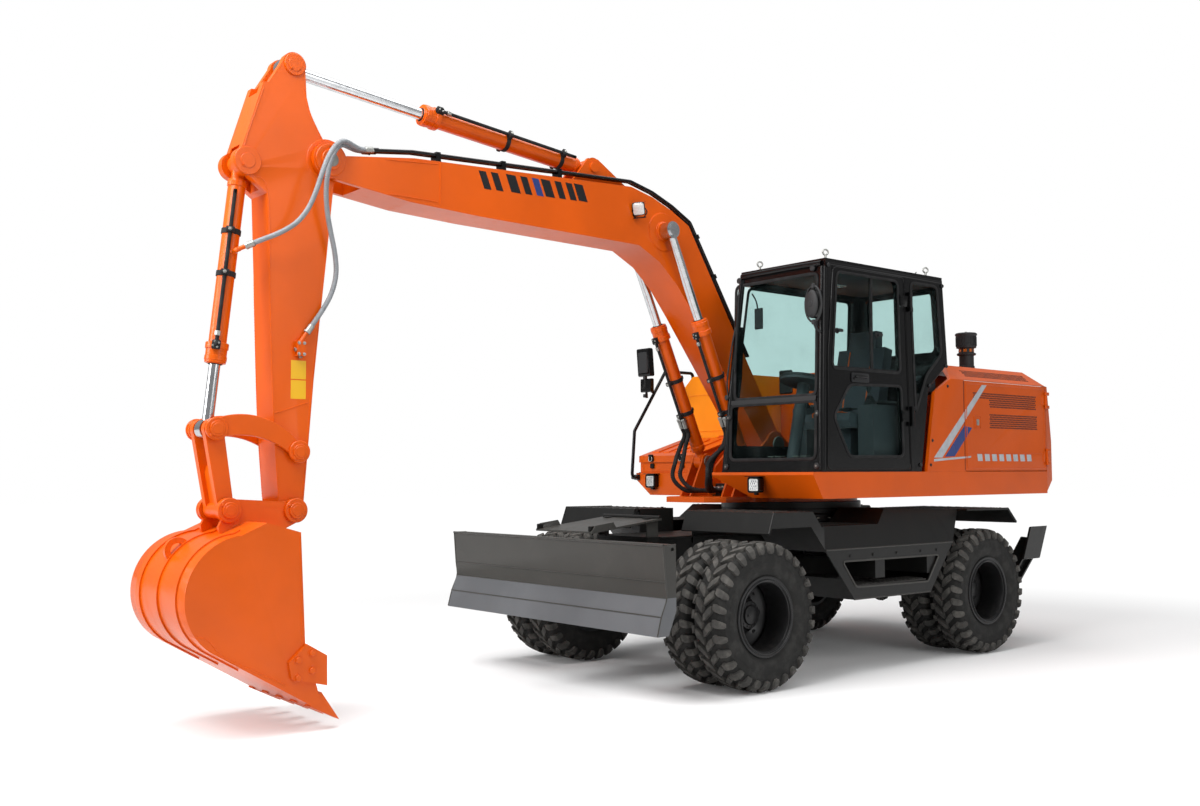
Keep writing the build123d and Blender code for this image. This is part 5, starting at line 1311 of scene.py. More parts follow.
# ---------------------------------------------------------------- tyres and wheels
@dataclass
class TwinWheels:
    """Twin tyres on two rims with one hub, at each end of both axles."""

    twin_y: float = 0.96
    spacing: float = 0.16
    pitches: int = 30
    tread_depth: float = 0.026
    disc_offset: float = -0.148

    def section(self) -> tuple[Array, Array, Array]:
        """The carcass's outer line from one bead to the other.

        Returns:
            Distance along the line from the crown's middle, half-width y and radius r, smoothed through its
            corners.
        """
        half = np.array([(0.098, 0.262), (0.101, 0.29), (0.118, 0.318), (0.1265, 0.362), (0.1275, 0.405),
                         (0.125, 0.448), (0.12, 0.474), (0.105, 0.494), (0.07, 0.5), (0.035, 0.5012),
                         (0.0, 0.5015)])
        line = smooth_path(np.column_stack([half, np.zeros(len(half))]), 3)[:, :2]
        full = np.concatenate([line * (-1, 1), line[-2::-1]])
        length = lengths_along(full)
        return length - length[-1] / 2, full[:, 0], full[:, 1]

    def lug(self, rows: list[tuple[float, float, float]], lift: float, turn: int) -> Form:
        """One tread block.

        Args:
            rows: (distance t along the section, start and end of the block round the tyre), metres.
            lift: how far it stands out.
            turn: number of its pitch.

        Returns:
            A closed skin: each row of the outline at four places, base, top, top, base, with the height along
            the section's normal, and turned round the axle by distance / radius.
        """
        length, y, r = self.section()
        t = np.array([row[0] for row in rows])
        slope, sunk, step = 0.004, -0.006, 0.002
        t = np.concatenate([[t[0] - slope], t, [t[-1] + slope]])
        start = np.array([rows[0][1], *[row[1] for row in rows], rows[-1][1]])
        stop = np.array([rows[0][2], *[row[2] for row in rows], rows[-1][2]])
        s = np.stack([start - slope, start, stop, stop + slope], 1)
        height = np.full(s.shape, lift)
        height[[0, -1]] = sunk
        height[:, [0, 3]] = sunk
        py, pr = np.interp(t, length, y), np.interp(t, length, r)
        dy = np.interp(t + step, length, y) - np.interp(t - step, length, y)
        dr = np.interp(t + step, length, r) - np.interp(t - step, length, r)
        size = np.hypot(dy, dr)
        out_y, out_r = -dr / size, dy / size
        radius = pr[:, None] + height * out_r[:, None]
        across = py[:, None] + height * out_y[:, None]
        angle = s / AXLE_Z + turn * TAU / self.pitches
        grid = np.stack([radius * np.cos(angle), across, radius * np.sin(angle)], -1)
        return skin(grid, round_v=True, ends=True)

    def tyre(self) -> tuple[Form, Form]:
        """One tyre about the y axis.

        Returns:
            A lathed carcass with its bead and rings, and the rows of sharp-edged blocks.
        """
        _, y, r = self.section()
        inner = [(0.09, 0.262), (0.085, 0.3), (-0.085, 0.3), (-0.09, 0.262)]
        carcass = lathe(list(zip(y, r)) + inner, ORIGIN, Y_AXIS, 96)
        rings = [lathe([(side * (w - 0.002), a), (side * (w + 0.0022), a + 0.002),
                        (side * (w + 0.0022), a + 0.005), (side * (w - 0.002), a + 0.007)], ORIGIN, Y_AXIS,
                       96) for side in (-1, 1)
                 for w, a in ((0.1035, 0.3), (0.1265, 0.386), (0.1255, 0.436))]
        p = TAU * AXLE_Z / self.pitches
        d = self.tread_depth
        # each block: rows of (place across the tread, start, end), over one pitch p round the tyre
        centre = [(-0.074, 0.66 * p, 0.98 * p), (-0.066, 0.56 * p, 1.02 * p), (-0.044, 0.36 * p, 0.86 * p),
                  (-0.022, 0.16 * p, 0.66 * p), (-0.005, 0.06 * p, 0.44 * p)]
        shoulder = [(-0.162, 0.66 * p, 0.92 * p), (-0.146, 0.6 * p, 1.02 * p), (-0.122, 0.62 * p, 1.1 * p),
                    (-0.098, 0.7 * p, 1.2 * p), (-0.084, 0.84 * p, 1.18 * p)]
        blocks = []
        for turn in range(self.pitches):
            for rows, lift in ((centre, d), (shoulder, d * 0.93)):
                blocks.append(self.lug(rows, lift, turn))
                flipped = [(-t, start + 0.5 * p, stop + 0.5 * p) for t, start, stop in rows[::-1]]
                blocks.append(self.lug(flipped, lift, turn))
        return joined([carcass, *rings]), joined(blocks)

    def rim(self, outward: int) -> Form:
        """One rim about the y axis.

        Args:
            outward: 1 if its open dish faces +y.

        Returns:
            A lathed bed with flanges and lock ring, and a dished disc with hand holes between its ribs.
        """
        o, offset = outward, self.disc_offset
        bed = lathe([(-0.1, 0.262), (-0.1, 0.286), (-0.108, 0.288), (-0.112, 0.28), (-0.11, 0.25),
                     (-0.08, 0.24), (0.08, 0.236), (0.104, 0.243), (0.114, 0.262), (0.113, 0.284),
                     (0.106, 0.288), (0.1, 0.28), (0.099, 0.256), (0.0, 0.252)], ORIGIN, Y_AXIS, 64)
        lock = lathe([(0.094 * o, 0.25), (0.118 * o, 0.25), (0.122 * o, 0.257), (0.118 * o, 0.264),
                      (0.094 * o, 0.262)], ORIGIN, Y_AXIS, 64)
        dish = lathe(
            [(offset * o, 0.1), (offset * o, 0.15), ((offset - 0.014) * o, 0.185),
             ((offset - 0.04) * o, 0.222), ((offset - 0.044) * o, 0.239), ((offset - 0.056) * o, 0.239),
             ((offset - 0.052) * o, 0.216), ((offset - 0.026) * o, 0.176), ((offset - 0.012) * o, 0.148),
             ((offset - 0.012) * o, 0.1)], ORIGIN, Y_AXIS, 64)
        holes = disc((0, (offset - 0.018) * o, 0.196), Y_AXIS, 0.017, -0.02, 0.022, 0.002, 16).ring(
            Y_AXIS, ORIGIN, 8)
        return joined([bed, lock, dish, holes])

    def hub(self) -> Form:
        """The planetary hub that stands out of the twin rims.

        Returns:
            Its body and flange with nuts, studs, bolted cover and drain plug.
        """
        body = lathe([(-0.1, 0.0), (-0.1, 0.118), (0.016, 0.122), (0.02, 0.116), (0.1, 0.104),
                      (0.112, 0.097), (0.116, 0.072), (0.13, 0.066), (0.134, 0.058), (0.134, 0.0)], ORIGIN,
                     Y_AXIS, 48)
        flange = disc(ORIGIN, Y_AXIS, 0.152, -0.012, 0.018, 0.003, 48)
        nuts = bolts_on((0, 0.018, 0), Y_AXIS, 0.135, 10, 0.0165, 0.02)
        studs = disc((0, 0.03, 0.135), Y_AXIS, 0.008, -0.01, 0.016, 0.001, 10).ring(Y_AXIS, ORIGIN, 10)
        cover = bolts_on((0, 0.112, 0), Y_AXIS, 0.084, 12, 0.0065, 0.007, 0.2)
        plug = bolt((0.035, 0.133, 0.0), Y_AXIS, 0.011, 0.009)
        return joined([body, flange, nuts, studs, cover, plug])

    def build(self) -> None:
        """Make every tyre pair and every rim pair."""
        carcass, blocks = self.tyre()
        for axle, x in AXLES.items():
            for name, side in SIDES.items():
                middle = np.array([x, side * self.twin_y, AXLE_Z])
                body = f"wheel_{axle}_{name}"
                turns = [0.37, 0.11] if axle == "front" else [0.02, 0.21]
                # the tread blocks take the paler rubber, a painted highlight on the tread tops
                for part, form, coat in (("carcass", carcass, "tyre"), ("tread", blocks, "sunlit_tread_rubber")):
                    twins = [form.turned(Y_AXIS, turn).moved(middle + (0, step * self.spacing, 0))
                             for step, turn in zip((-1, 1), turns)]
                    piece(f"tyres_{axle}_{name}_{part}", twins, coat, body,
                          replaces=(f"tyres_{axle}_{name}",), smooth=24)
                form = joined([self.rim(way).moved((0, way * self.spacing, 0)) for way in (1, -1)]
                              + [self.hub()])
                form = (form if side > 0 else form.mirrored()).moved(middle)
                piece(f"wheels_{axle}_{name}_dressed", form, "rim", body,
                      replaces=(f"wheels_{axle}_{name}",), smooth=32)


# ---------------------------------------------------------------- boom, arm, bucket and their cylinders
def between(start: Array, end: Array, distance: float) -> Array:
    """The point at a distance from start towards end."""
    start, end = np.asarray(start, float), np.asarray(end, float)
    return start + (end - start) * (distance / np.linalg.norm(end - start))


@dataclass
class Cylinder:
    """A hydraulic cylinder's fittings: gland ring, bolts, pipe along the barrel, clamps and end blocks."""

    name: str
    body: str
    foot: tuple[float, float]
    pin: tuple[float, float]
    planes: tuple[float, ...]
    barrel: float
    tube: float
    gland: float
    bar: float
    pipe_turn: float = 0.0
    clamps: tuple[float, ...] = (0.35, 0.68)
    pipe_from: float = 0.26

    def build(self) -> None:
        """Make the fittings round each barrel, along the line from foot to pin."""
        paint, dark, zinc = [], [], []
        for y in self.planes:
            foot, pin = np.array([self.foot[0], y, self.foot[1]]), np.array([self.pin[0], y, self.pin[1]])
            axis = (pin - foot) / np.linalg.norm(pin - foot)
            head = between(foot, pin, self.barrel)
            paint += [
                disc(head, axis, self.gland + 0.006, -0.125, -0.085, 0.003, 40, self.tube - 0.001),
                disc(head, axis, self.gland + 0.003, -0.045, -0.012, 0.003, 40, self.bar + 0.004),
                disc(head, axis, self.bar + 0.018, -0.012, 0.006, 0.003, 40, self.bar + 0.001),
                bolts_on(between(foot, pin, self.barrel - 0.012), axis, self.gland - 0.012, 8, 0.009, 0.009,
                         0.3),
                disc(foot, axis, self.tube + 0.005, 0.118, 0.15, 0.003, 40, self.tube - 0.002),
            ]
            dark.append(disc(head, axis, self.bar + 0.008, 0.002, 0.01, 0.002, 32, self.bar + 0.0005))
            level = np.array(Y_AXIS)
            out = np.cross(axis, Y_AXIS) * math.sin(self.pipe_turn) + level * math.cos(self.pipe_turn)
            reach = self.tube + 0.024
            port = between(foot, pin, self.barrel - 0.105)
            start, stop = between(foot, pin, self.pipe_from), between(foot, pin, self.barrel - 0.16)
            route = [start - axis * 0.05 + out * reach, start + out * reach, stop + out * reach,
                     stop + axis * 0.035 + out * (reach + 0.004), port + out * (self.gland + 0.03),
                     port + out * self.gland]
            dark.append(pipe(route, 0.0125, 10))
            dark.append(bar_along(port + out * (self.gland + 0.012), axis, out, (0.055, 0.05, 0.04)))
            zinc.append(bolts_on(port + out * (self.gland + 0.032), out, 0.019, 4, 0.005, 0.005, 0.4))
            zinc.append(disc(stop + out * reach, axis, 0.019, -0.03, 0.0, 0.002, 6))
            for share in self.clamps:
                place = between(foot, pin, 0.26 + (self.barrel - 0.45) * share)
                dark.append(disc(place, axis, self.tube + 0.006, -0.017, 0.017, 0.002, 40,
                                 self.tube - 0.001))
                dark.append(bar_along(place + out * (self.tube + 0.02), axis, out, (0.034, 0.052, 0.052)))
                zinc.append(bolt(place + out * (self.tube + 0.046), out, 0.008, 0.008))
                dark.append(bar_along(place - out * (self.tube + 0.012), axis, out, (0.03, 0.028, 0.034)))
        piece(f"{self.name}_glands", paint, "orange", self.body)
        piece(f"{self.name}_pipes", dark, "hose", self.body)
        piece(f"{self.name}_fasteners", zinc, "zinc", self.body)


def bar_along(middle: Array, axis: Array, out: Array, size: Point) -> Form:
    """A bevelled box turned to two directions.

    Args:
        middle: its middle.
        axis: direction of its length.
        out: direction of its depth, square to the axis.
        size: length, width and depth.

    Returns:
        A bevelled box whose corners are middle + x * axis + y * (axis crossed with out) + z * out.
    """
    half = np.array(size) / 2
    box = bar(tuple(-half), tuple(half), min(size) * 0.12)
    across = np.cross(out, axis)
    return Form(box.points @ np.array([axis, across, out]) + np.asarray(middle, float), box.faces)


@dataclass
class Boom:
    """Boom: welded box with pin collars, pipes, clamps, work lamp and stripes."""

    half: float = 0.163
    foot: tuple[float, float] = (0.223, 1.785)
    tip: tuple[float, float] = (4.454, 3.576)
    rod_pin: tuple[float, float] = (1.516, 3.482)
    lamp_place: tuple[float, float] = (1.803, 3.64)

    def build(self) -> None:
        """Make the boom's fittings."""
        paint, steel = [], []
        for side in (-1, 1):
            y, out = PLANE_Y + side * self.half, (0, side, 0)
            for (x, z), ring, cap in ((self.foot, 0.1, 0.052), (self.tip, 0.105, 0.056)):
                at = (x, y, z)
                paint.append(disc(at, out, ring, -0.004, 0.01, 0.003, 48))
                paint.append(disc(at, out, cap + 0.012, 0.0, 0.024, 0.003, 40))
                steel.append(disc(at, out, cap - 0.01, 0.0, 0.026, 0.002, 40))
                steel.append(disc(at, out, 0.008, 0.0, 0.032, 0.001, 12))
            at = (self.rod_pin[0], y, self.rod_pin[1])
            paint.append(disc(at, out, 0.078, 0.0, 0.026, 0.006, 48))
            paint.append(weld(ring_path(at, out, 0.151), 0.006))
            paint.append(weld(ring_path(at, out, 0.079, 0.01), 0.006))
        piece("boom_collars", paint, "orange", "boom")
        piece("boom_pin_ends", steel, "steel", "boom")
        self.seams()
        self.pipes()
        self.lamp()
        self.stripes()

    def seams(self) -> None:
        """Weld seams along the box's lower edges and where the tip's castings are let in."""
        forms = []
        for y in (PLANE_Y - self.half, PLANE_Y + self.half):
            for line in ([(3.62, 3.7), (3.62, 3.4)], [(3.64, 3.42), (4.02, 3.42)],
                         [(3.64, 3.685), (4.05, 3.65)]):
                forms.append(weld([(x, y, z) for x, z in line], 0.0045))
        piece("boom_weld_seams", forms, "orange", "boom")

    def pipes(self) -> None:
        """A pair of thin pipes with their clamps and bolts along the top's right edge."""
        steel = []
        for share in (0.16, 0.34, 0.52, 0.7, 0.9):
            middle, along, up = TOP_LINE.at(share)
            at = middle + up * 0.034 + np.array([0, -0.132, 0])
            steel += [bar_along(at, along, up, (0.03, 0.056, 0.052)),
                      bolt(at + up * 0.026, up, 0.009, 0.009)]
        piece("boom_thin_clamps", steel, "black", "boom")
        thin = [tube(TOP_LINE.raised(0.036, y, 0.7, 3.95), 0.0095, 10) for y in (-0.146, -0.119)]
        piece("boom_thin_pipes", thin, "black", "boom")

    def lamp(self) -> None:
        """The work lamp on the boom's left side."""
        work_lamp("boom_work_lamp", np.array(
            [self.lamp_place[0] + 0.02, PLANE_Y + self.half + 0.055, self.lamp_place[1] - 0.02]),
                  np.array([0.86, 0.42, -0.28]), "boom", 0.105)

    def stripes(self) -> None:
        """A row of slanting black bars, and one blue one, along both sides."""
        black, blue = [], []
        for side in (-1, 1):
            y = PLANE_Y + side * self.half
            for step in range(9):
                x = 2.3 + step * 0.105 + (0.05 if step > 6 else 0.0)
                base = 3.612 - (x - 2.3) * 0.045
                wide = 0.062 if step % 3 else 0.085
                shape = [(x, base), (x + wide, base), (x + wide + 0.05, base + 0.125),
                         (x + 0.05, base + 0.125)]
                target = blue if step == 4 else black
                target.append(side_plate(shape, *sorted((y, y + side * 0.0012))))
        piece("boom_stripes_black", black, "decal_black", "boom")
        piece("boom_stripe_blue", blue, "decal_blue", "boom")


def ring_path(centre: Point, axis: Point, radius: float, offset: float = 0.0, count: int = 64) -> Array:
    """A closed circle of points.

    Args:
        centre: its middle.
        axis: what it is square to.
        radius: its radius.
        offset: how far it is moved along the axis.
        count: steps.

    Returns:
        centre + offset * axis + radius * (cos t * side + sin t * up) for a whole turn.
    """
    along, side, up = frame_of(axis)
    t = np.linspace(0, TAU, count)
    return np.asarray(centre, float) + along * offset + radius * spokes(t, side, up)


class TopLine:
    """The boom's upper edge as a smooth line in its middle plane."""

    def __init__(self, corners: list[tuple[float, float]]) -> None:
        """Smooth the line.

        Args:
            corners: (x, z) corners that it passes through.
        """
        path = smooth_path([(x, 0.0, z) for x, z in corners], 10)
        self.path = path
        tangents = np.gradient(path, axis=0)
        self.tangents = tangents / np.linalg.norm(tangents, axis=1, keepdims=True)
        self.ups = np.cross(self.tangents, Y_AXIS) * -1.0

    def raised(self, lift: float, y: float, low_x: float, high_x: float) -> Array:
        """The line lifted off the plate, between two places, in the plane y."""
        keep = (self.path[:, 0] >= low_x) & (self.path[:, 0] <= high_x)
        return (self.path + self.ups * lift + (0, y + PLANE_Y, 0))[keep]

    def at(self, share: float) -> tuple[Array, Array, Array]:
        """Place, direction and upward direction at a share of its length."""
        i = int(share * (len(self.path) - 1))
        return self.path[i] + (0, PLANE_Y, 0), self.tangents[i], self.ups[i]


def work_lamp(name: str, place: Array, aim: Array, body: str, size: float = 0.1) -> None:
    """A square work lamp: ribbed housing, bright lens in a rim, and a bent bracket.

    Args:
        name: the pieces' name.
        place: the housing's middle.
        aim: the way it shines.
        body: the body it rides on.
        size: its width.
    """
    aim = aim / np.linalg.norm(aim)
    side = np.cross(Z_AXIS, aim)
    side /= np.linalg.norm(side)
    up = np.cross(aim, side)
    half = size / 2
    corner = np.array([(math.cos(t), math.sin(t)) for t in np.arange(24) * TAU / 24 + TAU / 48])
    square = np.sign(corner) * np.abs(corner) ** 0.35 * half
    rings = []
    for depth, scale in ((-0.4, 0.55), (-0.36, 0.7), (-0.05, 0.95), (0.0, 1.0), (0.1, 1.0), (0.12, 0.93),
                         (0.08, 0.9)):
        rings.append(place + aim * depth * size + (square[:, :1] * side + square[:, 1:] * up) * scale)
    housing = skin(np.array(rings), round_v=True, ends=True)
    fins = [bar_along(place - aim * size * 0.22 + up * size * k, aim, up,
                      (size * 0.3, size * 0.9, size * 0.03)) for k in (-0.44, -0.3, 0.3, 0.44)]
    lens = np.array([place + aim * (0.085 + 0.05 * (1 - s * s)) * size + (
        square[:, :1] * side + square[:, 1:] * up) * 0.89 * s for s in (1.0, 0.8, 0.55, 0.3, 0.05)])
    arms = [pipe([place + side * half * s, place + side * (half + 0.012) * s - up * half * 0.6,
                  place + side * half * 0.7 * s - up * (half + 0.016)], 0.005, 8, 5) for s in (-1, 1)]
    base = bar_along(place - up * (half + 0.018), side, up, (size * 0.9, size * 0.34, 0.008))
    piece(f"{name}_housing", [housing, *fins, *arms, base], "black", body)
    piece(f"{name}_lens", skin(lens, round_v=True, ends=True), "lens", body)


@dataclass
class Arm:
    """Arm: pin collars, edge seams, blank plates and the hose block's screws."""

    half: float = 0.12
    top: tuple[float, float] = (4.454, 3.576)
    rod_ear: tuple[float, float] = (4.69, 4.167)
    cylinder_foot: tuple[float, float] = (4.997, 3.491)

    def build(self) -> None:
        """Make the arm's fittings."""
        paint, steel, seams, plates = [], [], [], []
        for side in (-1, 1):
            y = PLANE_Y + side * self.half
            out = (0, side, 0)
            for (x, z), ring, cap in ((self.rod_ear, 0.072, 0.046), (self.cylinder_foot, 0.088, 0.048)):
                paint.append(disc((x, y, z), out, ring, -0.004, 0.012, 0.003, 48))
                steel.append(disc((x, y, z), out, cap, 0.0, 0.016, 0.002, 40))
                steel.append(bolt((x + 0.028, y + side * 0.016, z - 0.03), out, 0.008, 0.006))
            paint.append(disc((self.top[0], y - side * 0.004, self.top[1]), out, 0.145, 0.0, 0.006, 0.002,
                              48))
            for line in ([(4.425, 3.623), (4.469, 3.679), (4.574, 3.86), (4.624, 4.02)],
                         [(4.895, 3.98), (5.03, 3.53), (4.975, 3.41), (4.862, 3.32), (4.835, 2.63),
                          (4.804, 1.9), (4.764, 1.4)],
                         [(4.604, 1.4), (4.54, 2.15), (4.488, 2.65), (4.45, 3.02), (4.412, 3.44)],
                         [(4.572, 2.0), (4.796, 1.925)]):
                seams.append(weld(smooth_path([(x, y, z) for x, z in line], 6), 0.0035))
            plates += [side_plate(rect(4.59, z, 4.692, z + high), *sorted((y, y + side * 0.0012)))
                       for z, high in ((2.02, 0.118), (2.146, 0.118))]
        piece("arm_collars", paint, "orange", "arm")
        piece("arm_pin_ends", steel, "orange", "arm")
        piece("arm_weld_seams", seams, "orange", "arm")
        piece("arm_blank_plates", plates, "decal_yellow", "arm")
        self.block()

    def block(self) -> None:
        """Screws and plugs on the hose block at the left side."""
        y = PLANE_Y + self.half + 0.044
        forms = [bolt((x, y, z), Y_AXIS, 0.008, 0.007) for x in (4.622, 4.658) for z in (2.302, 2.372)]
        forms += [disc((4.668, y - 0.022, 2.33), X_AXIS, 0.014, 0.0, 0.012, 0.002, 6),
                  disc((4.64, y - 0.022, 2.29), (0, 0, -1), 0.014, 0.0, 0.012, 0.002, 6)]
        piece("arm_block_screws", forms, "zinc", "arm")


@dataclass
class Bucket:
    """Bucket: ear collars, the side cutters' bolts and weld seams."""

    half: float = 0.45
    pins: tuple[tuple[float, float], ...] = ((4.669, 1.317), (5.098, 1.328))

    def build(self) -> None:
        """Make the bucket's fittings."""
        paint, steel, seams = [], [], []
        for side in (-1, 1):
            for x, z in self.pins:
                y = PLANE_Y + side * 0.154
                paint.append(disc((x, y, z), (0, side, 0), 0.076, 0.0, 0.022, 0.004, 48))
                paint.append(disc((x, y, z), (0, side, 0), 0.05, 0.02, 0.034, 0.003, 40))
                steel.append(disc((x, y, z), (0, side, 0), 0.034, 0.03, 0.037, 0.002, 32))
                paint.append(bolt((x + 0.045, y + side * 0.022, z + 0.035), (0, side, 0), 0.01, 0.009))
            y = PLANE_Y + side * (self.half + 0.022)
            for x, z in ((4.7, 0.475), (4.79, 0.44), (4.7, 0.37), (4.79, 0.335)):
                paint.append(bolt((x, y, z), (0, side, 0), 0.021, 0.015))
            y = PLANE_Y + side * self.half
            seams.append(weld([(4.775, y, 1.17), (4.755, y, 0.52)], 0.004))
            seams.append(weld(smooth_path(
                [(5.4, y, 0.63), (5.33, y, 0.6), (5.24, y, 0.5), (5.05, y, 0.4), (4.86, y, 0.3)], 8),
                              0.004))
        piece("bucket_collars", paint, "orange", "bucket")
        piece("bucket_pin_ends", steel, "orange", "bucket")
        piece("bucket_weld_seams", seams, "orange", "bucket")


@dataclass
class Links:
    """Guide links: pin collars and their keeper bolts."""

    guide: tuple[float, float] = (4.645, 1.685)
    top: tuple[float, float] = (5.181, 1.82)

    def build(self) -> None:
        """Make the collars."""
        paint, steel = [], []
        for side in (-1, 1):
            y = PLANE_Y + side * 0.153
            for x, z in (self.guide, self.top):
                paint.append(disc((x, y, z), (0, side, 0), 0.07, -0.002, 0.014, 0.004, 48))
                paint.append(disc((x, y, z), (0, side, 0), 0.048, 0.012, 0.024, 0.003, 40))
                steel.append(disc((x, y, z), (0, side, 0), 0.034, 0.02, 0.027, 0.002, 32))
                paint.append(bolt((x + 0.04, y + side * 0.014, z - 0.04), (0, side, 0), 0.01, 0.008))
        piece("guide_link_collars", paint, "orange", "guide_links")
        piece("guide_link_pin_ends", steel, "orange", "guide_links")


class Hose(Enum):
    """The free hoses at the boom's tip: where each runs, in metres, and its length."""

    TO_CYLINDER = (
        ((4.1366, -0.006, 3.699), (4.2307, -0.006, 3.6858), (4.318, 0.028, 3.706), (4.396, 0.08, 3.702),
         (4.472, 0.126, 3.654), (4.536, 0.148, 3.564), (4.58, 0.15, 3.448), (4.616, 0.142, 3.322),
         (4.664, 0.13, 3.2), (4.736, 0.114, 3.104), (4.832, 0.09, 3.038), (4.914, 0.058, 2.998),
         (4.97, 0.026, 2.97), (5.012, -0.006, 2.948)), 1.341)
    TO_BLOCK = (
        ((4.1366, -0.046, 3.699), (4.2307, -0.046, 3.6858), (4.308, -0.022, 3.696), (4.374, 0.024, 3.692),
         (4.432, 0.064, 3.656), (4.478, 0.084, 3.584), (4.506, 0.082, 3.484), (4.514, 0.07, 3.362),
         (4.498, 0.056, 3.226), (4.462, 0.044, 3.09), (4.426, 0.034, 2.966), (4.41, 0.028, 2.836),
         (4.438, 0.02, 2.706), (4.498, 0.01, 2.592), (4.56, 0.002, 2.5), (4.6, -0.003, 2.44)), 1.628)


@dataclass
class Hoses:
    """The two free hoses at the boom's tip, each a smooth line through the air, with its crimped ends."""

    radius: float = 0.017

    def build(self) -> None:
        """Make each hose, curving from the boom's tip to the arm, and the crimped sleeves at its ends."""
        for hose, node, far in ((Hose.TO_CYLINDER, "cylinder_hose", "bucket_barrel"),
                                (Hose.TO_BLOCK, "block_hose", "arm")):
            route, length = hose.value
            line, ends = self.line(route), []
            for body, at, ahead in (("boom", line[0], line[4]), (far, line[-1], line[-5])):
                way = (ahead - at) / np.linalg.norm(ahead - at)
                ends.append(piece(f"{node}_sleeve_{body}", [
                    disc(at, way, self.radius + 0.0045, 0.004, 0.06, 0.003, 24),
                    disc(at, way, self.radius + 0.007, 0.0, 0.014, 0.002, 6)], "zinc", body))
            made = piece_blended(f"{node}_dressed",
                                 ribbed_tube(line, self.radius - 0.002, 0.002, 0.014, 12), "wrap", "boom",
                                 (node,))
            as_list(ends)

    def line(self, route: tuple) -> Array:
        """A hose's middle line.

        Args:
            route: the control points.

        Returns:
            Points along the NURBS spline with those control points, as the bare curve gives them.
        """
        data = bpy.data.curves.new("line", "CURVE")
        data.dimensions = "3D"
        spline = data.splines.new("NURBS")
        spline.points.add(len(route) - 1)
        spline.points.foreach_set("co", np.hstack([np.array(route), np.ones((len(route), 1))]).ravel())
        spline.order_u, spline.use_endpoint_u, spline.resolution_u = 3, True, 12
        holder = bpy.data.objects.new("line", data)
        mesh = bpy.data.meshes.new_from_object(holder)
        points = np.empty(len(mesh.vertices) * 3)
        mesh.vertices.foreach_get("co", points)
        bpy.data.objects.remove(holder)
        bpy.data.meshes.remove(mesh)
        bpy.data.curves.remove(data)
        return points.reshape(-1, 3)


def piece_blended(name: str, form: Form, coat: str, first: str,
                  replaces: tuple[str, ...] = ()) -> bpy.types.Object:
    """A piece made on one body, then freed from it with its place baked into the mesh.

    Args:
        name: its name.
        form: its form.
        coat: key of its finish.
        first: body that it starts on.
        replaces: solids that it stands for.

    Returns:
        The object.
    """
    made = piece(name, form, coat, first, replaces=replaces)
    made.parent = None
    if "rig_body" in made:
        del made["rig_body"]
    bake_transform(made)
    return made


TOP_LINE = TopLine(
    [(0.575, 2.545), (0.785, 2.879), (1.226, 3.57), (1.419, 3.67), (1.628, 3.75), (1.851, 3.801),
     (2.6, 3.761), (3.3, 3.724), (3.828, 3.695), (4.1, 3.656)])
CYLINDERS = (
    Cylinder("boom_cylinder", "boom_barrels", (0.688, 1.642), (1.516, 3.482), (-0.395, 0.095), barrel=1.25,
             tube=0.057, gland=0.068, bar=0.036, pipe_turn=-math.pi / 2, clamps=(0.25, 0.62),
             pipe_from=0.42),
    Cylinder("arm_cylinder", "arm_barrel", (2.183, 3.914), (4.69, 4.167), (PLANE_Y,), barrel=1.5,
             tube=0.062, gland=0.074, bar=0.04, pipe_turn=0.5, clamps=(0.02, 0.5)),
    Cylinder("bucket_cylinder", "bucket_barrel", (4.997, 3.491), (5.181, 1.82), (PLANE_Y,), barrel=1.27,
             tube=0.054, gland=0.064, bar=0.034, pipe_turn=0.45, clamps=(0.22, 0.55)),
)


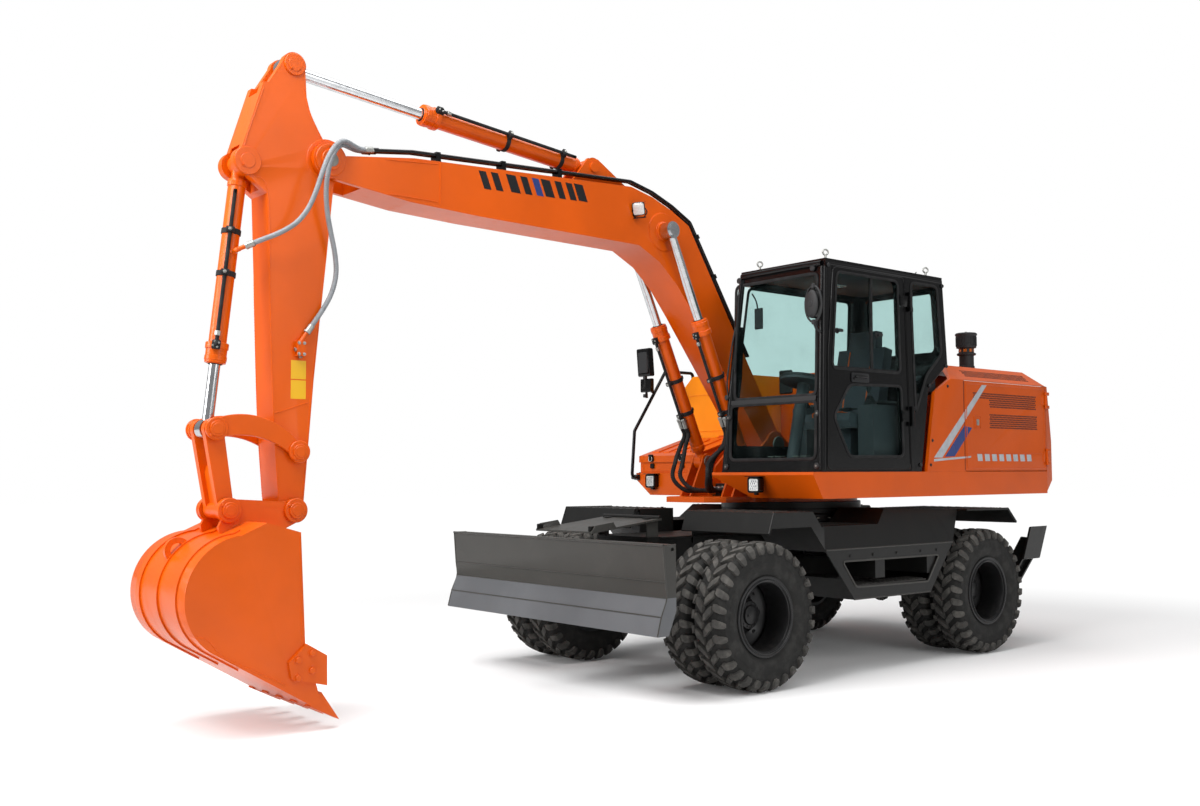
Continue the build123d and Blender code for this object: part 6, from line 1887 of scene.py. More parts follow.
# ---------------------------------------------------------------- cab
@dataclass
class Cab:
    """Cab: window seals, door furniture, wiper, roof, trims and the operator's fittings."""

    left_y: float = 1.22
    right_y: float = 0.172
    right_top_y: float = 0.345
    floor_z: float = 1.545
    top_z: float = 3.14
    roof_z: float = 3.185
    front_low_x: float = 1.029
    front_high_x: float = 0.969
    seat_y: float = 0.715

    def __post_init__(self) -> None:
        """Work out the four walls; heights on them are measured from the floor."""
        rise = self.top_z - self.floor_z
        fall, lean = self.front_high_x - self.front_low_x, self.right_top_y - self.right_y
        front, right = math.hypot(rise, fall), math.hypot(rise, lean)
        self.left = Facing.LEFT.at(self.left_y)
        self.front = Wall((self.front_low_x, 0, self.floor_z), Y_AXIS, (fall / front, 0, rise / front),
                          (rise / front, 0, -fall / front))
        self.right = Wall((0, self.right_y, self.floor_z), X_AXIS, (0, lean / right, rise / right),
                          (0, -rise / right, lean / right))
        self.rear = Wall((-0.6, 0, 2.44), Y_AXIS, (0.0741, 0, 0.99725), (-0.99725, 0, 0.0741))

    def build(self) -> None:
        """Make and dress every part of the cab."""
        self.seals()
        self.front_details()
        self.door_details()
        self.corner_posts()
        self.roof()
        self.wiper()
        self.interior()
        self.mirror_details()

    def seals(self) -> None:
        """Rubber frames round every window, and the bars between the door's panes."""
        low = self.floor_z
        quarter = [(-0.142, 2.01), (-0.102, 3.085), (-0.47, 3.085), (-0.52, 2.52), (-0.3, 2.33)]
        right = [(-0.25, 0.745), (-0.48, 0.955), (-0.44, 1.515), (0.86, 1.515), (0.93, 0.555),
                 (0.93, 0.205), (0.06, 0.205)]
        fixed = [self.left.gasket(quarter, WINDOW_CORNER, 0.024, 0.007),
                 self.right.gasket(right, WINDOW_CORNER, 0.024, 0.007),
                 self.front.gasket(rect(0.3, 2.125 - low, 1.15, 3.06 - low), WINDOW_CORNER, 0.026, 0.008),
                 self.front.gasket(rect(0.262, 1.64 - low, 1.15, 2.085 - low), WINDOW_CORNER, 0.026, 0.008),
                 self.rear.gasket(rect(0.45, 0.1, 1.13, 0.62), WINDOW_CORNER, 0.024, 0.007)]
        piece("cab_window_seals", fixed, "seal", "upper")
        upper = [(0.052, 2.33), (0.068, 3.075), (0.835, 3.075), (0.905, 2.33)]
        lower = [(0.03, 1.665), (0.045, 2.23), (0.7, 2.215), (0.895, 1.965), (0.715, 1.66)]
        door = [self.left.gasket(outline, WINDOW_CORNER, 0.022, 0.007) for outline in (upper, lower)]
        door += [self.left.sheet([(0.395, 2.33), (0.418, 2.33), (0.412, 3.075), (0.389, 3.075)], -0.024,
                                 -0.006), self.left.sheet(rect(0.06, 2.334, 0.9, 2.352), -0.024, -0.002)]
        piece("cab_door_seals", door, "seal", "cab_door")

    def front_details(self) -> None:
        """Windscreen split bar, its stops and the screws of the lower pane."""
        wall, low = self.front, self.floor_z
        forms = [wall.sheet(rect(0.262, 2.088 - low, 1.15, 2.122 - low), -0.004, 0.01, 0.006)]
        forms += [wall.disc((y, z - low), 0.004, 0.024, 0.0, 0.018, 0.005, 28)
                  for y, z in ((0.252, 1.985), (1.17, 1.985), (0.232, 1.59), (1.168, 1.59), (0.345, 3.098),
                               (1.11, 3.098))]
        piece("windscreen_stops", forms, "plastic", "upper")
        screws = [bolt(wall.place((y, z - low), 0.021), wall.out, 0.008, 0.005, False)
                  for y, z in ((0.252, 1.985), (1.17, 1.985), (0.232, 1.59), (1.168, 1.59))]
        piece("windscreen_screws", screws, "steel", "upper")

    def door_details(self) -> None:
        """Handle in its dished plate, window catches, hinge straps, edge bead and bump stops."""
        wall = self.left
        plate = [wall.sheet(rect(0.47, 2.235, 0.68, 2.306), -0.002, 0.01, 0.016),
                 wall.sheet(rect(0.5, 2.25, 0.65, 2.292), 0.008, 0.013, 0.012)]
        lever = [pipe([wall.place((u, v), lift) for u, v, lift in (
            (0.515, 2.276, 0.01), (0.525, 2.276, 0.03), (0.58, 2.277, 0.036), (0.635, 2.276, 0.032),
            (0.645, 2.276, 0.012))], 0.009, 12)]
        catches = []
        for u, v in ((0.83, 2.62), (0.34, 2.62)):
            catches += [wall.disc((u, v), -0.014, 0.022, 0.0, 0.012, 0.003, 24),
                        wall.disc((u, v), -0.004, 0.012, 0.0, 0.026, 0.004, 20),
                        wall.sheet([(u - 0.034, v - 0.01), (u + 0.014, v - 0.014), (u + 0.014, v + 0.014),
                                    (u - 0.034, v + 0.01)], 0.018, 0.026, 0.008)]
        piece("cab_door_handle", plate + catches, "plastic", "cab_door")
        piece("cab_door_lever", [*lever, wall.disc((0.66, 2.262), 0.009, 0.01, 0.0, 0.006, 0.002, 20)],
              "black", "cab_door")
        straps = []
        for z in (1.99, 2.918):
            straps += [wall.sheet(rect(-0.004, z - 0.042, 0.056, z + 0.042), 0.012, 0.017, 0.006)]
            straps += [bolt(wall.place((u, z + v), 0.017), wall.out, 0.008, 0.006) for u in (0.024, 0.044)
                       for v in (-0.026, 0.026)]
        piece("cab_door_straps", straps, "black", "cab_door")
        edges = rounded([(-0.062, 1.568), (-0.012, 3.11), (0.88, 3.11), (0.955, 2.4), (0.978, 1.568)], 0.05)
        bead = wall.place(np.vstack([edges, edges[:1]]), 0.001)
        piece("cab_door_bead", tube(bead, 0.0045, 8), "black", "cab_door")
        bumps = [wall.disc((u, v), 0.0, 0.016, 0.0, 0.014, 0.004, 24)
                 for u, v in ((-0.335, 2.25), (-0.575, 2.425), (-0.19, 1.6), (0.94, 3.112), (-0.54, 3.095))]
        piece("cab_bump_stops", bumps, "plastic", "upper")

    def corner_posts(self) -> None:
        """Rounded covers along the posts, the gutter and the sill."""
        forms = []
        for y, radius in ((1.197, 0.03), (0.196, 0.024)):
            top_y = y if y > 1 else 0.366
            path = np.array([(1.018, y, 1.56), (1.008, (y * 2 + top_y) / 3, 2.09),
                             (0.99, (y + top_y * 2) / 3, 2.62), (0.972, top_y, 3.1)])
            forms.append(pipe(path - (0.004, 0, 0), radius, 16))
        forms.append(pipe([(0.975, 0.372, 3.125), (0.978, 0.8, 3.128), (0.972, 1.19, 3.125)], 0.024, 16))
        forms.append(pipe([(0.962, 1.198, 3.128), (0.2, 1.2, 3.13), (-0.53, 1.198, 3.125)], 0.024, 16))
        forms.append(pipe([(-0.545, 1.19, 3.125), (-0.548, 0.8, 3.128), (-0.545, 0.372, 3.122)], 0.022, 16))
        line = rounded([(-0.214, 1.57), (-0.325, 2.235), (-0.592, 2.44), (-0.545, 3.1)], 0.05)[7:-7]
        forms.append(tube(np.stack([line[:, 0] + 0.008, np.full(len(line), 1.206), line[:, 1]], -1), 0.017,
                          12))
        piece("cab_corner_covers", forms, "black", "upper")
        sill = self.front.sheet(rect(0.2, 0.006, 1.195, 0.062), -0.002, 0.008, 0.01)
        piece("cab_front_sill", sill, "black", "upper")

    def roof(self) -> None:
        """Raised hatch, ribs, four eye-bolts and an aerial base."""
        top = Facing.UP.at(self.roof_z)
        hatch = [top.sheet(rect(0.1, 0.52, 0.8, 1.06), -0.002, 0.016, 0.06),
                 top.sheet(rect(0.16, 0.58, 0.74, 1.0), 0.014, 0.024, 0.05)]
        ribs = [bar((-0.42, y, self.roof_z - 0.002), (0.02, y + 0.05, self.roof_z + 0.01), 0.004)
                for y in (0.5, 0.66, 0.82, 0.98)]
        piece("cab_roof_hatch", hatch + ribs, "black", "upper")
        eyes = []
        for x, y in ((0.86, 0.46), (0.86, 1.135), (-0.44, 0.46), (-0.44, 1.135)):
            base = np.array([x, y, 3.163])
            eyes += [disc(base, Z_AXIS, 0.022, 0.0, 0.008, 0.002, 24),
                     disc(base, Z_AXIS, 0.009, 0.0, 0.052, 0.002, 12),
                     disc(base, Z_AXIS, 0.015, 0.008, 0.02, 0.002, 6),
                     tube(ring_path(tuple(base + (0, 0, 0.068)), (0.5, 0.87, 0), 0.021), 0.0065, 12)]
        piece("cab_eye_bolts", eyes, "zinc", "upper")
        aerial = [disc((-0.3, 1.12, 3.164), Z_AXIS, 0.026, 0.0, 0.016, 0.005, 24),
                  pipe([(-0.3, 1.12, 3.17), (-0.33, 1.12, 3.205)], 0.004, 8, 4)]
        piece("cab_aerial_base", aerial, "plastic", "upper")

    def wiper(self) -> None:
        """Wiper motor's cap, arm and blade on the windscreen's right side."""
        wall, low = self.front, self.floor_z
        spot = [wall.place((y, z - low), lift) for y, z, lift in (
            (0.24, 2.15, 0.012), (0.262, 2.3, 0.046), (0.3, 2.56, 0.04), (0.33, 2.72, 0.03))]
        blade = [wall.place((y, z - low), 0.02) for y, z in ((0.316, 2.36), (0.352, 3.0))]
        forms = [pipe(spot, 0.0065, 10), disc(spot[0], wall.out, 0.022, -0.014, 0.022, 0.004, 24),
                 tube(blade, 0.006, 8), bar_along(
                     (blade[0] + blade[1]) / 2, (blade[1] - blade[0]) / np.linalg.norm(blade[1] - blade[0]),
                     np.array(wall.out), (0.6, 0.004, 0.024)),
                 tube([spot[3], (blade[0] + blade[1]) / 2], 0.008, 8)]
        piece("cab_wiper", forms, "plastic", "upper")

    def interior(self) -> None:
        """Seat seams, belt, floor mat, lever boots, pods, screen, pedals, wheel spokes and a roof lamp."""
        y, floor = self.seat_y, self.floor_z + 0.03
        mat = [bar((x, 0.3, floor), (x + 0.012, 1.13, floor + 0.012), 0.003)
               for x in np.arange(0.32, 0.92, 0.03)]
        mat.append(bar((0.3, 0.28, floor - 0.001), (0.95, 1.15, floor + 0.006), 0.003))
        piece("cab_floor_mat", mat, "seal", "upper")
        boots, knobs, dark = [], [], []
        for side in (-1, 1):
            at = np.array([0.232, y + side * 0.34, 2.08])
            profile = [(0.0, 0.052)] + [(0.01 + k * 0.007, 0.048 - k * 0.003 + 0.004 * (k % 2))
                                        for k in range(9)] + [(0.078, 0.014)]
            boots.append(lathe(profile, at, (0.13, 0, 0.99), 28))
            knobs.append(lathe([(0.0, 0.012), (0.02, 0.018), (0.06, 0.024), (0.1, 0.022), (0.125, 0.014),
                                (0.132, 0.001)], at + (0.016, 0, 0.098), (0.13, 0, 0.99), 24))
            dark.append(bar((-0.09, at[1] - 0.062, 2.078), (0.14, at[1] + 0.062, 2.118), 0.018))
            for k in range(4):
                dark.append(disc((0.285 - 0.03, at[1] - 0.045 + k * 0.03, 2.079), Z_AXIS, 0.009, 0.0, 0.008,
                                 0.002, 16))
        screen = [bar((0.4, 0.262, 2.2), (0.43, 0.4, 2.4), 0.01)]
        piece("cab_lever_boots", boots, "seal", "upper")
        piece("cab_lever_knobs", knobs + dark + screen, "plastic", "upper")
        piece("cab_screen_glass", bar((0.396, 0.275, 2.215), (0.402, 0.387, 2.385), 0.003), "decal_blue",
              "upper")
        across = np.array([0.0, 1.0, 0.0])
        seams = []
        for s in (-0.115, 0.115):
            seams.append(pipe([(-0.075, y + s, 2.01), (0.15, y + s, 2.02), (0.375, y + s, 2.028),
                               (0.398, y + s, 1.99)], 0.005, 8))
            seams.append(pipe([(0.016, y + s, 2.05), (-0.04, y + s, 2.3), (-0.104, y + s, 2.56)], 0.005, 8))
        seams.append(pipe([(0.1, y - 0.235, 2.018), (0.1, y, 2.02), (0.1, y + 0.235, 2.018)], 0.005, 8))
        piece("seat_piping", seams, "orange", "upper")
        belt = [pipe([(-0.02, y - 0.262, 1.96), (0.04, y - 0.2, 2.05), (0.1, y, 2.065),
                      (0.06, y + 0.2, 2.05), (-0.02, y + 0.262, 1.96)], 0.006, 8, 8),
                bar((0.07, y - 0.045, 2.05), (0.13, y + 0.045, 2.078), 0.006)]
        bellows = lathe([(0.0, 0.15)] + [(0.01 + k * 0.024, 0.155 if k % 2 else 0.14) for k in range(12)]
                        + [(0.3, 0.14)], (0.1, y, 1.6), Z_AXIS, 32)
        piece("seat_bellows", bellows, "seal", "upper")
        piece("seat_belt", belt, "seal", "upper")
        wheel_at, lean = np.array([0.634, y, 2.285]), np.array([-0.226, 0.0, 0.974])
        spokes = [tube([wheel_at + lean * 0.004, wheel_at
                        + 0.172 * (math.cos(t) * np.array([0.974, 0, 0.226]) + math.sin(t) * across)],
                       0.012, 10) for t in (0.3, TAU / 3 + 0.3, 2 * TAU / 3 + 0.3)]
        spokes += [disc(wheel_at, lean, 0.052, -0.02, 0.016, 0.006, 32),
                   tube(ring_path(tuple(wheel_at), tuple(lean), 0.18), 0.013, 14)]
        piece("steering_wheel_rim", spokes, "plastic", "upper")
        pedals = []
        for s in (-0.17, -0.09, 0.09, 0.17):
            pedals += [bar((0.8, y + s - 0.03, floor + 0.09), (0.86, y + s + 0.03, floor + 0.098), 0.002),
                       tube([(0.84, y + s, floor + 0.09), (0.8, y + s, floor)], 0.008, 8)]
        piece("cab_pedals", pedals, "steel", "upper")
        liner = [bar((-0.5, 0.42, 3.086), (0.9, 1.16, 3.098), 0.006)]
        liner += [bar((-0.56, 0.44, 2.19), (-0.33, 1.14, 2.34), 0.02)]
        piece("cab_headliner", liner, "interior", "upper")
        piece("cab_roof_lamp", bar((0.16, 0.7, 3.074), (0.3, 0.78, 3.088), 0.004), "lens", "upper")
        inner = [pipe([(0.915, 0.42, 2.99), (0.89, 0.44, 2.93), (0.88, 0.45, 2.86)], 0.006, 8, 5),
                 bar((0.868, 0.41, 2.7), (0.884, 0.5, 2.87), 0.007)]
        piece("cab_inner_mirror", inner, "plastic", "upper")

    def mirror_details(self) -> None:
        """Mirror faces, backs, knuckles and the feet of the rail."""
        oval = ring_path((1.083, 1.21, 2.8), X_AXIS, 1.0, 0.0, 41)[:-1]
        centre = np.array([1.0835, 1.21, 2.8])
        shape = (oval - (1.083, 1.21, 2.8)) * (1, 0.054, 0.098) + centre
        faces = [prism(shape, (-0.002, 0, 0))]
        piece("mirror_faces", faces, "mirror", "upper")
        back = [np.array([1.085 + 0.034 + d, 1.21, 2.8]) + (oval - (1.083, 1.21, 2.8)) * (
            0, 0.062 * s, 0.108 * s)
                for d, s in ((-0.004, 1.0), (0.008, 0.92), (0.014, 0.74), (0.017, 0.45), (0.018, 0.1))]
        rims = [skin(np.array(back), round_v=True, ends=True)]
        loop = np.array([1.1, 1.21, 2.8]) + (oval - (1.083, 1.21, 2.8)) * (0, 0.078, 0.135)
        rims.append(tube(np.vstack([loop, loop[:1]]), 0.008, 10))
        for z in (2.665, 2.935):
            rims += [disc((1.1, 1.21, z), Z_AXIS, 0.016, -0.018, 0.018, 0.004, 20)]
        rims += [disc((1.11, 1.21, 2.8), X_AXIS, 0.024, 0.0, 0.03, 0.005, 24),
                 pipe([(1.085, 1.19, 2.87), (1.1, 1.2, 2.905), (1.1, 1.21, 2.935)], 0.01, 12, 5),
                 pipe([(1.018, 1.205, 2.6), (1.06, 1.208, 2.61), (1.095, 1.21, 2.655)], 0.01, 12, 5)]
        right_back = [bar((0.618, -1.285, 2.462), (0.64, -1.155, 2.672), 0.01)]
        joints = [disc((0.6, -1.226, z), Z_AXIS, 0.02, -0.016, 0.016, 0.004, 20) for z in (2.43, 2.26)]
        feet = [bar((0.7, -1.262, 1.48), (0.716, -1.19, 1.53), 0.004),
                bar((0.706, -1.256, 1.486), (0.76, -1.196, 1.524), 0.008)]
        piece("mirror_backs", rims + right_back + joints, "plastic", "upper")
        piece("rail_feet", feet, "black", "upper")


# ---------------------------------------------------------------- house
@dataclass
class House:
    """Engine house, tank, toolbox and tail: grilles, latches, bands, lamps, caps and rails."""

    half: float = 1.245
    fold_z: float = 2.32
    top_z: float = 2.452
    slope: float = 0.15
    deck_z: float = 1.545
    tail_x: float = -2.32

    def build(self) -> None:
        """Make and dress every part of the house."""
        for side, name in ((1, "left"), (-1, "right")):
            self.door_side(side, name)
        self.hood()
        self.pre_cleaner()
        self.tail()
        self.tank()
        self.toolbox()
        self.deck()
        self.foot_hoses()

    def wall(self, side: int) -> Wall:
        """The house's flat side, left (1) or right (-1)."""
        return flank(side, side * self.half)

    def eave(self, side: int) -> Wall:
        """The bevelled eave over one side.

        Args:
            side: 1 for left, -1 for right.

        Returns:
            The slope as a wall whose heights are measured along it from the fold.
        """
        rise = self.top_z - self.fold_z
        run = math.hypot(rise, self.slope)
        return Wall((0, side * self.half, self.fold_z), X_AXIS, (0, -side * self.slope / run, rise / run),
                    (0, side * rise / run, self.slope / run))

    def door_side(self, side: int, name: str) -> None:
        """Grilles, latch, bands and bars of one side.

        Args:
            side: 1 for left, -1 for right.
            name: its name.
        """
        wall, eave, door = self.wall(side), self.eave(side), f"engine_door_{name}"
        # the door's and eave's grille holes are near-black faces: painted shade in place of the dark behind
        # open holes
        holes = [wall.holes((-1.925, 2.104), (-0.934, 2.222), *GRILLE, 0.245),
                 wall.holes((-1.938, 1.924), (-1.18, 2.046), *GRILLE)]
        piece(f"{door}_grilles", holes, "grille", door, smooth=20)
        piece(f"eave_grille_{name}", eave.holes((-1.883, 0.06), (-0.891, 0.15), *GRILLE), "grille", "upper",
              smooth=20)
        latch = [wall.gasket(rect(-1.04, 1.905, -0.936, 2.022), 0.014, 0.008, 0.004, 0.0)]
        piece(f"{door}_latch_dish", latch + [wall.block((-1.028, 1.918), (-0.948, 2.01), 0.003, 0.012)],
              "house_orange", door)
        piece(f"{door}_latch", [
            wall.block((-1.006, 1.938), (-0.97, 1.99), 0.007, 0.01),
            wall.disc((-0.988, 1.962), 0.006, 0.01, 0.0, 0.005, 0.002, 24)], "zinc", door)
        creases = [wall.sheet(rect(-2.08, 1.703, -0.822, 1.709), -0.001, 0.0025)]
        creases.append(wall.gasket(rect(-2.076, 1.568, -0.824, 2.298), 0.03, 0.01, 0.003, 0.0))
        piece(f"{door}_creases", creases, "house_orange", door)
        # slanting bands, cut where the door begins, and a row of plain bars
        bands = {"decal_silver": [
            [(-0.345, 1.66), (-0.462, 1.66), (-1.15, 2.296), (-1.078, 2.296)],
            [(-0.345, 1.648), (-0.345, 1.628), (-0.88, 1.662), (-0.88, 1.676)]],
                 "decal_blue": [[(-0.5, 1.668), (-0.64, 1.672), (-0.905, 1.915), (-0.79, 1.93)]]}
        for coat, outlines in bands.items():
            for body, (low, high) in (("upper", (-0.796, 0.0)), (door, (-2.0, -0.812))):
                shapes = [part for part in (clipped(outline, low, high) for outline in outlines)
                          if len(part) > 2]
                if shapes and (side > 0 or body == door):
                    piece(f"{coat}_{body}_{name}", [wall.sheet(shape, -0.001, 0.0014) for shape in shapes],
                          coat, body, smooth=20)
        bars = [wall.sheet([(x, 1.634), (x + 0.072, 1.634), (x + 0.082, 1.694), (x + 0.01, 1.694)], -0.001,
                           0.0014) for x in -1.84 + np.arange(8) * 0.112]
        piece(f"{door}_bars", bars, "decal_silver", door, smooth=20)
        if side > 0:
            piece("house_side_bolts", wall.bolts([(-0.33, 1.8), (-0.56, 2.255), (-0.3, 1.6)], 0.01, 0.008),
                  "plastic", "upper")
            piece("house_side_seam", wall.sheet(rect(-0.792, 1.56, -0.787, 2.31), -0.001, 0.0012), "grille",
                  "upper", smooth=20)

    def hood(self) -> None:
        """Ribs, framed vents, grab bars and latches on the hood."""
        top = Facing.UP.at(self.top_z + 0.042)
        ribs = [bar((-1.9, y, self.top_z + 0.04), (-1.05, y + 0.04, self.top_z + 0.052), 0.006)
                for y in (-0.52, -0.36, 0.32, 0.48)]
        piece("engine_hood_ribs", ribs, "house_orange", "engine_hood")
        # the vents' holes are near-black faces: painted shade in place of open holes
        piece("engine_hood_vents", [top.holes((-1.84, -0.22), (-1.12, 0.22), 0.026, 0.0095, 1.1)], "grille",
              "engine_hood", smooth=20)
        rim = top.gasket(rect(-1.87, -0.25, -1.09, 0.25), 0.03, 0.012, 0.006, 0.0)
        piece("engine_hood_rim", rim, "house_orange", "engine_hood")
        grab, catches = [], []
        for y in (-0.4, 0.4):
            path = [(-1.945, y - 0.07, self.top_z + 0.04), (-1.945, y - 0.07, self.top_z + 0.075),
                    (-1.945, y + 0.07, self.top_z + 0.075), (-1.945, y + 0.07, self.top_z + 0.04)]
            grab.append(pipe(path, 0.007, 10))
            catches += [bar((-1.992, y - 0.028, self.top_z + 0.006),
                            (-1.978, y + 0.028, self.top_z + 0.036), 0.004),
                        disc((-1.985, y, self.top_z + 0.03), Y_AXIS, 0.008, -0.024, 0.024, 0.002, 16)]
        piece("engine_hood_grabs", grab + catches, "black", "engine_hood")

    def pre_cleaner(self) -> None:
        """Finned cap, foot rings, amber windows and screws."""
        at = np.array([-1.38, 0.9, 0.0])
        cap = [lathe([(2.65, 0.068), (2.655, 0.086), (2.668, 0.088), (2.76, 0.088), (2.772, 0.096),
                      (2.782, 0.096), (2.79, 0.086), (2.794, 0.05), (2.795, 0.001)], at, Z_AXIS, 48),
               lathe([(2.585, 0.066), (2.59, 0.082), (2.604, 0.084), (2.612, 0.07)], at, Z_AXIS, 40),
               disc(at + (0, 0, 2.452), Z_AXIS, 0.088, 0.0, 0.012, 0.003, 40),
               disc(at + (0, 0, 2.47), Z_AXIS, 0.07, 0.0, 0.022, 0.003, 40)]
        fin = bar((0.084, -0.003, 2.672), (0.092, 0.003, 2.756), 0.001).moved(at)
        cap.append(fin.ring(Z_AXIS, at, 36))
        piece("pre_cleaner_cap", cap, "plastic", "upper")
        glow = bar((0.06, -0.014, 2.616), (0.0668, 0.014, 2.646), 0.002).moved(at)
        piece("pre_cleaner_windows", glow.ring(Z_AXIS, at, 8, 0.4), "amber", "upper")
        screws = bolt(at + (0.076, 0, 2.464), Z_AXIS, 0.006, 0.006).ring(Z_AXIS, at, 6)
        piece("pre_cleaner_screws",
              [screws, disc(at + (0.0, 0, 2.794), Z_AXIS, 0.012, 0.0, 0.01, 0.003, 6)], "zinc", "upper")

    def tail(self) -> None:
        """Tail lamps, lifting eyes, rubbing strip, groove, camera and tow pin."""
        x = self.tail_x
        lamps, lens, dark, steel = [], [], [], []
        for side in (-1, 1):
            low_y, high_y = sorted((side * 0.98, side * 1.13))
            wall = Wall((x + 0.047, 0, 0), Y_AXIS, Z_AXIS, (-1, 0, 0))
            lamps.append(wall.block((low_y, 1.6), (high_y, 1.86), 0.018, 0.014, -0.03))
            for z, coat in ((1.62, "red"), (1.745, "amber")):
                plate = wall.block((low_y + 0.014, z), (high_y - 0.014, z + 0.1), 0.026, 0.012, 0.016)
                (lens if coat == "amber" else dark).append(plate)
            steel += [tube(ring_path((-2.165, side * 0.62, 2.345), Y_AXIS, 0.042, 0.0, 40), 0.012, 12),
                      disc((-2.165, side * 0.62, 2.318), Z_AXIS, 0.036, 0.0, 0.01, 0.003, 28)]
        piece("tail_lamp_boxes", lamps, "black", "upper")
        piece("tail_lamp_amber", lens, "amber", "upper")
        piece("tail_lamp_red", dark, "red_lens", "upper")
        piece("counterweight_eyes", steel, "charcoal", "upper")
        t = np.linspace(-1, 1, 41)
        arc = np.stack([self.tail_x + 0.002 + 0.088 * t**2, 1.19 * t, np.full(41, 1.487)], -1)
        piece("tail_rubbing_strip", tube(arc - (0.004, 0, 0), 0.02, 10), "seal", "upper")
        groove = np.stack([self.tail_x + 0.006 + 0.088 * t**2, 1.19 * t, np.full(41, 1.7)], -1)
        piece("tail_groove", tube(groove, 0.0065, 8), "house_orange", "upper")
        camera = [bar((-2.275, -0.05, 2.285), (-2.215, 0.05, 2.345), 0.01),
                  disc((-2.27, 0.0, 2.315), (-1, 0, 0), 0.02, 0.0, 0.014, 0.003, 24)]
        piece("tail_camera", camera, "plastic", "upper")
        piece("tail_tow_pin", [disc((-2.21, 0.0, 1.36), Z_AXIS, 0.045, -0.02, 0.02, 0.005, 32)], "charcoal",
              "upper")

    def tank(self) -> None:
        """Filler cap, tread strips, panels, sight gauge and rail of the tank."""
        top = Facing.UP.at(self.top_z)
        cap = [lathe([(0.0, 0.058), (0.035, 0.058), (0.04, 0.066), (0.07, 0.066), (0.078, 0.058),
                      (0.08, 0.001)], (-0.1, -0.9, self.top_z), Z_AXIS, 40),
               bar((-0.15, -0.912, self.top_z + 0.078), (-0.05, -0.888, self.top_z + 0.096), 0.005)]
        piece("tank_cap", cap, "black", "upper")
        piece("tank_treads", [top.block((-0.46, -1.06), (-0.24, -0.64), 0.006, 0.02),
                              top.block((0.0, -1.06), (0.08, -0.64), 0.006, 0.02)], "tread", "upper")
        front = Facing.AHEAD.at(0.11)
        piece("tank_panel", [
            front.gasket(rect(-1.16, 1.93, -0.68, 2.28), 0.03, 0.012, 0.006, 0.0),
            front.bolts([(-1.19, 2.3), (-0.65, 2.3), (-1.19, 1.91), (-0.65, 1.91)], 0.01, 0.007)],
              "bright_orange", "upper")
        gauge = [front.block((-0.64, 2.02), (-0.612, 2.22), 0.016, 0.008)]
        piece("tank_gauge", gauge, "plastic", "upper")
        piece("tank_gauge_glass", front.block((-0.634, 2.04), (-0.618, 2.2), 0.02, 0.005, 0.012), "lens",
              "upper")
        side = self.wall(-1)
        piece("tank_side_panel", [side.gasket(rect(-0.52, 1.6, 0.06, 2.26), 0.04, 0.012, 0.004, 0.0)],
              "bright_orange", "upper")
        rail = [pipe([(0.05, -1.02, self.top_z), (0.05, -1.02, 2.55), (-0.02, -1.02, 2.6),
                      (-0.45, -1.02, 2.6), (-0.52, -1.02, 2.55), (-0.52, -1.02, self.top_z)], 0.014, 14, 8)]
        rail += [disc((x, -1.02, self.top_z), Z_AXIS, 0.03, 0.0, 0.008, 0.002, 24) for x in (0.05, -0.52)]
        piece("tank_rail", rail, "black", "upper")

    def toolbox(self) -> None:
        """Two toggle latches with their wires and hooks, and the frame on the box's front."""
        forms, zinc = [], []
        for y in (-1.03, -0.64):
            forms += [bar((0.7, y - 0.03, 1.65), (0.712, y + 0.03, 1.69), 0.004),
                      bar((0.706, y - 0.012, 1.645), (0.722, y + 0.012, 1.705), 0.004),
                      disc((0.714, y, 1.7), Y_AXIS, 0.012, -0.026, 0.026, 0.003, 20)]
            zinc += [pipe([(0.718, y - 0.018, 1.7), (0.722, y - 0.018, 1.655), (0.722, y + 0.018, 1.655),
                           (0.718, y + 0.018, 1.7)], 0.004, 8)]
        piece("toolbox_latches", forms, "black", "toolbox_lid")
        piece("toolbox_latch_wires", zinc, "zinc", "toolbox_lid")
        hooks = [bar((0.688, y - 0.024, 1.585), (0.706, y + 0.024, 1.63), 0.004) for y in (-1.03, -0.64)]
        piece("toolbox_latch_hooks", hooks, "black", "upper")
        front = Facing.AHEAD.at(0.688)
        piece("toolbox_front", front.gasket(rect(-1.17, 1.56, -0.52, 1.635), 0.02, 0.008, 0.003, 0.0),
              "house_orange", "upper")

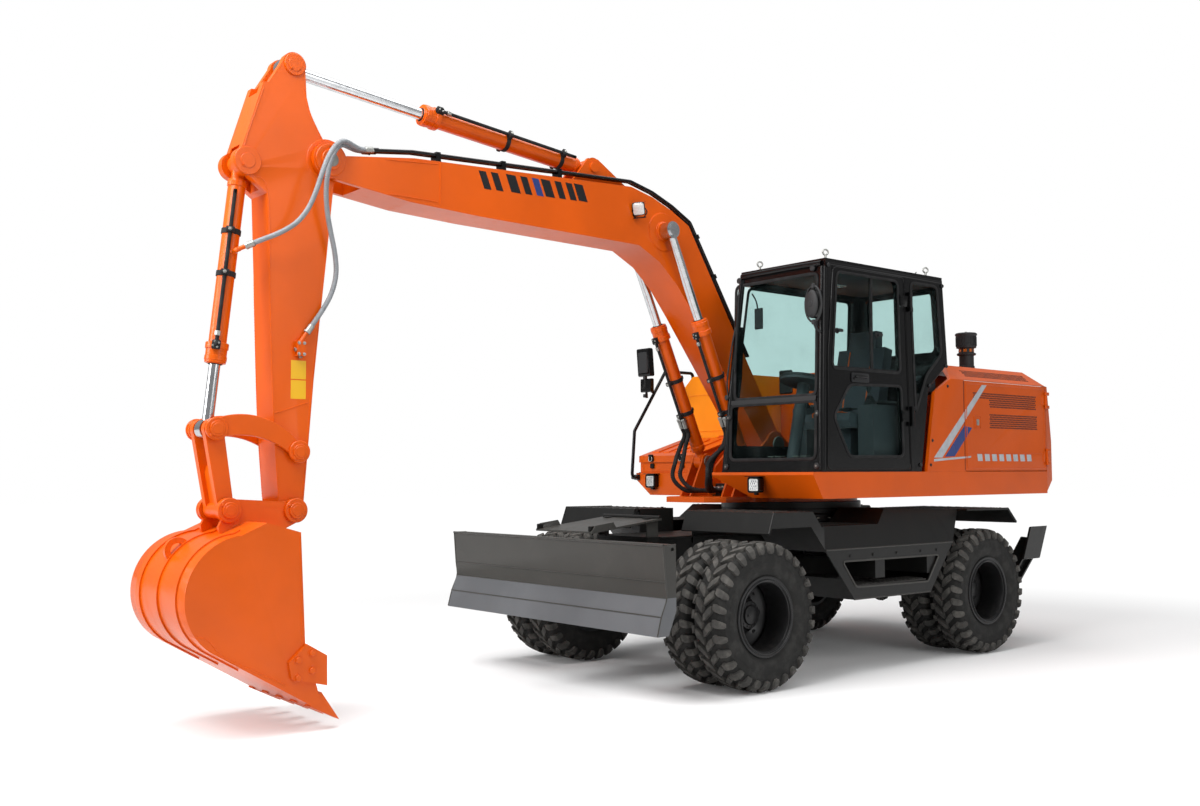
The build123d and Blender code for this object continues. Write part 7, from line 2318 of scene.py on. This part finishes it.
    def deck(self) -> None:
        """Deck lamps' rims, guards and lenses, the deck's tread, the boom foot's pins and welds."""
        for name, x, y, z in (("left", 1.1633, 0.689, 1.448), ("right", 0.7, -1.0, 1.472)):
            face = Facing.AHEAD.at(x + 0.05)
            rim = face.gasket(rect(y - 0.052, z - 0.052, y + 0.052, z + 0.052), 0.014, 0.01, 0.006)
            guard = [bar((x - 0.02, y - 0.075, z + 0.062), (x + 0.075, y + 0.075, z + 0.067), 0.002),
                     bar((x + 0.005, y - 0.014, z - 0.078), (x + 0.035, y + 0.014, z - 0.058), 0.003)]
            piece(f"deck_lamp_rim_{name}", [rim, *guard], "black", "upper")
            piece(f"deck_lamp_lens_{name}",
                  face.block((y - 0.046, z - 0.046), (y + 0.046, z + 0.046), 0.004, 0.012), "lens", "upper")
            dots = Facing.AHEAD.at(x + 0.0535).holes(
                (y - 0.03, z - 0.028), (y + 0.032, z + 0.032), 0.022, 0.0075, sides=12)
            piece(f"deck_lamp_diodes_{name}", dots, "mirror", "upper")
        up = Facing.UP.at(self.deck_z)
        piece("deck_treads", [up.block((0.12, -1.235), (0.68, -1.206), 0.006, 0.008)], "tread", "upper")
        pins = []
        for y in (-0.368, 0.068):
            side = 1 if y > 0 else -1
            pins += [disc((0.223, y - side * 0.004, 1.785), (0, side, 0), 0.07, -0.002, 0.014, 0.004, 40),
                     bar_along(np.array([0.29, y + side * 0.004, 1.74]), np.array([0.8, 0, -0.6]),
                               np.array([0, 1.0, 0]), (0.12, 0.034, 0.012)),
                     bolt((0.32, y + side * 0.01, 1.718), (0, side, 0), 0.01, 0.008)]
        for centre in (-0.395, 0.095):
            for side in (-1, 1):
                y = centre + side * 0.068
                pins += [disc((0.688, y, 1.642), (0, side, 0), 0.05, 0.0, 0.012, 0.003, 36),
                         bolt((0.688, y + side * 0.012, 1.642), (0, side, 0), 0.01, 0.008)]
        piece("foot_pins", pins, "steel", "upper")
        seams = []
        for y in (-0.339, 0.039):
            seams.append(weld(smooth_path([(-0.3, y, 1.548), (0.05, y, 1.549), (0.45, y, 1.548)], 6),
                              0.006))
        piece("foot_welds", seams, "house_orange", "upper")

    def foot_hoses(self) -> None:
        """Hoses that loop from a manifold in the well up to the boom cylinders' pipes, with crimped ends."""
        block = [bar((0.575, -0.29, 1.342), (0.64, -0.01, 1.452), 0.005),
                 bar((0.56, -0.31, 1.342), (0.655, 0.01, 1.356), 0.003)]
        piece("hose_manifold", block, "charcoal", "upper")
        crimps, tops = [], []
        axis = np.array([0.4104, 0.0, 0.9119])
        for number, (side_y, shift, end_y, sag) in enumerate(
            ((0.095, -0.024, -0.055, 0.0), (0.095, 0.024, -0.105, 0.05), (-0.395, 0.024, -0.195, 0.02),
             (-0.395, -0.024, -0.245, 0.06))):
            y = side_y + shift
            top = np.array([0.934, y, 1.992])
            low = y + (end_y - y) * 0.35
            points = [top, top - axis * 0.07, top - axis * 0.14, (0.905 + sag * 0.3, y, 1.775),
                      (0.985 + sag, low, 1.64), (1.015 + sag, low, 1.52 - sag * 0.3),
                      (0.965 + sag * 0.5, (low + end_y) / 2, 1.425 - sag * 0.4), (0.86, end_y, 1.392),
                      (0.76, end_y, 1.398), (0.69, end_y, 1.404), (0.64, end_y, 1.404)]
            path = smooth_path(np.array(points), 8)
            piece_blended(f"foot_hose_{number}", ribbed_tube(path, 0.0165, 0.003, 0.014), "hose", "upper")
            tops += [disc(top, axis, 0.021, -0.075, -0.012, 0.003, 20),
                     disc(top, axis, 0.025, -0.014, 0.012, 0.002, 6)]
            crimps += [disc((0.64, end_y, 1.404), X_AXIS, 0.021, 0.012, 0.07, 0.003, 20),
                       disc((0.64, end_y, 1.404), X_AXIS, 0.026, -0.004, 0.014, 0.002, 6)]
        piece("foot_hose_tops", tops, "zinc", "boom_barrels")
        piece("foot_hose_ends", crimps, "zinc", "upper")


# ---------------------------------------------------------------- chassis
@dataclass
class Chassis:
    """Frame, fenders, steps, axles, blade and outriggers: treads, beads, bolts, pipes and wear parts."""

    fender_z: float = 1.252
    shelf_z: float = 1.135
    side_y: float = 1.2
    blade_half: float = 1.247

    def build(self) -> None:
        """Make and dress every part of the chassis."""
        self.treads()
        self.fenders()
        self.ring()
        self.frame()
        self.axles()
        self.blade()
        self.outriggers()

    def treads(self) -> None:
        """Rows of raised round studs on the fenders, the shelves and the steps' rungs."""
        studs, plates = [], []
        for low_y, high_y in ((0.34, 1.17), (-1.17, -0.34)):
            top = Facing.UP.at(self.fender_z)
            studs.append(top.holes((1.155, low_y), (1.535, high_y), **STUDS, lift=0.0035))
            studs.append(Facing.UP.at(1.2225).holes((-1.485, low_y), (-0.9, high_y), **STUDS, lift=0.006))
        for low_y, high_y in ((0.68, 1.06), (-1.06, -0.68)):
            studs.append(Facing.UP.at(self.shelf_z).holes((0.3, low_y), (1.01, high_y), **STUDS,
                                                          lift=0.0035))
            slope = (self.fender_z - 1.226) / (0.129 + 0.878)
            wall = Wall((0, 0, 1.226 + 0.878 * slope), (1, 0, slope), Y_AXIS, (-slope, 0, 1))
            studs.append(wall.holes((-0.85, low_y), (0.1, high_y), **STUDS, lift=0.0035))
        piece("fender_studs", studs, "blade", "chassis", smooth=50)
        for side in (-1, 1):
            low_y, high_y = sorted((side * 0.98, side * 1.19))
            plates.append(bar((-0.285, low_y, 0.6655), (0.62, high_y, 0.6785), 0.003))
            for x in np.arange(-0.26, 0.6, 0.055):
                plates.append(bar((x, low_y + 0.012, 0.6775), (x + 0.022, high_y - 0.012, 0.6855), 0.003))
        piece("step_treads", plates, "tread", "chassis")

    def fenders(self) -> None:
        """Folded beads along the fenders' edges, the frame of the step's window in a paler grey as a painted
        highlight for the light that frame catches, and side bolts.
        """
        beads, frames, bolts = [], [], []
        for side in (-1, 1):
            y = side * self.side_y
            lean = side * 1.091
            beads.append(tube([(1.132, lean, 1.2515), (1.25, lean, 1.2515),
                               (1.56, y - side * 0.002, 1.2505), (1.612, y - side * 0.002, 1.105)], 0.0065,
                              8))
            beads.append(tube([(-0.878, y - side * 0.03, 1.222), (-1.511, y - side * 0.002, 1.221),
                               (-1.64, y - side * 0.002, 1.1)], 0.0065, 8))
            beads.append(tube([(1.606, side * 0.302, 1.104), (1.606, y, 1.104)], 0.008, 8))
            beads.append(tube([(-1.636, side * 0.302, 1.097), (-1.636, y, 1.097)], 0.008, 8))
            wall = flank(side, y)
            # the step's window frame, the bead along the fold and the strut take the paler blade grey: a
            # painted highlight for the light the lower frame catches
            frames.append(wall.gasket([(0.78, 0.861), (0.631, 0.674), (-0.29, 0.662), (-0.44, 0.855)], 0.02,
                                      0.014, 0.006, -0.014))
            frames.append(tube(wall.place([(0.985, 0.96), (-0.655, 0.96)], 0.0), 0.006, 8))
            strut = wall.place([(0.655, 0.575), (-0.325, 0.572)], -0.004)
            frames.append(tube(strut, 0.007, 8))
            bolts.append(wall.bolts([(-0.42, 0.905), (-0.2, 0.905), (0.12, 0.905), (0.42, 0.905),
                                     (0.7, 0.905)], 0.011, 0.008))
            for x in (1.2, 1.48):
                bolts.append(bolt((x, side * 0.36, 1.2525), Z_AXIS, 0.013, 0.009))
        piece("fender_beads", beads, "charcoal", "chassis")
        piece("step_frames_painted_highlight", frames, "blade", "chassis")
        piece("fender_bolts", bolts, "charcoal", "chassis")

    def ring(self) -> None:
        """Flange, outer race, bolts and grease pipes of the slewing ring."""
        flange = [disc((0, 0, 1.15), Z_AXIS, 0.622, -0.012, 0.014, 0.003, 96)]
        seams = [tube(ring_path((0, 0, 1.2), Z_AXIS, 0.6005, 0.0, 97), 0.007, 8)]
        piece("slew_ring_flange", flange + seams, "charcoal", "chassis")
        piece("slew_ring_outer", disc((0, 0, 1.27), Z_AXIS, 0.6035, -0.029, 0.029, 0.003, 96), "charcoal",
              "upper")
        heads = bolt((0.611, 0, 1.163), Z_AXIS, 0.011, 0.01).ring(Z_AXIS, ORIGIN, 36, 0.05)
        piece("slew_ring_bolts", heads, "steel", "chassis")
        greased = [pipe([(0.612, 0.05 * k, 1.185), (0.66, 0.05 * k, 1.19), (0.7, 0.05 * k, 1.12),
                         (0.72, 0.04 * k, 1.062)], 0.006, 8) for k in (-1, 1)]
        piece("slew_ring_grease_pipes", greased, "hose", "chassis")

    def frame(self) -> None:
        """Flanges, hatch covers, hydraulic pipes and their clips along the box frame."""
        forms = []
        for side in (-1, 1):
            y = side * 0.3
            low_y, high_y = sorted((y - side * 0.002, y + side * 0.028))
            forms.append(bar((-1.78, low_y, 1.046), (-0.64, high_y, 1.06), 0.003))
            forms.append(bar((0.64, low_y, 1.046), (1.84, high_y, 1.06), 0.003))
            forms.append(bar((-1.78, low_y, 0.76), (1.84, high_y, 0.774), 0.003))
            wall = flank(side, y)
            forms.append(wall.gasket(rect(-0.22, 0.82, 0.12, 0.98), 0.05, 0.02, 0.008, 0.0))
            forms.append(wall.bolts([(-0.24, 0.8), (0.14, 0.8), (-0.24, 1.0), (0.14, 1.0)], 0.01, 0.008))
        piece("frame_flanges", forms, "charcoal", "chassis")
        pipes = [pipe([(x0, y, z), (x0 + 0.1, y, z - 0.012), ((x0 + x1) / 2, y + 0.01, z - 0.03),
                       (x1 - 0.1, y, z - 0.012), (x1, y, z)], 0.009, 10, 8)
                 for x0, x1, y, z in (
                     (0.1, 1.4, 0.345, 0.9), (0.1, 1.4, 0.372, 0.88), (-0.2, -1.7, 0.345, 0.9),
                     (0.1, 1.4, -0.345, 0.9), (-0.2, -1.7, -0.345, 0.9), (-0.2, -1.7, -0.372, 0.88))]
        piece("frame_pipes", pipes, "hose", "chassis")
        clips = [bar((x, y - 0.04, 0.855), (x + 0.03, y + 0.04, 0.915), 0.004)
                 for x in (-1.6, -0.9, -0.35, 0.25, 0.8, 1.3) for y in (-0.345, 0.345)]
        piece("frame_pipe_clips", clips, "black", "chassis")

    def axles(self) -> None:
        """Housing flanges with bolts, breather, brake pipes, drive flanges and ram boots."""
        cast, steel, rubber = [], [], []
        for x in AXLES.values():
            for side in (-1, 1):
                at = (x, side * 0.12, AXLE_Z)
                cast.append(disc(at, (0, side, 0), 0.168, -0.01, 0.012, 0.003, 48))
                steel.append(bolts_on((x, side * 0.132, AXLE_Z), (0, side, 0), 0.157, 16, 0.01, 0.008))
                cast.append(disc((x, side * 0.495, AXLE_Z), (0, side, 0), 0.098, -0.012, 0.012, 0.003, 40))
                steel.append(disc((x, side * 0.06, AXLE_Z + 0.15), Z_AXIS, 0.01, 0.0, 0.022, 0.002, 8))
                rubber.append(pipe([
                    (x - 0.02, side * 0.16, AXLE_Z + 0.135), (x - 0.05, side * 0.3, AXLE_Z + 0.125),
                    (x - 0.03, side * 0.48, AXLE_Z + 0.11), (x - 0.06, side * 0.6, AXLE_Z + 0.16)], 0.006,
                                   8))
            cast.append(disc((x + (0.14 if x < 0 else -0.14), 0, AXLE_Z), X_AXIS, 0.09, -0.01, 0.02, 0.003,
                             40))
        for x in (-0.786, 1.378):
            for step in (0.0, 0.09):
                cast.append(disc((x + step, 0, AXLE_Z), X_AXIS, 0.076, -0.008, 0.008, 0.003, 40))
            steel.append(bolts_on((x + 0.008, 0, AXLE_Z), X_AXIS, 0.06, 8, 0.007, 0.006))
            cast.append(disc((x + 0.045, 0, AXLE_Z), Y_AXIS, 0.022, -0.078, 0.078, 0.003, 24))
            cast.append(disc((x + 0.045, 0, AXLE_Z), Z_AXIS, 0.022, -0.078, 0.078, 0.003, 24))
        ram_x, ram_z = AXLES["front"] - 0.255, AXLE_Z - 0.13
        for side in (-1, 1):
            cast.append(disc((ram_x, side * 0.225, ram_z), (0, side, 0), 0.05, -0.02, 0.012, 0.003, 32,
                             0.0225))
            steel.append(disc((ram_x, side * 0.15, ram_z), (0, side, 0), 0.048, -0.006, 0.006, 0.002, 32,
                              0.04))
            rubber.append(pipe(
                [(ram_x - 0.044, side * 0.2, ram_z), (ram_x - 0.09, side * 0.2, ram_z + 0.03),
                 (ram_x - 0.1, side * 0.14, ram_z + 0.16), (ram_x - 0.02, side * 0.1, ram_z + 0.3)], 0.01,
                10, 8))
        piece("axle_flanges", cast, "cast", "chassis")
        piece("axle_bolts", steel, "steel", "chassis")
        piece("axle_pipes", rubber, "hose", "chassis")
        for name, side in SIDES.items():
            caps = [disc((AXLES["front"], side * 0.56, AXLE_Z + 0.136), Z_AXIS, 0.062, 0.0, 0.012, 0.003,
                         36),
                    bolts_on((AXLES["front"], side * 0.56, AXLE_Z + 0.148), Z_AXIS, 0.047, 4, 0.008, 0.007),
                    disc((AXLES["front"], side * 0.56, AXLE_Z - 0.137), (0, 0, -1), 0.062, 0.0, 0.012,
                         0.003, 36)]
            piece(f"kingpin_caps_{name}", caps, "cast", f"knuckle_{name}")

    def pin_caps(self, side: int, place: Point, planes: tuple[float, float], height: float) -> list[Form]:
        """Caps on both ends of a blade link's lower and upper pin.

        Args:
            side: 1 for the left link, -1 for the right.
            place: the pins' x, the lower one's z and the upper one's z.
            planes: y of the inner and outer ends, on the left.
            height: how far a cap stands out.

        Returns:
            Four discs.
        """
        x, low_z, high_z = place
        return [disc((x, side * y, z), (0, side * way, 0), radius, -0.008, height, 0.003, 32)
                for z, radius in ((low_z, 0.04), (high_z, 0.036)) for y, way in zip(planes, (-1, 1))]

    def blade(self) -> None:
        """Bend beads, ribs behind, pin caps, cylinder rings and pipes, and the cover's hinges."""
        half = self.blade_half
        beads = [tube([(x, -half, z), (x, half, z)], r, 8) for x, z, r in (
            (2.7055, 0.607, 0.0045), (2.656, 0.725, 0.004), (2.6655, 0.832, 0.004), (2.684, 1.07, 0.008))]
        for side in (-1, 1):
            y = side * half
            path = smooth_path([(2.684, y, 1.07), (2.665, y, 0.832), (2.655, y, 0.725), (2.705, y, 0.606),
                                (2.739, y, 0.485)], 4)
            beads.append(tube(path - (0.001, side * 0.003, 0), 0.005, 8))
        piece("blade_beads", beads, "blade", "blade")
        ribs = []
        for y in (-1.05, -0.72, -0.42, 0.42, 0.72, 1.05):
            ribs.append(side_plate([(2.571, 0.66), (2.571, 0.955), (2.64, 1.05), (2.6, 1.052), (2.54, 0.94),
                                    (2.54, 0.68)], y - 0.008, y + 0.008))
        ribs.append(bar((2.558, -1.232, 0.79), (2.572, 1.232, 0.812), 0.003))
        piece("blade_ribs", ribs, "charcoal", "blade", 0.002)
        caps, knobs = [], []
        for side in (-1, 1):
            caps += self.pin_caps(side, (2.436, 0.768, 0.988), (0.128, 0.272), 0.008)
        piece("blade_pin_caps", caps, "steel", "blade")
        for side in (-1, 1):
            knobs += self.pin_caps(side, (2.04, 0.48, 0.7), (0.125, 0.275), 0.01)
            knobs.append(disc((2.01, side * 0.142, 0.96), (0, side, 0), 0.03, -0.006, 0.008, 0.003, 28))
        piece("frame_pin_caps", knobs, "steel", "chassis")
        foot, pin = np.array([2.01, 0.0, 0.96]), np.array([2.2776, 0.0, 0.6528])
        axis = (pin - foot) / np.linalg.norm(pin - foot)
        rings, lines = [], []
        for y in (-0.09, 0.09):
            at = foot + (0, y, 0)
            rings += [disc(at + axis * 0.37, axis, 0.05, -0.06, 0.004, 0.003, 36, 0.0225),
                      disc(at + axis * 0.075, axis, 0.048, -0.014, 0.014, 0.003, 36)]
            out = np.cross(axis, Y_AXIS)
            out = out if out[2] > 0 else -out
            lines.append(pipe([at + axis * 0.33 + out * 0.04, at + axis * 0.33 + out * 0.075,
                               at + axis * 0.26 + out * 0.072, at + axis * 0.1 + out * 0.07,
                               at + axis * 0.04 + out * 0.06], 0.008, 10))
        piece("blade_cylinder_rings", rings, "charcoal", "blade_barrels")
        piece("blade_cylinder_pipes", lines, "hose", "blade_barrels")
        hinge = [tube([(1.862, -0.33, 1.206), (1.862, 0.33, 1.206)], 0.014, 14)]
        hinge += [bar((1.858, y, 1.195), (1.93, y + 0.06, 1.203), 0.002) for y in (-0.26, 0.2)]
        hinge += [bar((2.49, y, 1.122), (2.545, y + 0.016, 1.162), 0.004) for y in (-0.315, 0.3)]
        piece("blade_cover_hinges", hinge, "charcoal", "chassis")

    def outriggers(self) -> None:
        """Pin caps, the beam's panel and reflectors, pad ribs and the legs' cylinders."""
        caps = []
        for side in (-1, 1):
            for x in (-2.252, -1.978):
                way = -1 if x < -2.1 else 1
                caps += [disc((x, side * 0.78, 0.45), (way, 0, 0), 0.044, -0.004, 0.008, 0.003, 32),
                         bolt((x + way * 0.008, side * 0.78, 0.45), (way, 0, 0), 0.009, 0.007)]
        rear = Facing.BEHIND.at(-2.24)
        plate = [rear.gasket(rect(-0.45, 0.44, 0.45, 0.6), 0.04, 0.014, 0.006, 0.0),
                 rear.bolts([(-0.52, 0.43), (0.52, 0.43), (-0.52, 0.61), (0.52, 0.61)], 0.012, 0.009)]
        piece("outrigger_caps", caps + plate, "charcoal", "chassis")
        reflectors = [rear.block((y - 0.05, 0.48), (y + 0.05, 0.56), 0.006, 0.01) for y in (-0.56, 0.56)]
        piece("outrigger_reflectors", reflectors, "red_lens", "chassis")
        along = np.array([0.0, math.cos(math.radians(60)), math.sin(math.radians(60))])
        for name, side in SIDES.items():
            mirror = np.array([1, side, 1])
            tip = np.array([0.0, 0.78, 0.45]) + along * 0.52
            middle = tip + (0, 0.05, -0.01)
            lean = np.array([0.0, math.cos(math.radians(-15)), -math.sin(math.radians(-15))])
            up = np.array([0.0, math.sin(math.radians(15)), math.cos(math.radians(15))])
            ribs = []
            for x in (-2.205, -2.115, -2.025):
                at = middle * mirror + (x, 0, 0)
                ribs.append(bar_along(at - lean * mirror * 0.014, up * mirror, lean * mirror,
                                      (0.26, 0.012, 0.026)))
            piece(f"outrigger_pad_ribs_{name}", ribs, "pale", f"outrigger_{name}")
            barrel_low = np.array([-2.115, 0.8, 0.57]) * mirror
            barrel_high = (np.array([-2.115, 0, 0]) + tip - along * 0.1) * mirror
            piece(f"outrigger_cylinder_{name}", [tube([barrel_low, barrel_high], 0.03, 20)], "charcoal",
                  f"outrigger_{name}")


# ---------------------------------------------------------------- studio
@dataclass
class Studio:
    """Pale floor, soft lamps, white surroundings and the camera."""

    eye: Point = (7.984327, 6.94687, 1.538835)
    yaw: float = 230.09078
    pitch: float = 3.413
    roll: float = -0.2386
    sensor: float = 36.0
    lens: float = 35.589

    def camera(self) -> None:
        """Place the camera: its axes are right, up and back, worked out from yaw, pitch and roll."""
        yaw, pitch, roll = (math.radians(a) for a in (self.yaw, self.pitch, self.roll))
        ahead = np.array([math.cos(pitch) * math.cos(yaw), math.cos(pitch) * math.sin(yaw),
                          math.sin(pitch)])
        right = np.cross(ahead, Z_AXIS)
        right /= np.linalg.norm(right)
        up = np.cross(right, ahead)
        right, up = right * math.cos(roll) + up * math.sin(roll), up * math.cos(roll) - right * math.sin(
            roll)
        data = bpy.data.cameras.new("Camera")
        data.sensor_width, data.lens, data.clip_end = self.sensor, self.lens, 200.0
        bpy.context.scene.camera = in_scene("Camera", data, [right, up, -ahead], self.eye)

    def lamp(self, name: str, place: Point, target: Point, size: float, power: float) -> None:
        """Add a soft square lamp.

        Args:
            name: its name.
            place: where it hangs.
            target: what it shines at.
            size: its width.
            power: watts.
        """
        data = bpy.data.lights.new(name, "AREA")
        data.size, data.energy = size, power
        back, side, up = frame_of(np.array(place, float) - np.array(target, float))
        in_scene(name, data, [side, up, back], place)

    def surroundings(self) -> None:
        """White for the camera and in reflections and glass; a softer sky, darker low down, for light."""
        world = bpy.data.worlds.new("Studio")
        bpy.context.scene.world = world
        world.use_nodes = True
        tree = world.node_tree
        tree.nodes.clear()
        kinds = ("OutputWorld", "Background", "Background", "MixShader", "LightPath", "TexCoord",
                 "SeparateXYZ", "ValToRGB", "Math")
        output, sky, white, mix, path, place, split, ramp, seen = (
            tree.nodes.new(f"ShaderNode{kind}") for kind in kinds)
        link = tree.links.new
        link(place.outputs["Generated"], split.inputs[0])
        link(split.outputs["Z"], ramp.inputs[0])
        stops = ((0.0, (0.42, 0.42, 0.42, 1)), (0.35, (0.62, 0.62, 0.63, 1)), (1.0, (1.0, 1.0, 1.0, 1)))
        while len(ramp.color_ramp.elements) < len(stops):
            ramp.color_ramp.elements.new(0.5)
        for element, (position, colour) in zip(ramp.color_ramp.elements, stops):
            element.position, element.color = position, colour
        link(ramp.outputs[0], sky.inputs["Color"])
        sky.inputs["Strength"].default_value = 0.56
        white.inputs["Strength"].default_value = 1.0
        white.inputs["Color"].default_value = PURE_WHITE
        seen.operation = "MAXIMUM"
        link(path.outputs["Is Camera Ray"], seen.inputs[0])
        link(path.outputs["Is Transmission Ray"], seen.inputs[1])
        link(seen.outputs[0], mix.inputs[0])
        link(sky.outputs[0], mix.inputs[1])
        link(white.outputs[0], mix.inputs[2])
        link(mix.outputs[0], output.inputs[0])

    def floor(self) -> None:
        """A wide pale floor that looks white where nothing shades it."""
        graph = Graph("studio_floor")
        graph.tree.nodes.remove(graph.surface)
        matt = graph.node("BsdfDiffuse", {}, {"Color": (0.93, 0.93, 0.93, 1.0)})
        glow = graph.node("Emission", {}, {"Color": PURE_WHITE, "Strength": 0.03})
        both = graph.node("AddShader", {}, {0: matt.outputs[0], 1: glow.outputs[0]})
        spot = graph.node("VectorMath", {"operation": "LENGTH"}, {0: graph.place})
        white = graph.node("Emission", {}, {"Color": PURE_WHITE, "Strength": 1.02})
        far = Term(graph, spot.outputs["Value"]).rise(3.6, 7.5)
        both = graph.node("MixShader", {}, {0: far, 1: both.outputs[0], 2: white.outputs[0]})
        path = graph.node("LightPath")
        plain = graph.node("BsdfDiffuse", {}, {"Color": (0.7, 0.7, 0.7, 1.0)})
        seen = graph.math("MAXIMUM", Term(graph, path.outputs["Is Camera Ray"]),
                          Term(graph, path.outputs["Is Glossy Ray"]))
        mix = graph.node("MixShader", {}, {0: seen, 1: plain.outputs[0], 2: both.outputs[0]})
        graph.tree.links.new(mix.outputs[0], graph.output.inputs["Surface"])
        mesh = bpy.data.meshes.new("Floor")
        size = 60.0
        mesh.from_pydata([(-size, -size, 0), (size, -size, 0), (size, size, 0), (-size, size, 0)], [],
                         [(0, 1, 2, 3)])
        mesh.materials.append(graph.material)
        in_scene("Floor", mesh)

    def build(self) -> None:
        """Set the studio up."""
        self.camera()
        self.surroundings()
        self.floor()
        self.lamp("Key", (7.5, 1.0, 7.5), (1.5, 0, 1.8), 5.0, 620)
        self.lamp("Fill", (2.0, 10.0, 6.0), (0.5, 0, 1.5), 6.0, 260)
        self.lamp("Front", (12.0, -3.0, 4.5), (4.0, 0, 1.8), 4.0, 420)
        self.lamp("Top", (0.0, 0.0, 10.0), ORIGIN, 7.0, 420)
        bpy.context.scene.view_settings.view_transform = "Standard"


def main() -> None:
    """Build the studio and every sub-assembly, in order."""
    logging.basicConfig(level=logging.INFO, format="%(name)s: %(message)s")
    Studio().build()
    Hoses().build()
    TwinWheels().build()
    Chassis().build()
    House().build()
    Cab().build()
    for cylinder in CYLINDERS:
        cylinder.build()
    for assembly in (Boom(), Arm(), Bucket(), Links()):
        assembly.build()
    for node, (coat, width) in EASED.items():
        eased(node, coat, width)
    for node, coat in COATED.items():
        coated(node, coat)


EASED = {
    "chassis_frame": ("charcoal", 0.004), "step_bodies": ("charcoal", 0.003),
    "slew_ring": ("charcoal", 0.003), "blade_cover": ("blade", 0.004), "front_axle": ("cast", 0.006),
    "rear_axle": ("cast", 0.006), "driveline": ("cast", 0.003), "outrigger_beam": ("charcoal", 0.004),
    "outrigger_leg_left": ("charcoal", 0.003), "outrigger_leg_right": ("charcoal", 0.003),
    "knuckle_left": ("cast", 0.004), "knuckle_right": ("cast", 0.004), "blade": ("blade_banded", 0.003),
    "blade_arms": ("charcoal", 0.004), "blade_links": ("charcoal", 0.004),
    "blade_barrels": ("charcoal", 0.003), "deck": ("house_orange", 0.01),
    "counterweight": ("house_orange", 0.022), "house_frame": ("house_orange", 0.006),
    "engine_door_left": ("house_orange", 0.006), "engine_door_right": ("house_orange", 0.006),
    "engine_hood": ("house_orange", 0.012), "tank": ("bright_orange", 0.014),
    "toolbox": ("house_orange", 0.008), "toolbox_lid": ("house_orange", 0.006),
    "cab_shell": ("black", 0.016), "cab_door": ("black", 0.006), "cab_controls": ("interior", 0.012),
    "cab_seat": ("cloth", 0.02), "pre_cleaner": ("plastic", 0.006), "deck_lamps": ("black", 0.003),
    "boom_pipes": ("black", 0.002), "mirrors": ("black", 0.004), "boom": ("orange", 0.004),
    "arm": ("orange", 0.004), "bucket": ("orange", 0.004), "guide_links": ("orange", 0.006),
    "bucket_link": ("orange", 0.006), "boom_cylinder_barrel": ("orange", 0.003),
    "arm_cylinder_barrel": ("orange", 0.003), "bucket_cylinder_barrel": ("orange", 0.003),
    "engine_block": ("cast", 0.01),
}
COATED = {"steering_rod": "chrome", "blade_rods": "chrome", "cab_door_glass": "glass", "cab_glass": "glass",
          "cab_right_glass": "glass", "boom_cylinder_rod": "chrome", "arm_cylinder_rod": "chrome",
          "bucket_cylinder_rod": "chrome"}


if __name__ == "__main__":
    main()
